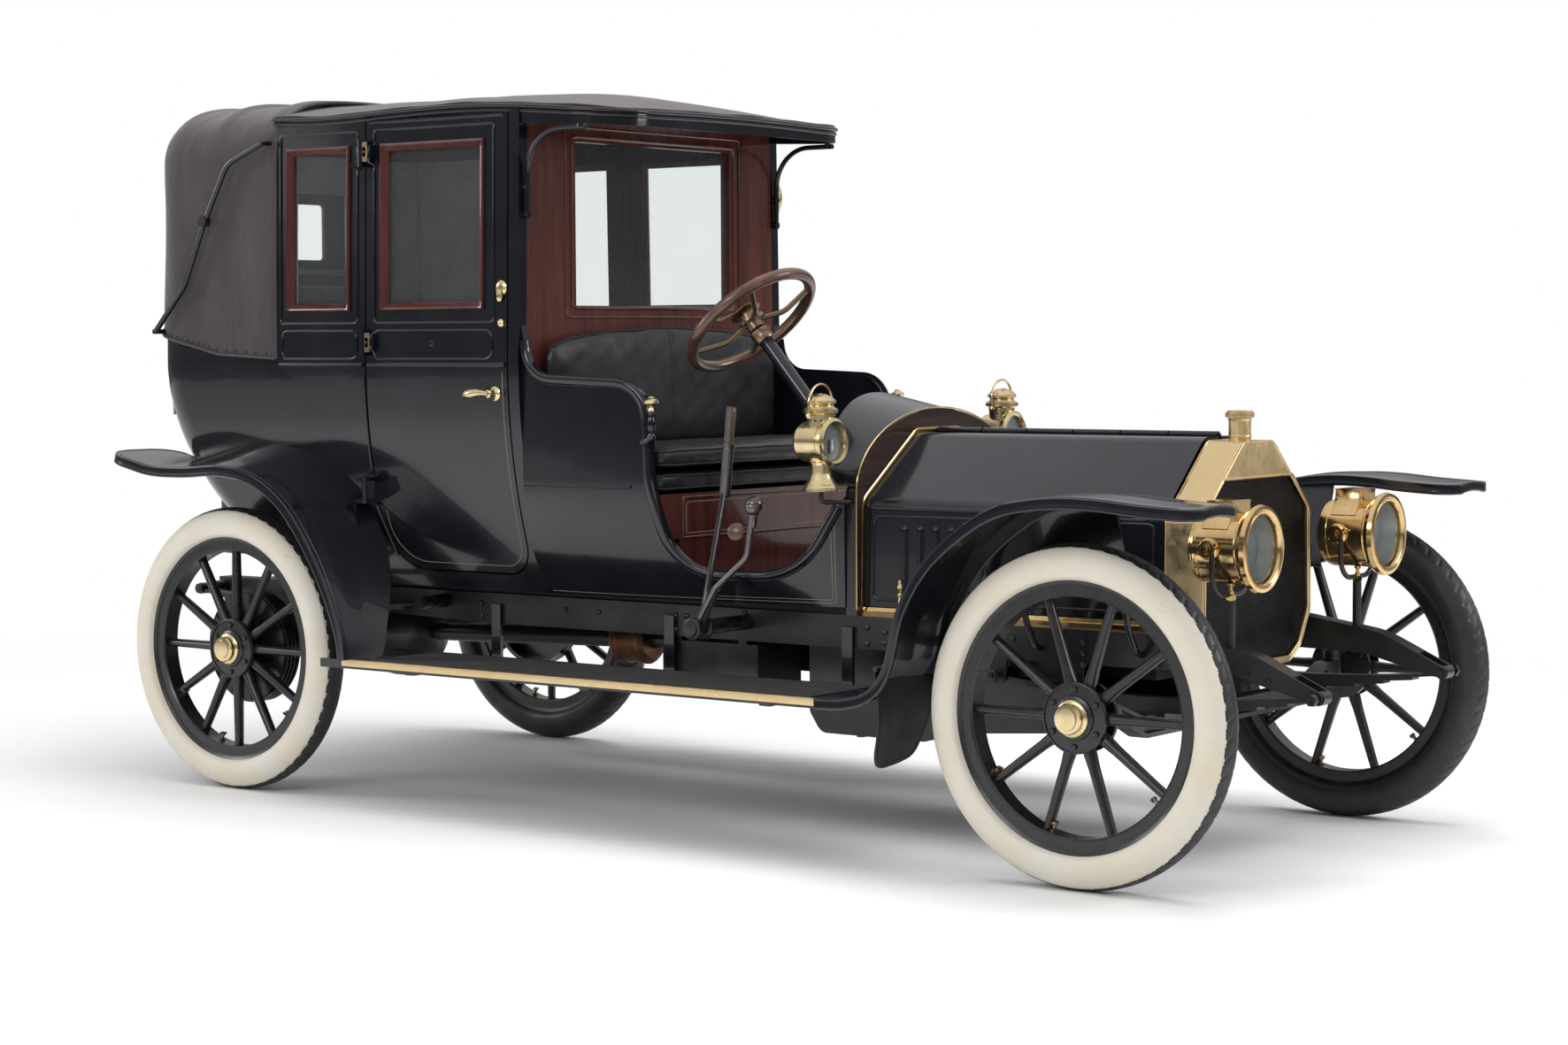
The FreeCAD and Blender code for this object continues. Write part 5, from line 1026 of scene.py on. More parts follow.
def roofCover(sizes):
    # fabric over the roof: rays find the boards; it rises over each bow and waves along its edge
    tree = nodeTree("roof")
    along = np.concatenate([np.linspace(sizes["rear"], -1.86, 70),
                            sizes["front"] - sizes["corner"] + sizes["corner"]
                            * np.sin(np.linspace(0.1, math.pi / 2 - 0.02, 16))])
    across = np.sin(np.linspace(-math.pi / 2, math.pi / 2, 61))
    half = roofHalf(along, sizes) - 0.004
    grid = np.zeros((len(along), len(across), 3))
    grid[..., 0] = along[:, None] + frontAxle
    grid[..., 1] = half[:, None] * across
    for i in range(len(along)):
        hits = [tree.ray_cast(Vector((grid[i, j, 0] - 0.001, grid[i, j, 1] * 0.995, 3)),
                              Vector((0, 0, -1)))[0] for j in range(len(across))]
        grid[i, :, 2] = [hit.z if hit else 2.08 for hit in hits]
    bow = sum(np.exp(-((along - x) / 0.05) ** 2) for x in sizes["bows"])
    wave = 0.0015 * np.sin(along * 31) + 0.0012 * np.sin(along * 73 + 1.3)
    edge = np.abs(across) ** 6
    rise = sizes["lift"] + 0.003 * bow[:, None] * (1 - across ** 4)
    grid[..., 2] += rise + (np.abs(wave)[:, None] + 0.001) * edge
    grid[..., 2] += 0.0012 * np.sin(along * 14)[:, None] * np.sin(across * 5 + 0.6) * (1 - edge)
    middle = grid[:, len(across) // 2, 2]
    dip = np.where(along < sizes["bows"][1], np.clip(sizes["crest"] - middle, 0, None), 0)
    grid[..., 2] += dip[:, None] * (1 - np.abs(across) ** 2.5)
    low = grid.copy()
    low[..., 2] -= 0.004
    rim = np.concatenate([grid, low[:, ::-1]], 1)
    shape = surface(rim, False, True)
    ends = [np.stack([grid[k], low[k]]) for k in (0, -1)]
    piece = addPiece("roof_cover", [shape] + [surface(end) for end in ends], roofCloth, "chassis", 60)


def roofEdge(sizes):
    # the path round the roof's edge, from one rear corner to the other
    x = np.concatenate([np.linspace(sizes["rear"], sizes["front"] - sizes["corner"], 60),
                        sizes["front"] - sizes["corner"] + sizes["corner"]
                        * np.sin(np.linspace(0.08, math.pi / 2, 18))])
    half = roofHalf(x, sizes)
    right = np.stack([x, -half], 1)
    front = np.stack([np.full(30, sizes["front"]), np.linspace(-half[-1], half[-1], 32)[1:-1]], 1)
    left = right[::-1] * (1, -1)
    return evenly(np.concatenate([right, front, left]), 0.02)


def roofMouldings(sizes):
    # two black half-round mouldings round the roof's edge with a plain band between them
    plan = roofEdge(sizes)
    tree = nodeTree("roof")
    tangent = frames(plan)
    outward = np.stack([tangent[:, 1], -tangent[:, 0]], 1)
    inner = plan - outward * 0.01
    tops = [tree.ray_cast(Vector((p[0] + frontAxle, p[1], 3)), Vector((0, 0, -1)))[0] for p in inner]
    height = np.array([hit.z if hit else 2.085 for hit in tops])
    height = np.convolve(np.pad(height, 3, "edge"), np.ones(7) / 7, "valid")
    normal = np.concatenate([outward, np.zeros((len(plan), 1))], 1)
    shapes = []
    for drop, wide, deep in sizes["mouldings"]:
        path = np.stack([plan[:, 0] + frontAxle, plan[:, 1], height - drop], 1)
        shapes.append(ribbon(path, normal, bead(wide, deep, 7, 0.004)))
    addPiece("roof_mouldings", shapes, coachBlack, "chassis", 60)
    hem = np.stack([plan[:, 0] + frontAxle, plan[:, 1], height + 0.0035], 1) - normal * 0.005
    gone = np.concatenate([[0], np.cumsum(np.linalg.norm(np.diff(plan, axis=0), axis=1))])
    hem[:, 2] += 0.0022 * np.sin(gone * 22) * np.sin(gone * 5.3 + 1) + 0.001
    addPiece("roof_hem", [tube(hem, 0.0042, 8)], roofCloth, "chassis", 60)


def canopyLining(sizes):
    # mahogany boards under the canopy: narrow planks, drawn in at the front corners
    tree = nodeTree("roof")
    along = np.linspace(-1.965, sizes["front"] - 0.022, 26)
    half = roofHalf(along, sizes) - 0.022
    planks = np.linspace(-1, 1, 97)
    groove = 0.0012 * (np.abs((planks * 12) % 1 - 0.5) > 0.42)
    grid = np.zeros((len(along), len(planks), 3))
    grid[..., 0] = along[:, None] + frontAxle
    grid[..., 1] = half[:, None] * planks
    for i in range(len(along)):
        hits = [tree.ray_cast(Vector((grid[i, j, 0], grid[i, j, 1] * 0.97, 1.8)),
                              Vector((0, 0, 1)))[0] for j in range(len(planks))]
        grid[i, :, 2] = [hit.z if hit else 2.05 for hit in hits]
    grid[..., 2] += groove - 0.003
    upper = grid + (0, 0, 0.002)
    addPiece("canopy_lining", [surface(grid), surface(upper)], mahogany, "chassis", 60)


topSizes = {
    "front": -2.986,
    "rear": -3.6045,
    "half": 0.637,
    "corner": 0.17,
    "edge": 1.955,
    "top": 2.1635,
    "window": (0.2, 1.655, 1.88),
    "bows": (-3.05, -3.27, -3.47),
}


def landauTop(sizes):
    # a hood of one sheet: up the walls round the rear corners, then over in a flattened arch;
    # height rises as a sine and the plan draws in as the fifth root of a cosine
    half, corner, rear, front = sizes["half"], sizes["corner"], sizes["rear"], sizes["front"]
    yWindow = sizes["window"][0]
    side = np.linspace(front, rear + corner, 34)
    bend = np.linspace(0, math.pi / 2, 16)[1:]
    back = np.concatenate([np.linspace(-(half - corner), -yWindow, 9)[1:],
                           np.linspace(-yWindow, yWindow, 13)[1:],
                           np.linspace(yWindow, half - corner, 9)[1:]])
    right = np.stack([side, np.full(34, -half)], 1)
    turn = np.stack([rear + corner - corner * np.sin(bend), -(half - corner) - corner * np.cos(bend)], 1)
    plan = np.concatenate([right, turn, np.stack([np.full(len(back), rear), back], 1),
                           (turn[:-1] * (1, -1))[::-1], (right * (1, -1))[::-1]])
    lowEdge = np.interp(-plan[:, 0], (2.986, 3.246, 3.6), (1.337, 1.351, 1.428))
    lower = lowEdge[:, None] + (sizes["window"][1] - lowEdge[:, None]) * np.linspace(0, 1, 13)
    middle = np.linspace(sizes["window"][1], sizes["window"][2], 10)[1:]
    upper = np.linspace(sizes["window"][2], sizes["edge"], 6)[1:]
    rise = np.concatenate([lower, np.broadcast_to(np.concatenate([middle, upper]), (len(plan), 14))], 1)
    shareUp = (rise - 1.33) / (sizes["top"] - 1.33)
    inward = 1 - 0.02 * shareUp
    centre = np.stack([np.clip(plan[:, 0], rear + 0.32, None), np.zeros(len(plan))], 1)
    over = np.linspace(0, math.pi / 2, 26)[1:]
    spread = np.cos(over) ** 0.34
    spread[-1] = 0
    lift = np.sin(over) ** 0.92
    wallXY = centre[:, None] + (plan - centre)[:, None] * inward[..., None]
    lastXY = wallXY[:, -1]
    crownXY = centre[:, None] + (lastXY - centre)[:, None] * spread[None, :, None]
    crownZ = sizes["edge"] + (sizes["top"] - sizes["edge"]) * lift
    grid = np.concatenate([np.concatenate([wallXY, rise[..., None]], 2),
                           np.concatenate([crownXY,
                                           np.broadcast_to(crownZ, (len(plan), len(over)))[..., None]], 2)],
                                           1)
    # folds: soft vertical waves that grow towards the rear corners, sag between the bows
    x, y, z = grid[..., 0], grid[..., 1], grid[..., 2]
    around = np.concatenate([[0], np.cumsum(np.linalg.norm(np.diff(plan, axis=0), axis=1))])[:, None]
    height = np.clip((z - 1.35) / 0.65, 0, 1)
    fold = (0.0035 * np.sin(around * 15 + height * 2.6) + 0.0025
            * np.sin(around * 33 - height * 4 + 1.1)) * np.sin(np.pi * height)
    fold += 0.004 * np.exp(-((around - 0.55 - 0.25 * (1 - height)) / 0.022) ** 2) * np.sin(np.pi * height)
    outward = grid[..., :2] - centre[:, None]
    outward = outward / np.maximum(np.linalg.norm(outward, axis=2, keepdims=True), 1e-6)
    flatten = np.where((np.abs(y) < yWindow + 0.03) & (x < rear + 0.05), 0.1, 1.0)
    outward *= np.clip(fold * flatten - 0.002, -0.008, 0.0035)[..., None]
    grid[..., :2] += outward
    bows = sum(np.exp(-((x - b) / 0.035) ** 2) for b in sizes["bows"])
    crown = np.clip((z - sizes["edge"]) / (sizes["top"] - sizes["edge"]), 0, 1)
    grid[..., 2] += crown * (-0.012 + 0.012 * np.minimum(bows,
                                                         1)) + crown * 0.002 * np.sin(x * 60) * np.cos(y * 9)
    grid[..., 0] += frontAxle
    points, faces = surface(grid)
    centres = points[faces].mean(1)
    hole = ((np.abs(centres[:, 1]) < yWindow) & (centres[:, 0] < rear + frontAxle + 0.05)
            & (centres[:, 2] > sizes["window"][1]) & (centres[:, 2] < sizes["window"][2]))
    piece = addPiece("landau_cover", [(points, faces[~hole])], topLeather, "chassis", 70,
                     ("landau_top",))
    wall = piece.modifiers.new("wall", "SOLIDIFY")
    wall.thickness = 0.004
    wall.offset = -1
    fine = piece.modifiers.new("fine", "SUBSURF")
    fine.levels = fine.render_levels = 1
    edge = grid[:, 0] + (0, 0, 0.004)
    direction = np.concatenate([(plan - centre), np.zeros((len(plan), 1))], 1)
    direction /= np.linalg.norm(direction, axis=1)[:, None]
    piping = tube(evenly(edge + direction * 0.0015, 0.015), 0.006, 8)
    addPiece("landau_piping", [piping], topPiping, "chassis", 60)
    path = evenly(np.concatenate([edge + (0, 0, 0.014), direction], 1), 0.045)
    heads = [turned([(0, 0), (0.0042, 0), (0.0034, 0.002), (0, 0.003)], p[:3] + p[3:] * 0.001, p[3:],
                    8) for p in path[1:-1]]
    addPiece("landau_studs", heads, ironBlack, "chassis", 60)
    frontEdge = np.array([grid[0, k] for k in range(grid.shape[1])]
                         + [grid[-1, k] for k in range(grid.shape[1] - 2, -1, -1)])
    addPiece("landau_front_piping", [tube(evenly(frontEdge + (0.002, 0, 0.0015), 0.02), 0.0065, 8)],
             topPiping, "chassis", 60)
    w, z0, z1 = sizes["window"]
    x = rear + frontAxle - 0.001
    frame = [(x, y, z) for y, z in rounded(box2d(-w + 0.002, w - 0.002, z0 + 0.002, z1 - 0.002, 0.03), True)]
    frame = evenly(np.array(frame), 0.01, True)
    normal = np.broadcast_to((-1.0, 0, 0), frame.shape)
    addPiece("rear_window_frame",
             [ribbon(frame, normal, [(0.016, -0.008), (0.016, 0.003), (0.008, 0.0055), (-0.008, 0.0055),
             (-0.012, 0.002), (-0.012, -0.008)], True)], topPiping, "chassis", 60)
    pane = plate(rounded(box2d(-w + 0.006, w - 0.006, z0 + 0.006, z1 - 0.006, 0.02), True), (x + 0.008, 0, 0),
                 (0, 1, 0), (0, 0, 1), 0.003, 0.0008)
    addPiece("rear_window", [pane], windowGlass, "chassis", 30)


roofCover(roofSizes)
roofMouldings(roofSizes)
canopyLining(roofSizes)
landauTop(topSizes)
print("roof ready")


def softBox(low, high, rounding=(0.3, 0.12), thin=2, steps=(40, 160)):
    # a crowned block: a sphere's directions raised to small powers, thin is the axis it is flattest along
    up = np.linspace(-math.pi / 2, math.pi / 2, steps[0])[:, None]
    turn = np.linspace(-math.pi, math.pi, steps[1], endpoint=False)[None, :]

    def power(value, exponent):
        return np.sign(value) * np.abs(value) ** exponent

    girth = power(np.cos(up), rounding[0])
    parts = [girth * power(np.cos(turn), rounding[1]), girth * power(np.sin(turn), rounding[1]),
             np.broadcast_to(power(np.sin(up), rounding[0]), (steps[0], steps[1]))]
    order = {2: (0, 1, 2), 0: (2, 0, 1)}[thin]
    low, high = np.array(low), np.array(high)
    grid = np.stack([parts[k] for k in order], -1) * (high - low) / 2 + (high + low) / 2
    return surface(grid, False, True)


def meshPoints(mesh):
    # a mesh's points as rows
    points = np.zeros(len(mesh.vertices) * 3)
    mesh.vertices.foreach_get("co", points)
    return points.reshape(-1, 3)


def puffed(piece, voxel, pressure, cap, low, high):
    # stuffing: the piece is remeshed, swollen as cloth under pressure and kept in its space
    scene = bpy.context.scene
    remesh = piece.modifiers.new("remesh", "REMESH")
    remesh.mode = "VOXEL"
    remesh.voxel_size = voxel
    remesh.use_smooth_shade = True

    def applied():
        scene.view_layers[0].update()
        made = bpy.data.meshes.new_from_object(piece.evaluated_get(bpy.context.evaluated_depsgraph_get()))
        piece.modifiers.clear()
        materials = list(piece.data.materials)
        piece.data = made
        made.materials.clear()
        for material in materials:
            made.materials.append(material)

    applied()
    start = meshPoints(piece.data)
    cloth = piece.modifiers.new("cloth", "CLOTH")
    cloth.settings.use_pressure = True
    cloth.settings.uniform_pressure_force = pressure
    cloth.settings.effector_weights.gravity = 0
    cloth.settings.quality = 5
    for number in range(1, 21):
        scene.frame_set(number)
    applied()
    scene.frame_set(1)
    moved = meshPoints(piece.data) - start
    length = np.linalg.norm(moved, axis=1)[:, None]
    points = start + moved * np.minimum(1, cap / np.maximum(length, 1e-9))
    points = np.clip(points, low, high)
    piece.data.vertices.foreach_set("co", points.ravel())
    piece.data.polygons.foreach_set("use_smooth", np.ones(len(piece.data.polygons), bool))
    piece.data.update()
    return points


def creased(piece, sizes):
    # short soft creases: crossed waves along the length and height, strongest where the face looks forward
    points = meshPoints(piece.data)
    normals = np.zeros(len(points) * 3)
    piece.data.vertices.foreach_get("normal", normals)
    normals = normals.reshape(-1, 3)
    y, z = points[:, 1], points[:, 2]
    wave = sum(height * np.sin(y * along + z * upward + shift) for along, upward, shift,
               height in sizes["waves"])
    faceOut = np.clip(normals[:, 0], 0, 1) * sizes["front"] + np.clip(normals[:, 2], 0, 1) * sizes["top"]
    ridge = np.abs(wave) ** 1.5 * np.sign(wave)
    points += normals * (ridge * faceOut)[:, None]
    piece.data.vertices.foreach_set("co", points.ravel())
    piece.data.update()


driverSeat = {
    "lower": ((-1.905, -0.553, 0.951), (-1.508, 0.553, 1.02)),
    "upper": ((-1.905, -0.555, 1.02), (-1.5, 0.555, 1.092)),
    "back": ((-1.974, -0.56, 1.062), (-1.907, 0.56, 1.402)),
    "crown": 0.048,  # the back's top is higher in its middle
    "voxel": 0.0115,
    "pressure": 4.0,
    "cap": 0.007,
    "start": 0.006,
    "piping": 0.0032,
    "waves": ((31.0, 60.0, 0.4, 0.8), (53.0, -75.0, 1.7, 0.6), (87.0, 40.0, 0.2, 0.4),
              (19.0, -30.0, 2.6, 0.6),
              (140.0, 95.0, 1.1, 0.25)),
    "front": 0.0006,
    "top": 0.0004,
}


def boxEdge(low, high, corner, height):
    # the rounded oblong round a cushion at one height
    line = rounded([(low[0], low[1], corner), (high[0], low[1], corner), (high[0], high[1], corner),
                    (low[0], high[1], corner)], True)
    line = evenly(line, 0.012, True)
    return np.concatenate([line, np.full((len(line), 1), height)], 1)


def pipingRound(piece, path, radius, lift=0.4, closed=True):
    # a tube along the nearest points of the piece, lifted off it by a share of its radius
    places, normals = snapped(meshTree([piece.data]), path)
    return tube(places + normals * radius * lift, radius, 8, closed)


def makeCushion(name, label, material, seat, rounding=(0.3, 0.12), thin=2, crown=0.0):
    # a soft box between two corners, raised by a parabola across, puffed and creased
    low, high = (np.array(corner) + (frontAxle, 0, 0) for corner in seat[label])
    top = np.array(high)
    points, faces = softBox(low + seat["start"], high - seat["start"], rounding, thin)
    share = (points[:, 2] - low[2]) / (high[2] - low[2])
    rise = crown * np.clip(share, 0, 1) * (1 - (points[:, 1] / high[1]) ** 2)
    points = points + np.stack([rise * 0, rise * 0, rise], 1)
    top[2] += crown
    piece = addPiece(name, [(points, faces)], material, "chassis", 60)
    puffed(piece, seat["voxel"], seat["pressure"], seat["cap"], low, top)
    creased(piece, seat)
    subdivide = piece.modifiers.new("smooth", "SUBSURF")
    subdivide.levels = subdivide.render_levels = 1
    return piece, low, top


def driverCushions(seat):
    # two seat cushions and a back, with piping, a middle seam and its stitches
    trims = []
    for label in ("lower", "upper"):
        piece, low, high = makeCushion("cushion_" + label, label, seatLeather, seat)
        if label == "lower":
            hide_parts("driver_cushions")
        for height in (0.82, 0.14):
            path = boxEdge(low + 0.01, high - 0.01, 0.05, low[2] + (high[2] - low[2]) * height)
            trims.append(pipingRound(piece, path, seat["piping"]))
    piece, low, high = makeCushion("seat_back", "back", seatLeather, seat, (0.5, 0.2), 0,
                                   seat["crown"])
    y = np.linspace(-0.545, 0.545, 90)
    edge = np.stack([np.full(90, low[0] + 0.052), y, 1.386 + seat["crown"] * (1 - (y / 0.562) ** 2)], 1)
    trims.append(pipingRound(piece, edge, 0.0026, closed=False))
    z = np.linspace(1.1, 1.44, 60)
    seam = np.stack([np.full(60, high[0] + 0.02), np.full(60, 0.0), z], 1)
    places, normals = laid(meshTree([piece.data]), seam, (-1, 0, 0))
    trims.append(ribbon(places, normals, bead(0.007, 0.0014)))
    stitches = [tube([p - (0, 0, 0.0028), p + n * 0.0008, p + (0, 0, 0.0028)], 0.0007, 6)
                for s in (-0.009, 0.009) for p, n in zip(places[1:-1] + (0, s, 0), normals[1:-1])]
    addPiece("seat_piping", trims, seatLeather, "chassis", 60)
    addPiece("seat_stitches", stitches, topPiping, "chassis", 60)


rearSeat = {
    "cushion": ((-3.39, -0.518, 0.991), (-2.902, 0.518, 1.14)),
    "back": ((-3.5, -0.468, 1.142), (-3.405, 0.468, 1.6)),
    "voxel": 0.014,
    "pressure": 4.0,
    "cap": 0.01,
    "start": 0.008,
    "waves": ((9.0, 20.0, 0.3, 0.6), (23.0, -14.0, 1.3, 0.4)),
    "front": 0.001,
    "top": 0.001,
}


def rearCushions(seat):
    # seat and back of the closed cabin, with piping and seams, over a plain box
    cushion, low, high = makeCushion("rear_cushion", "cushion", cabinCloth, seat, (0.35, 0.15))
    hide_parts("rear_cushions")
    trims = [pipingRound(cushion, boxEdge(low + 0.014, high - 0.014, 0.05, high[2] - 0.022), 0.004)]
    back, low, high = makeCushion("rear_back", "back", cabinCloth, seat, (0.4, 0.2), 0)
    tree = meshTree([back.data])
    for y in (-0.235, 0.0, 0.235):
        z = np.linspace(low[2] + 0.03, high[2] - 0.03, 40)
        places, normals = laid(tree, np.stack([np.full(40, high[0] + 0.05), np.full(40, y), z], 1),
                               (-1, 0, 0))
        trims.append(ribbon(places, normals, bead(0.008, 0.002)))
    addPiece("rear_piping", trims, cabinCloth, "chassis", 60)
    box = softBox(at(-3.385, -0.516, 0.71), at(-2.925, 0.516, 0.991), (0.05, 0.05))
    addPiece("rear_seat_box", [box], cabinCloth, "chassis", 40)


driverCushions(driverSeat)
rearCushions(rearSeat)


def seatTrim():
    # mahogany heel board with an inlaid line, and the knobs that end the seat's arm irons
    base = nodeTree("seat_base")
    line = rounded([(-0.42, 0.835, 0.0), (0.42, 0.835, 0.0), (0.42, 0.925, 0.0), (-0.42, 0.925, 0.0)], True)
    addPiece("heel_board_line", [onFront(base, line, -1.2, flat(0.003), 0.02, True)], stripePaint, "chassis")
    moulding = rounded([(-0.436, 0.822, 0), (0.436, 0.822, 0), (0.436, 0.938, 0), (-0.436, 0.938, 0)], True)
    addPiece("heel_board_edge", [onFront(base, moulding, -1.2, bead(0.008, 0.003), 0.02, True)], mahogany,
             "chassis")
    knob = [(0, 0), (0.008, 0.0), (0.008, 0.006), (0.006, 0.01), (0.006, 0.014), (0.014, 0.018),
            (0.021, 0.024),
            (0.022, 0.03), (0.017, 0.036), (0.01, 0.039), (0.0075, 0.043), (0, 0.0445)]
    iron = [(0, 0), (0.01, 0), (0.012, 0.008), (0.008, 0.016), (0.011, 0.03), (0.013, 0.046), (0.009, 0.06),
            (0.0075, 0.072), (0.01, 0.078), (0, 0.079)]
    for side, out in sides:
        foot = at(-1.494, out * 0.612, 1.112)
        addPiece("arm_knob_" + side, [turned(knob, foot + (0, 0, 0.078), (0, 0, 1), 32)], paleBrass,
                 "chassis", 30)
        bracket = [turned(iron, foot, (0, 0, 1), 24),
                   tube([foot + (-0.035, 0, -0.012), foot + (-0.012, 0, -0.004),
                                                             foot + (0, 0, 0.012)], (0.008, 0.009, 0.007),
                                                             10)]
        addPiece("arm_iron_" + side, bracket, coachBlack, "chassis", 40)


seatTrim()
print("seats ready")


radiatorSizes = {
    # half outline of the face and of its opening: sideways, height, corner radius
    "outline": ((0.083, 1.116, 0.026), (0.304, 0.919, 0.026), (0.308, 0.64, 0.024), (0.252, 0.545, 0.02),
                (0.19, 0.505, 0.016)),
    "opening": ((0.196, 1.019, 0.004), (0.2886, 0.928, 0.008), (0.2926, 0.644, 0.012), (0.242, 0.556, 0.012),
                (0.184, 0.52, 0.01)),
    "face": 0.105,
    "back": -0.007,
    "core": 0.0935,
    "pitch": (0.007, 0.006),
}


def wholeOutline(half, inset=0.0):
    # both halves of an outline as one closed line, going round from the top right
    corners = [(y, z, r) for y, z, r in half] + [(-y, z, r) for y, z, r in half[::-1]]
    line = rounded(corners, True, 6)
    if inset:
        middle = line.mean(0)
        line = middle + (line - middle) * (1 - inset / np.linalg.norm(line - middle, axis=1)[:, None])
    return line


def ringAt(line, x, outline, step=0.012):
    # a strip round a closed (y, z) line in the plane at x, standing forward of it
    line = evenly(line, step, True)
    places = inPlane(x, line)
    return ribbon(places, np.broadcast_to((1.0, 0, 0), places.shape), outline, True)


def halfWidthAt(corners, heights):
    # how far the opening reaches sideways at each height
    y, z = np.array(corners)[:, 0], np.array(corners)[:, 1]
    return np.interp(heights, z[::-1], y[::-1])


def radiatorTrim(sizes):
    # beads round the face and filler, slope facings, and the core's crossed strips
    opening = wholeOutline(sizes["opening"])
    face = sizes["face"]
    outer = wholeOutline(sizes["outline"])
    trim = [
        ringAt(opening, face, bead(0.008, 0.004, 9, 0.002)),
        ringAt(wholeOutline(sizes["outline"], 0.004), face - 0.001, bead(0.007, 0.0035, 7, 0.001)),
    ]
    line = evenly(outer, 0.012, True)
    back = inPlane(sizes["back"] + 0.004, line)
    trim.append(tube(back, 0.0024, 8, True))
    for height, radius, thick in ((1.128, 0.0315, 0.0025), (1.172, 0.0315, 0.0025), (1.1945, 0.033, 0.002)):
        centre = at(0.049, 0, height)
        trim.append(turned([(radius - 0.004, -thick), (radius, -thick), (radius + 0.0012, 0), (radius, thick),
                            (radius - 0.004, thick)], centre, (0, 0, 1), 48, True))
    ribs = 40
    angle = fullTurn(ribs)
    knurls = np.stack([0.0378 * np.cos(angle), 0.0378 * np.sin(angle), np.zeros(ribs)],
                      1) + at(0.049, 0, 1.1805)
    trim.append(studs(knurls, (0, 0, 1), [(0, 0), (0.0016, 0.0005), (0.0016, 0.0085), (0, 0.009)], 6))
    addPiece("radiator_beads", trim, satinBrass, "chassis", 40)
    # facings over the shell's two slopes, which also close the cut that the core left in them
    facings = []
    for out in (-1, 1):
        ends = [at(0.0035, out * 0.0955, 1.1065), at(0.0035, out * 0.2905, 0.9305)][::out]
        up = ends[1] - ends[0]
        length = np.linalg.norm(up)
        up = up / length
        outward = np.cross((1.0, 0, 0), up)
        outline = [(0, 0), (0.1005, 0), (0.1005, length), (0, length)]
        facings.append(plate(outline, ends[0] - outward * 0.0003, (1.0, 0, 0), up, 0.0037, 0.001))
    addPiece("radiator_facings", facings, satinBrass, "chassis", 30)
    # the core: fine upright and level strips that end at the opening's edge
    low, high = 0.524, 1.0165
    strips = []

    def strip(first, last, across, deep=0.0045, thick=0.0014):
        first, last = np.array(first), np.array(last)
        offset = np.array(across) * thick / 2
        ring = [first - offset, first + offset, last + offset, last - offset]
        front = np.array(ring) + (deep, 0, 0)
        grid = np.stack([np.array(ring), front])
        cap = (front, np.array([(0, 1, 2, 3)]))
        return [surface(grid, False, True), cap]

    heights = np.arange(low, high, sizes["pitch"][1])
    for z, half in zip(heights, halfWidthAt(sizes["opening"], heights)):
        strips += strip(at(sizes["core"], -half, z), at(sizes["core"], half, z), (0, 0, 1))
    for y in np.arange(-0.287, 0.2875, sizes["pitch"][0]):
        corners = np.array(sizes["opening"])
        top = np.interp(abs(y), [0.196, 0.2886], [1.017, 0.928])
        bottom = np.interp(abs(y), corners[::-1, 0][:3], corners[::-1, 1][:3]) if abs(y) < 0.2926 else 0.644
        strips += strip(at(sizes["core"], y, bottom), at(sizes["core"], y, top), (0, 1, 0), 0.0035)
    addPiece("core_strips", strips, coreMesh, "chassis", 20)


bonnetSizes = {
    "rear": -0.9245,
    "front": -0.0125,
    "panel": (-0.898, -0.04, 0.668, 0.902, 0.016),
    "louvres": 7,
    "first": -0.798,
    "pitch": 0.049,
    "louvreWidth": 0.023,
    "louvreHeight": (0.69, 0.88),
    "louvreDepth": 0.011,
    "hinge": 1.13,
}


def louvre(tree, x, out, sizes):
    # a pressed slat: a half-round swelling, closed at its rounded top and foot, that opens to the rear
    width, (low, high) = sizes["louvreWidth"], sizes["louvreHeight"]
    along = np.linspace(0, 1, 28)
    height = low + (high - low) * along
    fade = np.sqrt(np.clip(1 - np.clip((np.abs(along - 0.5) - 0.44) / 0.06, 0, 1) ** 2, 0, 1))
    across = np.linspace(0, 1, 9)
    swell = np.sin(across * math.pi) ** 0.8
    starts = [(x + frontAxle, out * 1.2, z) for z in height]
    places, normals = laid(tree, starts, (0, -out, 0))
    reach = (across - 0.5) * width
    grid = (places[:, None] + fade[:, None, None] ** 0.5 * reach[None, :, None] * np.array((1, 0, 0))
            + normals[:, None] * (swell[None, :, None] * fade[:, None, None] * sizes["louvreDepth"] - 0.0012))
    return surface(grid)


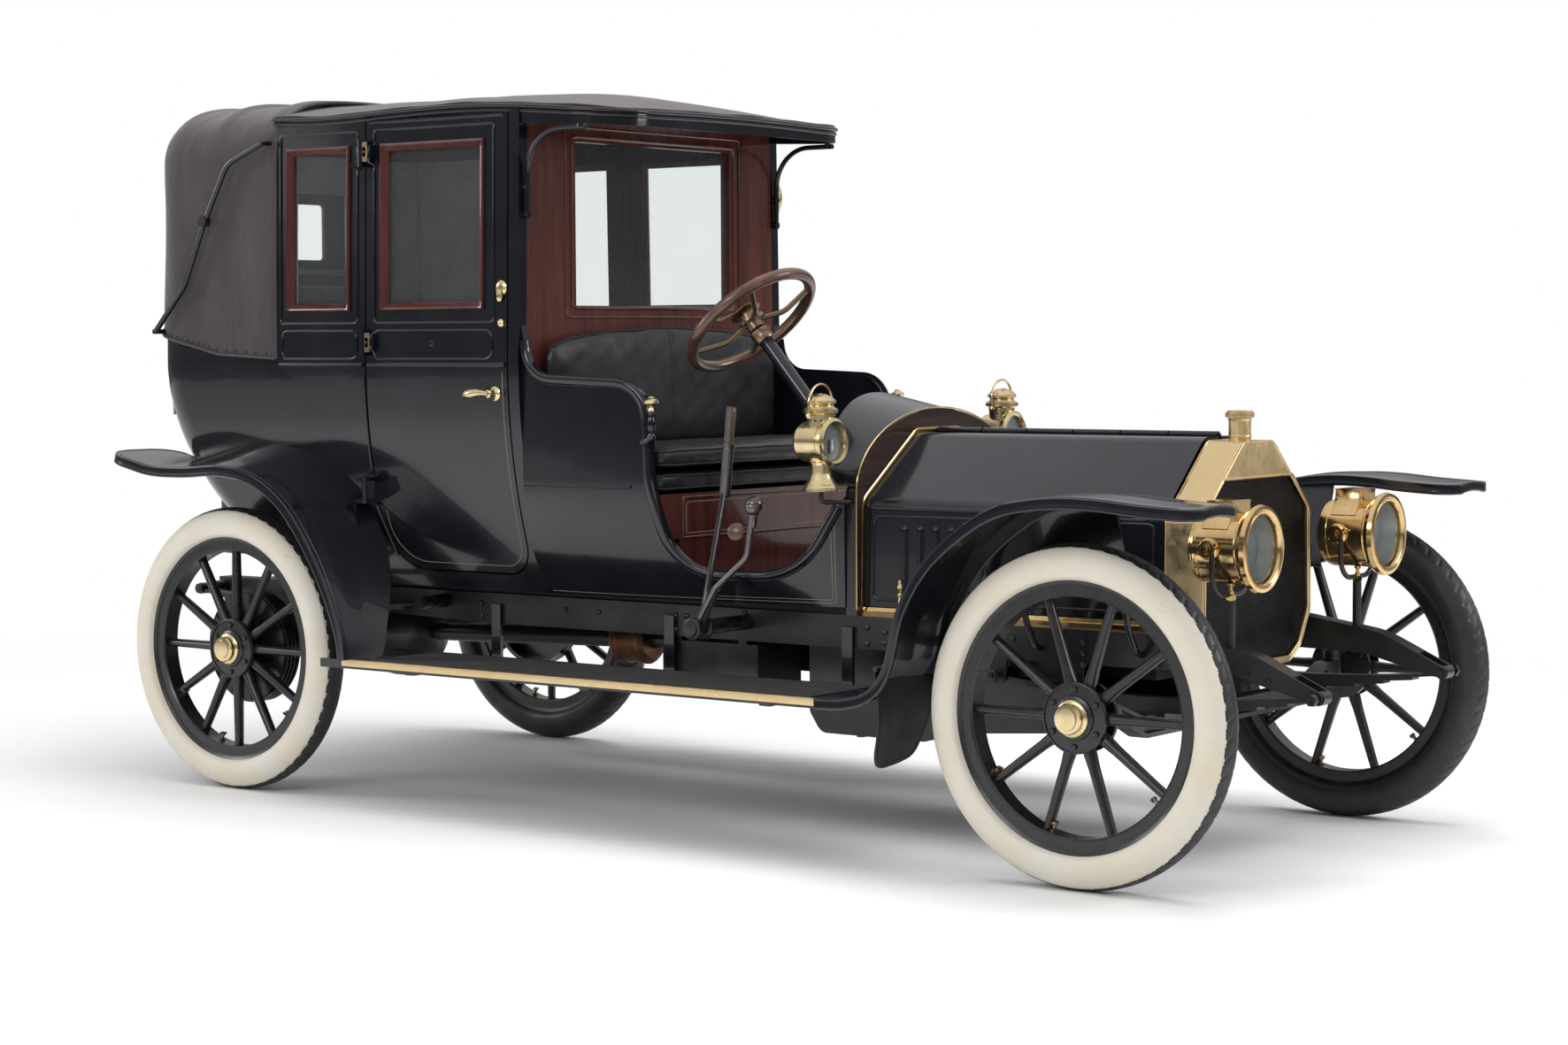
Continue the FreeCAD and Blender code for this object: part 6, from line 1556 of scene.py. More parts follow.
def bonnetTrim(side, out, sizes):
    # panel bead, louvres, studs, hinge knuckles and the hold-down of one half
    tree = nodeTree("bonnet_" + side)
    body = "bonnet_" + side
    rear, front, low, high, radius = sizes["panel"]
    beads = [onSide(tree, rounded(box2d(rear, front, low, high, radius), True), out, bead(0.008, 0.0035),
                    0.012, True)]
    beads.append(onSide(tree, [(sizes["rear"] + 0.006, 0.9245), (sizes["front"] - 0.006, 0.9205)], out,
                        bead(0.011, 0.004)))
    for k in range(sizes["louvres"]):
        beads.append(louvre(tree, sizes["first"] + k * sizes["pitch"], out, sizes))
    studsAt = [laid(tree, [(x + frontAxle + d, out * 1.2, 0.913) for d in (-0.002, 0, 0.002)], (0, -out, 0))
               for x in (-0.868, -0.06)]
    beads += [studs([places[1]], normals[1], [(0, 0), (0.005, 0), (0.004, 0.003), (0, 0.004)]) for places,
              normals in studsAt]
    addPiece("bonnet_press_" + side, beads, coachBlack, body, 50)
    # this side's knuckles of the long middle hinge
    length = (sizes["front"] - sizes["rear"]) / 24
    knuckles = []
    for k in range(24):
        if (k % 2 == 0) == (out < 0):
            start = sizes["rear"] + k * length + 0.0006
            knuckles.append(tube([at(start, 0, sizes["hinge"]),
                                  at(start + length - 0.0012, 0, sizes["hinge"])], 0.0055, 10))
    addPiece("bonnet_hinge_" + side, knuckles, ironBlack, body, 40)
    # turned hold-down at the lower edge, near the dash
    places, normals = laid(tree, [(-0.803 + frontAxle + d, out * 1.2, 0.69) for d in (-0.002, 0, 0.002)],
                           (0, -out, 0))
    foot = places[1] + (0, out * 0.014, -0.04)
    knob = [(0, 0), (0.01, 0), (0.011, 0.004), (0.0075, 0.008), (0.0065, 0.03), (0.0085, 0.034),
            (0.0085, 0.038),
            (0.005, 0.042), (0.0095, 0.05), (0.0105, 0.056), (0.008, 0.062), (0.0055, 0.066), (0.007, 0.071),
            (0.006, 0.077), (0, 0.08)]
    clip = tube([places[1] + (0, 0, -0.028), places[1] + (0, out * 0.01, -0.026), foot + (0, 0, 0.018)],
                0.005, 10)
    addPiece("bonnet_catch_" + side, [turned(knob, foot, (0, 0, 1), 24), clip], paleBrass, body, 30)


def bonnetLedge(side, out):
    # stepped brass strip along the frame below the bonnet, which widens to the rear with it
    x = np.linspace(-0.9295, -0.0095, 40)
    y = out * (np.interp(x, (-0.9245, -0.0125), (0.3705, 0.3065)) + 0.001)
    path = np.stack([x + frontAxle, y, np.full(40, 0.6235)], 1)
    section = [(-0.0225, -0.004), (-0.0225, 0.006), (-0.012, 0.01), (-0.01, 0.015), (0.004, 0.017),
               (0.007, 0.022),
               (0.014, 0.023), (0.017, 0.018), (0.017, -0.004)]
    normal = np.broadcast_to((0, out, 0), path.shape)
    flip = np.array(section) * ((out, 1) if out > 0 else (-1, 1))
    piece = ribbon(path, normal, flip * (-1, 1))
    addPiece("bonnet_ledge_" + side, [piece], brass, "chassis", 30)


dashSizes = {
    "face": -0.93,
    # half outline of the bonnet's rear opening, and the board's arched edge
    "bonnet": ((0.0, 1.131, 0.0), (0.11, 1.131, 0.03), (0.37, 0.944, 0.03), (0.378, 0.64, 0.0)),
    "half": 0.404,
    "spring": 0.97,
    "top": 1.196,
}


def archLine(half, spring, top, inset=0.0, foot=0.64):
    # upright sides and a half ellipse over them, drawn in by inset
    angle = np.linspace(0, math.pi, 61)
    half, rise = half - inset, top - spring - inset
    arch = np.stack([half * np.cos(angle), spring + rise * np.sin(angle)], 1)
    return np.concatenate([[(half, foot)], arch, [(-half, foot)]])


def dashTrim(sizes):
    # brass strip on the bonnet's line, brass edge on the arch, varnished board between them
    face = sizes["face"]
    corners = [(-y, z, r) for y, z,
               r in sizes["bonnet"][1:]][::-1] + [(y, z, r) for y, z, r in sizes["bonnet"][1:]]
    inner = evenly(rounded(corners), 0.01)
    places = inPlane(face, inner)
    forward = np.broadcast_to((1.0, 0, 0), places.shape)
    addPiece("dash_strip",
             [ribbon(places, forward, [(0.009, -0.001), (0.009, 0.003), (0.006, 0.0045), (-0.006, 0.0045),
                                                     (-0.009, 0.003), (-0.009, -0.001)])], brass, "chassis",
                                                     40)
    line = evenly(archLine(sizes["half"], sizes["spring"], sizes["top"]), 0.012)
    outer = inPlane(face, line)
    addPiece("dash_edge", [tube(outer + (0.0005, 0, 0), 0.0028, 10)], brass, "chassis", 40)
    # varnished face board between the two brass lines
    rings = []
    for inset, x in ((0.004, face - 0.001), (0.004, face + 0.002), (0.02, face + 0.0028),
                     (0.03, face + 0.0028)):
        ring = evenly(archLine(sizes["half"], sizes["spring"], sizes["top"], inset, 0.645), 0.012)
        ring = np.stack([np.interp(np.linspace(0, 1, 160), np.linspace(0, 1, len(ring)),
                                   ring[:, k]) for k in (0, 1)], 1)
        rings.append(np.concatenate([np.full((160, 1), x + frontAxle), ring], 1))
    ring = np.stack([np.interp(np.linspace(0, 1, 160), np.linspace(0, 1, len(inner)),
                               inner[::-1, k]) for k in (0, 1)], 1)
    rings.append(np.concatenate([np.full((160, 1), face + 0.0028 + frontAxle), ring], 1))
    addPiece("dash_board_face", [surface(np.array(rings))], dashBrown, "chassis", 40)


for side, out in sides:
    bonnetTrim(side, out, bonnetSizes)
    bonnetLedge(side, out)
radiatorTrim(radiatorSizes)
dashTrim(dashSizes)
print("front ready")


lampSizes = {
    "centre": (0.362, 0.853),
    "drum": 0.092,
    "reflector": [(0, -0.1475), (0.03, -0.133), (0.0575, -0.12), (0.0695, -0.083), (0.0815, -0.043),
                  (0.087, -0.024),
                  (0.0855, -0.023), (0.08, -0.042), (0.0675, -0.083), (0.0545, -0.115), (0.03, -0.129),
                  (0, -0.143)],
    "port": [(0, 0.021), (0.004, 0.021), (0.005, 0.0185), (0.01, 0.018), (0.011, 0.014), (0.016, 0.0135),
             (0.018, 0.016),
             (0.0215, 0.016), (0.023, 0.012), (0.026, 0.011), (0.0285, 0.0075), (0.0285, -0.004)],
}


def headlampTrim(side, out, sizes):
    # turned bands and ports, the tap and its wing, the chimney's lid, reflector and burner
    y, z = sizes["centre"][0] * out, sizes["centre"][1]
    rings = []
    for x, reach, thick in ((0.288, 0.0965, 0.0032), (0.2775, 0.0945, 0.0026), (0.166, 0.093, 0.0034),
                            (0.15, 0.0905, 0.003)):
        rings.append(turned([(reach - 0.006, -thick), (reach - 0.001, -thick), (reach, 0),
                             (reach - 0.001, thick),
                             (reach - 0.006, thick)], at(x, y, z), (1, 0, 0), 96, True))
    rim = [(0.0885, -0.006), (0.0905, -0.0015), (0.094, 0.0012), (0.0975, 0.0016), (0.0975, -0.006)]
    rings.append(turned(rim, at(0.3145, y, z), (1, 0, 0), 96, True))
    for across in (-1, 1):
        rings.append(turned(sizes["port"], at(0.206, y + across * (sizes["drum"] - 0.001), z + 0.002),
                            (0, across, 0), 40))
        rings.append(studs([at(0.206 + a, y + across * (sizes["drum"] + 0.009), z + 0.002 + b)
                            for a, b in ((0.024, 0.012), (-0.024, -0.012))], (0, across, 0),
                           [(0, 0), (0.0055, 0), (0.0045, 0.005), (0, 0.006)]))
    tap = at(0.236, y - 0.03, z - 0.0885)
    rings.append(turned([(0.0, 0.0), (0.009, 0.0), (0.009, 0.006), (0.005, 0.009), (0.005, 0.018),
                         (0.0075, 0.02),
                         (0.0075, 0.027), (0, 0.028)], tap, (0, 0, -1), 20))
    wing = np.array([(0.004, 0), (0.013, 0.004), (0.015, 0.014), (0.01, 0.02), (0.0, 0.015), (-0.01, 0.02),
                     (-0.015, 0.014), (-0.013, 0.004), (-0.004, 0)])
    rings.append(plate(wing, tap + (0, 0.0015, -0.046), (1, 0, 0), (0, 0, 1), 0.003, 0.001))
    # the chimney box's lid, with its sloping front and two side lips
    half = [(0.05, 0.1235), (0.05, 0.1205), (0.0465, 0.119), (0.048, 0.104), (0.054, 0.088), (0.064, 0.072),
            (0.078, 0.054)]
    saddle = np.array([(a, b) for a, b in half[::-1]] + [(-a, b) for a, b in half])
    rings.append(plate(saddle, at(0.176, y, z), (0, 1, 0), (0, 0, 1), 0.074, 0.0015))
    addPiece("headlamp_bands_" + side, rings, brass, "chassis", 40)
    addPiece("headlamp_reflector_" + side, [turned(sizes["reflector"], at(0.316, y, z), (1, 0, 0), 96)],
             silvered,
             "chassis", 60)
    glass = at(0.316, y, z)
    addPiece("headlamp_inner_ring_" + side,
             [turned([(0.066, -0.06), (0.068, -0.06), (0.068, -0.057), (0.066, -0.057)],
                                                    glass, (1, 0, 0), 96, True),
                                             turned([(0, -0.1), (0.012, -0.098), (0.013, -0.08),
                                                     (0.009, -0.066),
                                                     (0, -0.064)], glass, (1, 0, 0), 24)], silvered,
                                                     "chassis", 40)
    addPiece("headlamp_slot_" + side,
             [plate(np.array([(-0.036, 0), (0.036, 0), (0.038, 0.024), (-0.038, 0.024)]),
                                             at(0.2495, y, z + 0.092), (0, 1, 0), (0, 0, 1), 0.0022, 0.0008)],
             copperBrown, "chassis", 30)


def sideLampTrim(side, out):
    # bezel beads, a seen burner inside, black discs for the vent holes round the chimney (their black is
    # painted shade of the lamp's dark inside) and feet for the bail
    x, y, z = -1.008, out * 0.464, 1.108
    bands = []
    for height, radius in ((0.9765, 0.0505), (0.9905, 0.0445), (1.0225, 0.029), (1.0525, 0.033),
                           (1.1875, 0.044),
                           (1.201, 0.045), (1.2195, 0.0435), (1.2385, 0.018)):
        bands.append(turned([(radius - 0.004, -0.0018), (radius, -0.0014), (radius + 0.001, 0),
                             (radius, 0.0014),
                             (radius - 0.004, 0.0018)], at(x, y, height), (0, 0, 1), 48, True))
    bands.append(turned([(0.0565, -0.002), (0.0605, -0.002), (0.0615, 0.001), (0.059, 0.0035),
                         (0.0565, 0.003)],
                        at(x + 0.048, y, z), (1, 0, 0), 64, True))
    bands.append(turned([(0.054, -0.002), (0.0568, -0.0015), (0.0568, 0.0015), (0.054, 0.002)],
                        at(x + 0.016, y, z),
                        (1, 0, 0), 64, True))
    bands.append(turned([(0, 0), (0.016, 0), (0.018, 0.004), (0.012, 0.008), (0.01, 0.014), (0, 0.016)],
                        at(x - 0.065, y, z), (-1, 0, 0), 32))
    for across in (-1, 1):
        pivot = [(0, -0.008), (0.008, -0.008), (0.008, 0.002), (0.005, 0.005), (0, 0.006)]
        bands.append(studs([at(x, y + across * 0.0585, 1.182)], (0, across, 0), pivot, 16))
    addPiece("side_lamp_bands_" + side, bands, paleBrass, "chassis", 40)
    # the vent holes are not cut: small raised black discs stand in for them, a painted shade of the lamp's
    # inside
    angle = fullTurn(14)
    holes = [studs([at(x, y, 1.168) + 0.0374 * np.array((math.cos(a), math.sin(a), 0))],
                   (math.cos(a), math.sin(a), 0),
                   [(0, 0), (0.0032, 0), (0.0032, 0.0012), (0, 0.0013)]) for a in angle]
    addPiece("side_lamp_vent_shade_" + side, holes, ironBlack, "chassis", 40)
    inner = [turned([(0, 0.003), (0.049, 0.003), (0.0495, 0.006), (0.03, 0.0045), (0, 0.004)],
                    at(x + 0.026, y, z),
                    (1, 0, 0), 64),
             turned([(0, -0.03), (0.006, -0.03), (0.007, -0.012), (0.004, -0.008), (0.0045, 0.004),
                     (0, 0.014)],
                    at(x + 0.036, y, z), (0, 0, 1), 20)]
    addPiece("side_lamp_reflector_" + side, inner, silvered, "chassis", 40)


for side, out in sides:
    headlampTrim(side, out, lampSizes)
    sideLampTrim(side, out)
print("lamps ready")


wingSizes = {
    # the top's side view behind the front axle, from the board to the squared tip
    "path": ((-0.735, 0.449), (-0.64, 0.455), (-0.563, 0.482), (-0.514, 0.548), (-0.474, 0.69),
             (-0.397, 0.813),
             (-0.288, 0.907), (-0.182, 0.966), (-0.077, 0.989), (0.026, 0.997), (0.127, 0.994),
             (0.227, 0.985),
             (0.325, 0.979), (0.388, 0.977)),
    "inner": 0.608,
    "outer": 0.872,
    "corner": 0.055,
    "profile": ((0, 0), (0.15, 0.0045), (0.5, 0.008), (0.85, 0.0045), (1, 0)),
    "level": (-9.0, -8.0),
    "heading": 1,
    "innerApron": 150,
}


def curveThrough(points, step):
    # a smooth line through its points: each run is a cubic whose slopes come from the neighbours
    points = np.array(points, float)
    wide = np.concatenate([[2 * points[0] - points[1]], points, [2 * points[-1] - points[-2]]])
    share = np.linspace(0, 1, 12, endpoint=False)[None, :, None]
    before, start, end, after = (wide[k:k + len(points) - 1, None] for k in range(4))
    line = start + 0.5 * (share * (end - before) + share ** 2 * (2 * before - 5 * start + 4 * end - after)
                          + share ** 3 * (3 * (start - end) + after - before))
    return evenly(np.concatenate([line.reshape(-1, points.shape[1]), points[-1:]]), step)


def wingSurface(sizes, side):
    # line of the outer edge, the inner and outer reach (rounded off at the tip) and the upward normal
    line = curveThrough(sizes["path"], 0.009)
    tangent = frames(line)
    upward = np.stack([-tangent[:, 1], np.zeros(len(line)), tangent[:, 0]], 1) * sizes["heading"]
    tip, corner = line[-1, 0], sizes["corner"]
    past = np.clip(1 - np.abs(line[:, 0] - tip) / corner, 0, 1)
    drawn = corner * (1 - np.sqrt(np.clip(1 - past ** 2, 0, 1)))
    inner = np.full(len(line), sizes["inner"])
    if "against" in sizes:
        tree = nodeTree(*[name.format(side) for name in sizes["against"]])
        out = 1 if side == "left" else -1
        for k in range(len(line)):
            hit = tree.ray_cast(Vector(at(line[k, 0], out * 1.2, line[k, 1] + 0.03)), Vector((0, -out, 0)))[0]
            if hit:
                inner[k] = max(abs(hit.y) + (0.007 if line[k, 0] > sizes["door"] else -0.003),
                               sizes["inner"] - 0.02)
        inner = np.convolve(np.pad(inner, 6, "edge"), np.ones(13) / 13, "valid")
    if "foot" in sizes:
        inner = np.maximum(inner,
                           np.where(line[:, 0] > sizes["door"],
                                    np.interp(line[:, 1], *np.array(sizes["foot"]).T), 0))
    return line, inner + drawn, sizes["outer"] - drawn, upward


def wingTop(sizes, side, share, lift=0.0):
    # the top skin: share 0 is the inner edge and 1 the outer; its rise comes from the profile
    line, inner, outer, normal = wingSurface(sizes, side)
    share = np.asarray(share, float)
    rise = np.interp(share, *np.array(sizes["profile"]).T)
    flatX, fullX = sizes["level"]
    full = np.clip((line[:, 0] - flatX) / (fullX - flatX), 0, 1)
    full = full * full * (3 - 2 * full)
    rise = rise[None, :] * full[:, None] + lift
    y = inner[:, None] + (outer - inner)[:, None] * share[None, :]
    out = 1 if side == "left" else -1
    flatPoints = np.stack([np.broadcast_to(line[:, :1] + frontAxle, y.shape), out * y,
                           np.broadcast_to(line[:, 1:], y.shape)], -1)
    return flatPoints + rise[..., None] * normal[:, None]


def capped(ring):
    # closes both ends of a row of rings with a fan to each one's middle
    middle = ring.mean(1, keepdims=True)
    return surface(np.concatenate([np.broadcast_to(middle[:1], ring[:1].shape), ring,
                                   np.broadcast_to(middle[-1:], ring[-1:].shape)]), False, True)


apron = [(-0.0035, 0.0005), (0.0, 0.0022), (0.0035, 0.0005), (0.0035, -0.019), (0.0048, -0.0225),
         (0.0035, -0.0265),
         (0, -0.028), (-0.0035, -0.0265), (-0.0048, -0.0225), (-0.0035, -0.019)]


def wingShell(side, sizes):
    # top skin, and an apron with a rolled lower edge round its outer edge, tip and inner edge
    share = np.linspace(0, 1, 25)
    shapes = [capped(np.concatenate([wingTop(sizes, side, share), wingTop(sizes, side, share[::-1], -0.004)],
                                    1))]
    normal = wingSurface(sizes, side)[3]
    edges = wingTop(sizes, side, (0, 1))
    tip = wingTop(sizes, side, np.linspace(0, 1, 12))[-1]
    keep = sizes["innerApron"]
    rim = np.concatenate([edges[:, 1], tip[::-1][1:-1], edges[::-1, 0][:keep]])
    up = np.concatenate([normal, np.repeat(normal[-1:], 10, 0), normal[::-1][:keep]])
    shapes.append(ribbon(rim, up, apron))
    inset = wingTop(sizes, side, (0.055, 0.945))
    rows = slice(0, -5)
    shapes.append(ribbon(inset[rows, 1], normal[rows], bead(0.006, 0.0022)))
    return shapes


def frontWing(side, out, sizes):
    shapes = wingShell(side, sizes)
    # inner skirt from the wing down towards the rail, under the wing's own line
    x = np.linspace(-0.54, 0.025, 40)
    line = curveThrough(sizes["path"], 0.009)
    top = np.interp(x, line[:, 0], line[:, 1]) - 0.012
    share = np.linspace(0, 1, 14)[None, :]
    foot = np.minimum(0.745, top - 0.01)
    z = top[:, None] * (1 - share) + foot[:, None] * share
    y = 0.6075 - 0.085 * np.clip((0.96 - z) / 0.215, 0, 1)
    faces = [np.stack([np.broadcast_to(x[:, None] + frontAxle, z.shape), out * (y + d), z],
                      -1) for d in (0.0025, -0.0025)]
    shapes.append(capped(np.concatenate([faces[0], faces[1][:, ::-1]], 1)))
    shapes.append(tube(np.stack([x + frontAxle, out * (y[:, -1]), foot], 1), 0.0045, 8))
    for x in (-0.33, -0.02):
        route = [at(x, out * 0.376, 0.56), at(x, out * 0.43, 0.575), at(x, out * 0.47, 0.64),
                 at(x, out * 0.505, 0.735),
                 at(x, out * 0.538, 0.8)]
        shapes.append(tube(evenly(route, 0.015), 0.009, 12))
        shapes.append(studs([at(x, out * 0.3775, 0.56)], (0, out, 0),
                            [(0, 0), (0.018, 0), (0.018, 0.005), (0.01, 0.012), (0, 0.013)], 6))
    addPiece("front_wing_" + side, shapes, coachBlack, "chassis", 45,
             ("front_wings",) if side == "right" else ())


rearWingSizes = {
    # from the running board up over the wheel to the flat tail
    "path": ((-2.466, 0.447), (-2.478, 0.52), (-2.525, 0.64), (-2.605, 0.775), (-2.715, 0.905),
             (-2.85, 0.985),
             (-3.0, 1.01), (-3.16, 1.002), (-3.3, 1.004), (-3.4, 1.022), (-3.52, 1.05)),
    "inner": 0.6,
    "outer": 0.872,
    "corner": 0.09,
    "profile": ((0, 0.062), (0.25, 0.046), (0.5, 0.03), (0.78, 0.014), (1, 0)),
    "level": (-3.44, -3.16),
    "heading": -1,
    "against": ("cabin_tub", "door_{}"),
    "door": -2.68,
    "foot": ((0.447, 0.775), (0.53, 0.735), (0.64, 0.668), (0.74, 0.62), (0.9, 0.6)),  # inner reach by height
    "innerApron": 30,
}


flapSizes = {
    # outline of the leather flap behind the front wheel: sideways and height
    "outline": ((0.611, 0.536, 0.004), (0.866, 0.536, 0.004), (0.864, 0.262, 0.06), (0.668, 0.292, 0.05),
                (0.612, 0.42, 0.03)),
    "x": -0.548,
    "thick": 0.005,
    "belly": 0.016,
}


def wingFlap(side, out, sizes):
    # stiff leather hung from the wing's rear edge: it bellies a little towards the wheel
    # as a sine of the drop, and has a stitched edge
    outline = evenly(rounded(sizes["outline"], True), 0.012, True)
    middle = outline.mean(0)
    scales = np.array((0.0, 0.25, 0.5, 0.75, 0.9, 0.97, 1.0))
    rings = middle + (outline - middle) * scales[:, None, None]

    def place3(rings, lift):
        y, z = rings[..., 0], rings[..., 1]
        down = np.clip((0.536 - z) / 0.27, 0, 1)
        hang = sizes["x"] + sizes["belly"] * np.sin(down * math.pi * 0.9)
        x = hang + 0.004 * np.sin(y * 41 + z * 9) * down - 0.02 * down ** 2
        return np.stack([x + lift + frontAxle, out * y, z], -1)

    front, rear = place3(rings, sizes["thick"] / 2), place3(rings[::-1], -sizes["thick"] / 2)
    shapes = [surface(np.concatenate([front, rear]), False, True)]
    line = place3(middle + (outline - middle) * 0.93, sizes["thick"] / 2)
    shapes.append(tube(line, 0.0014, 6, True))
    piece = addPiece("wing_flap_" + side, shapes, flapLeather, "chassis", 50)
    fold = [tube([at(-0.544, out * y, 0.538) for y in (0.612, 0.7, 0.78, 0.866)], 0.008, 10)]
    heads = [at(-0.537, out * y, 0.538) for y in (0.635, 0.7, 0.77, 0.84)]
    fold.append(studs(heads, (1, 0, 0), [(0, 0), (0.007, 0), (0.006, 0.003), (0, 0.005)]))
    addPiece("flap_clamp_" + side, fold, ironBlack, "chassis", 40)


boardSizes = {
    "strip": ((-2.497, 0.8515, 0), (-0.738, 0.8515, 0.012), (-0.738, 0.56, 0)),
    "stripHeight": 0.4455,
    "ribs": (0.558, 0.832, 0.0105),  # first, end, pitch
    "ribHeight": 0.4488,
    "ribRun": (-2.395, -1.6, -0.775),
}


def boardTrim(side, out, sizes):
    # brass strip round the board's edge, and a ribbed mat
    line = evenly(rounded(sizes["strip"]), 0.02)
    path = np.stack([line[:, 0] + frontAxle, out * line[:, 1], np.full(len(line), sizes["stripHeight"])], 1)
    section = [(-0.003, -0.018), (0.0012, -0.018), (0.002, -0.006), (0.0014, 0.0022), (-0.012, 0.0026),
               (-0.016, 0.001),
               (-0.016, -0.002), (-0.003, -0.003)]
    flip = np.array(section) * ((-1, 1) if out > 0 else (1, 1))
    addPiece("board_strip_" + side, [ribbon(path, np.broadcast_to((0, 0, 1.0), path.shape), flip)],
             satinBrass, "chassis",
             30)
    ribs = []
    for y in np.arange(*sizes["ribs"]):
        ribs.append(ribbon([at(x, out * y, sizes["ribHeight"]) for x in sizes["ribRun"]], [(0, 0, 1.0)] * 3,
                           bead(0.005, 0.0018, 5)))
    addPiece("board_ribs_" + side, ribs, matRubber, "chassis", 40)


def rearWing(side, sizes):
    # the shell alone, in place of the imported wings
    addPiece("rear_wing_" + side, wingShell(side, sizes), coachBlack, "chassis", 45,
             ("rear_wings",) if side == "right" else ())


for side, out in sides:
    frontWing(side, out, wingSizes)
    wingFlap(side, out, flapSizes)
    boardTrim(side, out, boardSizes)
    rearWing(side, rearWingSizes)
print("wings ready")


def handOf(profile, places):
    # the turned profile at a share of a line between two points
    start, end = np.array(places[0]), np.array(places[1])
    length = np.linalg.norm(end - start)
    return turned([(r, h * length) for r, h in profile], start, end - start, 28)


def leverDress():
    # brake lever: brown grip, dark sleeve and its ratchet rod; gear lever: round knob and a brown disc
    y = -0.39
    knee, hand = at(-1.228, y - 0.225, 0.96), at(-1.204, y - 0.225, 1.208)
    sleeve = knee + (hand - knee) * 0.6
    addPiece("brake_grip",
             [handOf([(0, 0), (0.0122, 0), (0.0125, 0.08), (0.013, 0.45), (0.015, 0.78), (0.0145, 0.92),
                                    (0.01, 0.99), (0, 1.0)], (sleeve, hand))], gripWood, "chassis",
                                    50)
    barrel = handOf([(0, -0.03), (0.0115, -0.03), (0.015, 0.02), (0.0145, 0.3), (0.015, 0.86), (0.0175, 0.9),
                     (0.0175, 0.97),
                     (0.0135, 1.0), (0, 1.0)], (knee, sleeve))
    rod = [at(-1.2895, y - 0.231, 0.69), at(-1.262, y - 0.238, 0.82), at(-1.2235, y - 0.243, 0.968)]
    addPiece("brake_sleeve", [barrel, tube(evenly(rod, 0.02), 0.0035, 8)], ironBlack, "chassis", 40)
    foot = at(-1.322, y, 0.585)
    cap = [(0, 0), (0.028, 0), (0.031, 0.004), (0.031, 0.012), (0.024, 0.014), (0.022, 0.02), (0.012, 0.022),
           (0, 0.0225)]
    arms = [turned(cap, foot + (0, -0.251, 0), (0, -1, 0), 40),
            turned([(0, 0), (0.034, 0), (0.034, 0.01), (0.026, 0.014), (0, 0.014)], foot + (0, -0.202, 0),
                   (0, -1, 0), 40)]
    blade = np.array([(-0.014, 0.0), (0.014, 0.0), (0.011, 0.118), (-0.008, 0.118)])
    direction = np.array((0.026, 0, 0.115))
    direction /= np.linalg.norm(direction)
    arms.append(plate(blade, foot + (0, -0.206, 0), np.cross(direction, (0, -1.0, 0)), direction, 0.015,
                      0.002))
    blade = np.array([(-0.016, 0.0), (0.016, 0.0), (0.012, 0.136), (-0.01, 0.136)])
    direction = np.array((0.072, 0, 0.115))
    direction /= np.linalg.norm(direction)
    arms.append(plate(blade, foot + (0, -0.232, 0), np.cross(direction, (0, -1.0, 0)), direction, 0.014,
                      0.002))
    addPiece("lever_arms", arms, ironBlack, "chassis", 40)
    knob = at(-1.116, y - 0.24, 0.925)
    gear = [turned([(0, -0.052), (0.011, -0.05), (0.0105, -0.02), (0.015, -0.008), (0.0235, 0.008),
                    (0.0245, 0.018),
                    (0.019, 0.03), (0.008, 0.0355), (0, 0.036)], knob, (0.1, 0, 1), 32)]
    addPiece("gear_knob", gear, steelKnob, "chassis", 60)
    addPiece("gear_disc", [turned([(0, -0.004), (0.021, -0.004), (0.025, 0), (0.021, 0.004), (0, 0.005)],
                                  at(-1.178, y - 0.242, 0.862), (0.3, -0.9, 0.2), 32)], gripWood, "chassis",
                                  60)


steeringSizes = {
    "rake": 48.5,
    "hub": (-1.371, -0.304, 1.448),
    "top": 0.0215,  # from the hub to the quadrant, along the column
    "collar": 0.045,
    "levers": ((30, 0.105), (155, 0.095)),  # degrees, length
}


def steeringDress(sizes):
    # fixed quadrant with two small levers over the wheel, and a bronze collar and nut below the boss
    rake = math.radians(sizes["rake"])
    up = np.array((-math.cos(rake), 0, math.sin(rake)))
    across = np.array((0, 1.0, 0))
    along = np.cross(up, across)
    hub = at(*sizes["hub"])
    top = hub + up * sizes["top"]
    shapes = [turned([(0, 0), (0.018, 0), (0.018, 0.006), (0.046, 0.008), (0.048, 0.01), (0.046, 0.013),
                      (0.02, 0.015),
                      (0.014, 0.022), (0.006, 0.024), (0, 0.0245)], top, up, 48)]
    for degrees, length in sizes["levers"]:
        ray = across * math.cos(math.radians(degrees)) + along * math.sin(math.radians(degrees))
        shapes.append(tube([top + up * 0.012, top + up * 0.017 + ray * 0.05, top + up * 0.012 + ray * length],
                           (0.0045, 0.0035, 0.003), 10))
        shapes.append(turned([(0, 0), (0.005, 0.001), (0.008, 0.008), (0.006, 0.016), (0, 0.018)],
                             top + up * 0.008 + ray * length, up, 20))
    addPiece("wheel_levers", shapes, bronze, "chassis", 40)
    low = hub - up * sizes["collar"]
    addPiece("column_collar",
             [turned([(0.0225, 0), (0.03, 0), (0.032, 0.006), (0.03, 0.03), (0.0265, 0.036), (0.0225, 0.036)],
                                      low, -up, 40, True)], bronze, "chassis", 40)


fittingSizes = {
    # places on the door's outside: along and up
    "handle": (-2.068, 1.238),
    "lock": (-2.04, 1.548),
    "catch": (-2.04, 1.445),
    "keyhole": (-2.32, 1.386),
    "hinges": ((-2.575, 1.965), (-2.575, 1.39)),
}


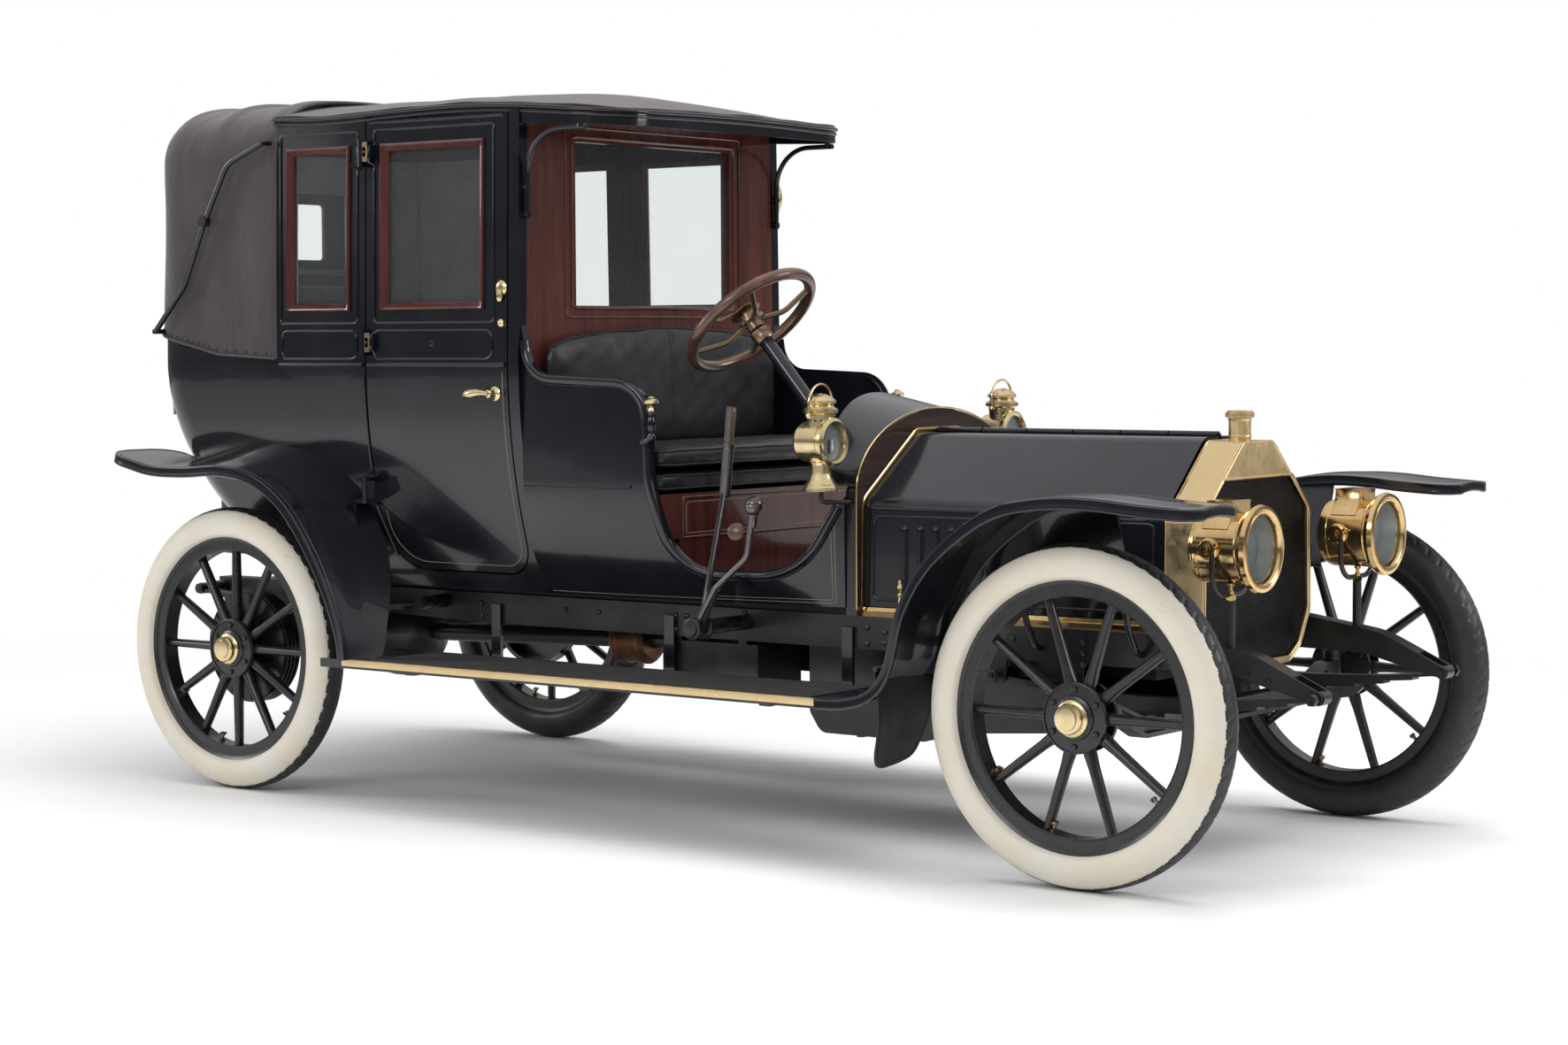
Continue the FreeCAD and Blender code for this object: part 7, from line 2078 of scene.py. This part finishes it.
def doorFittings(side, out, sizes):
    # lever handle on a round rose, the lock with its drop cover, the catch, the keyhole
    # and two bronze hinge leaves
    tree = nodeTree("door_" + side)

    def onDoor(x, z):
        places = laid(tree, [(x + d + frontAxle, out * 1.2, z) for d in (-0.003, 0, 0.003)], (0, -out, 0))[0]
        return places[1], np.array((0, out * 1.0, 0))

    foot, away = onDoor(*sizes["handle"])
    rose = [(0, 0), (0.021, 0), (0.021, 0.003), (0.013, 0.007), (0.009, 0.014), (0.009, 0.03), (0.012, 0.034),
            (0, 0.04)]
    grip = [foot + away * 0.033 + (dx, 0, dz) for dx,
            dz in ((0.004, 0), (-0.018, 0.002), (-0.04, 0.003), (-0.062, 0.0), (-0.086, -0.004),
                                                          (-0.1, -0.006))]
    shapes = [turned(rose, foot, away, 36), tube(grip, (0.009, 0.0085, 0.012, 0.0155, 0.0125, 0.004), 16)]
    addPiece("door_handle_" + side, shapes, paleBrass, "door_" + side, 50)
    foot, away = onDoor(*sizes["lock"])
    lock = [turned([(0, 0), (0.021, 0), (0.022, 0.004), (0.017, 0.008), (0.01, 0.009), (0.009, 0.012),
                    (0, 0.013)], foot, away, 36)]
    drop = np.array([(-0.009, 0), (0.009, 0), (0.011, -0.022), (0.006, -0.034), (-0.006, -0.034),
                     (-0.011, -0.022)])
    lock.append(plate(drop * (-out, 1), foot + away * 0.009 + (0, 0, -0.006), (-out * 1.0, 0, 0), (0, 0, 1),
                      0.004, 0.001))
    foot, away = onDoor(*sizes["catch"])
    lock.append(turned([(0, 0), (0.011, 0), (0.012, 0.006), (0.007, 0.011), (0, 0.012)], foot, away, 24))
    foot, away = onDoor(*sizes["keyhole"])
    escutcheon = [turned([(0, 0), (0.0085, 0), (0.0085, 0.002), (0.006, 0.003), (0.0055, 0.0015),
                          (0, 0.0015)], foot, away, 24)]
    addPiece("door_lock_" + side, lock, paleBrass, "door_" + side, 50)
    addPiece("door_escutcheon_" + side, escutcheon, coachBlack, "door_" + side, 50)
    leaves = []
    for x, z in sizes["hinges"]:
        foot, away = onDoor(x, z)
        leaf = np.array([(-0.0125, -0.03), (0.0125, -0.03), (0.0125, 0.03), (-0.0125, 0.03)])
        leaves.append(plate(leaf, foot - away * 0.001, (out * -1.0, 0, 0), (0, 0, 1), 0.004, 0.001))
        leaves.append(studs([foot + away * 0.003 + (0, 0, d) for d in (-0.02, 0, 0.02)], away,
                            [(0, 0), (0.0032, 0), (0.0026, 0.0012), (0, 0.0015)]))
    addPiece("door_hinge_leaves_" + side, leaves, bronze, "door_" + side, 40)


partitionSizes = {
    # half width, foot, top, then the moulding's width and depth
    "mouldings": ((0.392, 1.491, 1.998, 0.012, 0.007), (0.42, 1.463, 2.026, 0.008, 0.005)),
}


def partitionTrim(sizes):
    # stepped moulding round the partition's window
    tree = nodeTree("partition")
    shapes = []
    for half, low, high, wide, deep in sizes["mouldings"]:
        line = [(-half, low, 0.004), (half, low, 0.004), (half, high, 0.004), (-half, high, 0.004)]
        shapes.append(onFront(tree, rounded(line, True), -1.75, bead(wide, deep), 0.02, True))
    addPiece("partition_moulding", shapes, mahogany, "chassis", 40)


def cabinLining():
    # grey cloth on the rear quarters and above and below the rear window
    shapes = []
    for out in (-1, 1):
        x = np.linspace(-2.96, -3.5, 20)
        z = np.linspace(1.16, 2.02, 12)
        grid = np.stack([np.broadcast_to(x[:, None] + frontAxle, (20, 12)),
                         np.broadcast_to(out * 0.575 - out * 0.02 * (z - 1.2), (20, 12)),
                         np.broadcast_to(z, (20, 12))], -1)
        shapes.append(capped(np.concatenate([grid, grid[:, ::-1] - (0, out * 0.006, 0)], 1)))
        y = np.linspace(0.575, 0.215, 10)
        grid = np.stack([np.full((10, 12), -3.53 + frontAxle), np.broadcast_to(out * y[:, None], (10, 12)),
                         np.broadcast_to(z, (10, 12))], -1)
        shapes.append(capped(np.concatenate([grid, grid[:, ::-1] + (0.006, 0, 0)], 1)))
    for low, high in ((1.62, 1.64), (1.895, 2.02)):
        grid = np.stack([np.full((8, 4), -3.53 + frontAxle),
                         np.broadcast_to(np.linspace(-0.215, 0.215, 8)[:, None], (8, 4)),
                         np.broadcast_to(np.linspace(low, high, 4), (8, 4))], -1)
        shapes.append(capped(np.concatenate([grid, grid[:, ::-1] + (0.006, 0, 0)], 1)))
    addPiece("cabin_lining", shapes, liningCloth, "chassis", 40)


railSizes = {
    "rivets": ((0.23, 0.545), (0.285, 0.53), (0.345, 0.52), (0.03, 0.575), (0.03, 0.545), (-0.2, 0.59),
               (-0.2, 0.56), (-0.2, 0.53), (-0.42, 0.585), (-0.42, 0.545), (-0.56, 0.59), (-0.56, 0.545),
               (-0.785, 0.59), (-0.785, 0.545), (-0.84, 0.58), (-0.84, 0.55), (-0.9, 0.59), (-0.9, 0.545),
               (-1.33, 0.61), (-1.545, 0.59), (-1.585, 0.59), (-1.545, 0.55), (-1.585, 0.55), (-1.88, 0.585),
               (-2.01, 0.585), (-2.35, 0.59), (-2.35, 0.55), (-2.62, 0.57)),
    "eyes": ((0.481, 0.483, 0.418), (-0.47, 0.486, 0.418)),
}


def chassisHardware(side, out, sizes):
    # rivet heads along the rail, found by rays, and nuts on the spring eyes
    tree = nodeTree("chassis_frame")
    rows = []
    for x, z in sizes["rivets"]:
        hit = tree.ray_cast(Vector(at(x, out * 1.2, z)), Vector((0, -out, 0)))[0]
        if hit and abs(hit.y) > 0.35:
            rows.append(np.array(hit))
    shapes = [studs(rows, (0, out, 0),
                    [(0, -0.001), (0.0085, 0), (0.0075, 0.004), (0.004, 0.0062), (0, 0.0068)], 10)]
    nuts = [(0, 0), (0.017, 0), (0.017, 0.01), (0.013, 0.012), (0.009, 0.012), (0.009, 0.018), (0, 0.019)]
    for x, z, y in sizes["eyes"]:
        shapes.append(turned(nuts, at(x, out * (y - 0.002), z), (0, out, 0), 6))
    addPiece("rail_hardware_" + side, shapes, ironBlack, "chassis", 40)


leverDress()
steeringDress(steeringSizes)
partitionTrim(partitionSizes)
cabinLining()
for side, out in sides:
    doorFittings(side, out, fittingSizes)
    chassisHardware(side, out, railSizes)
print("fittings ready")
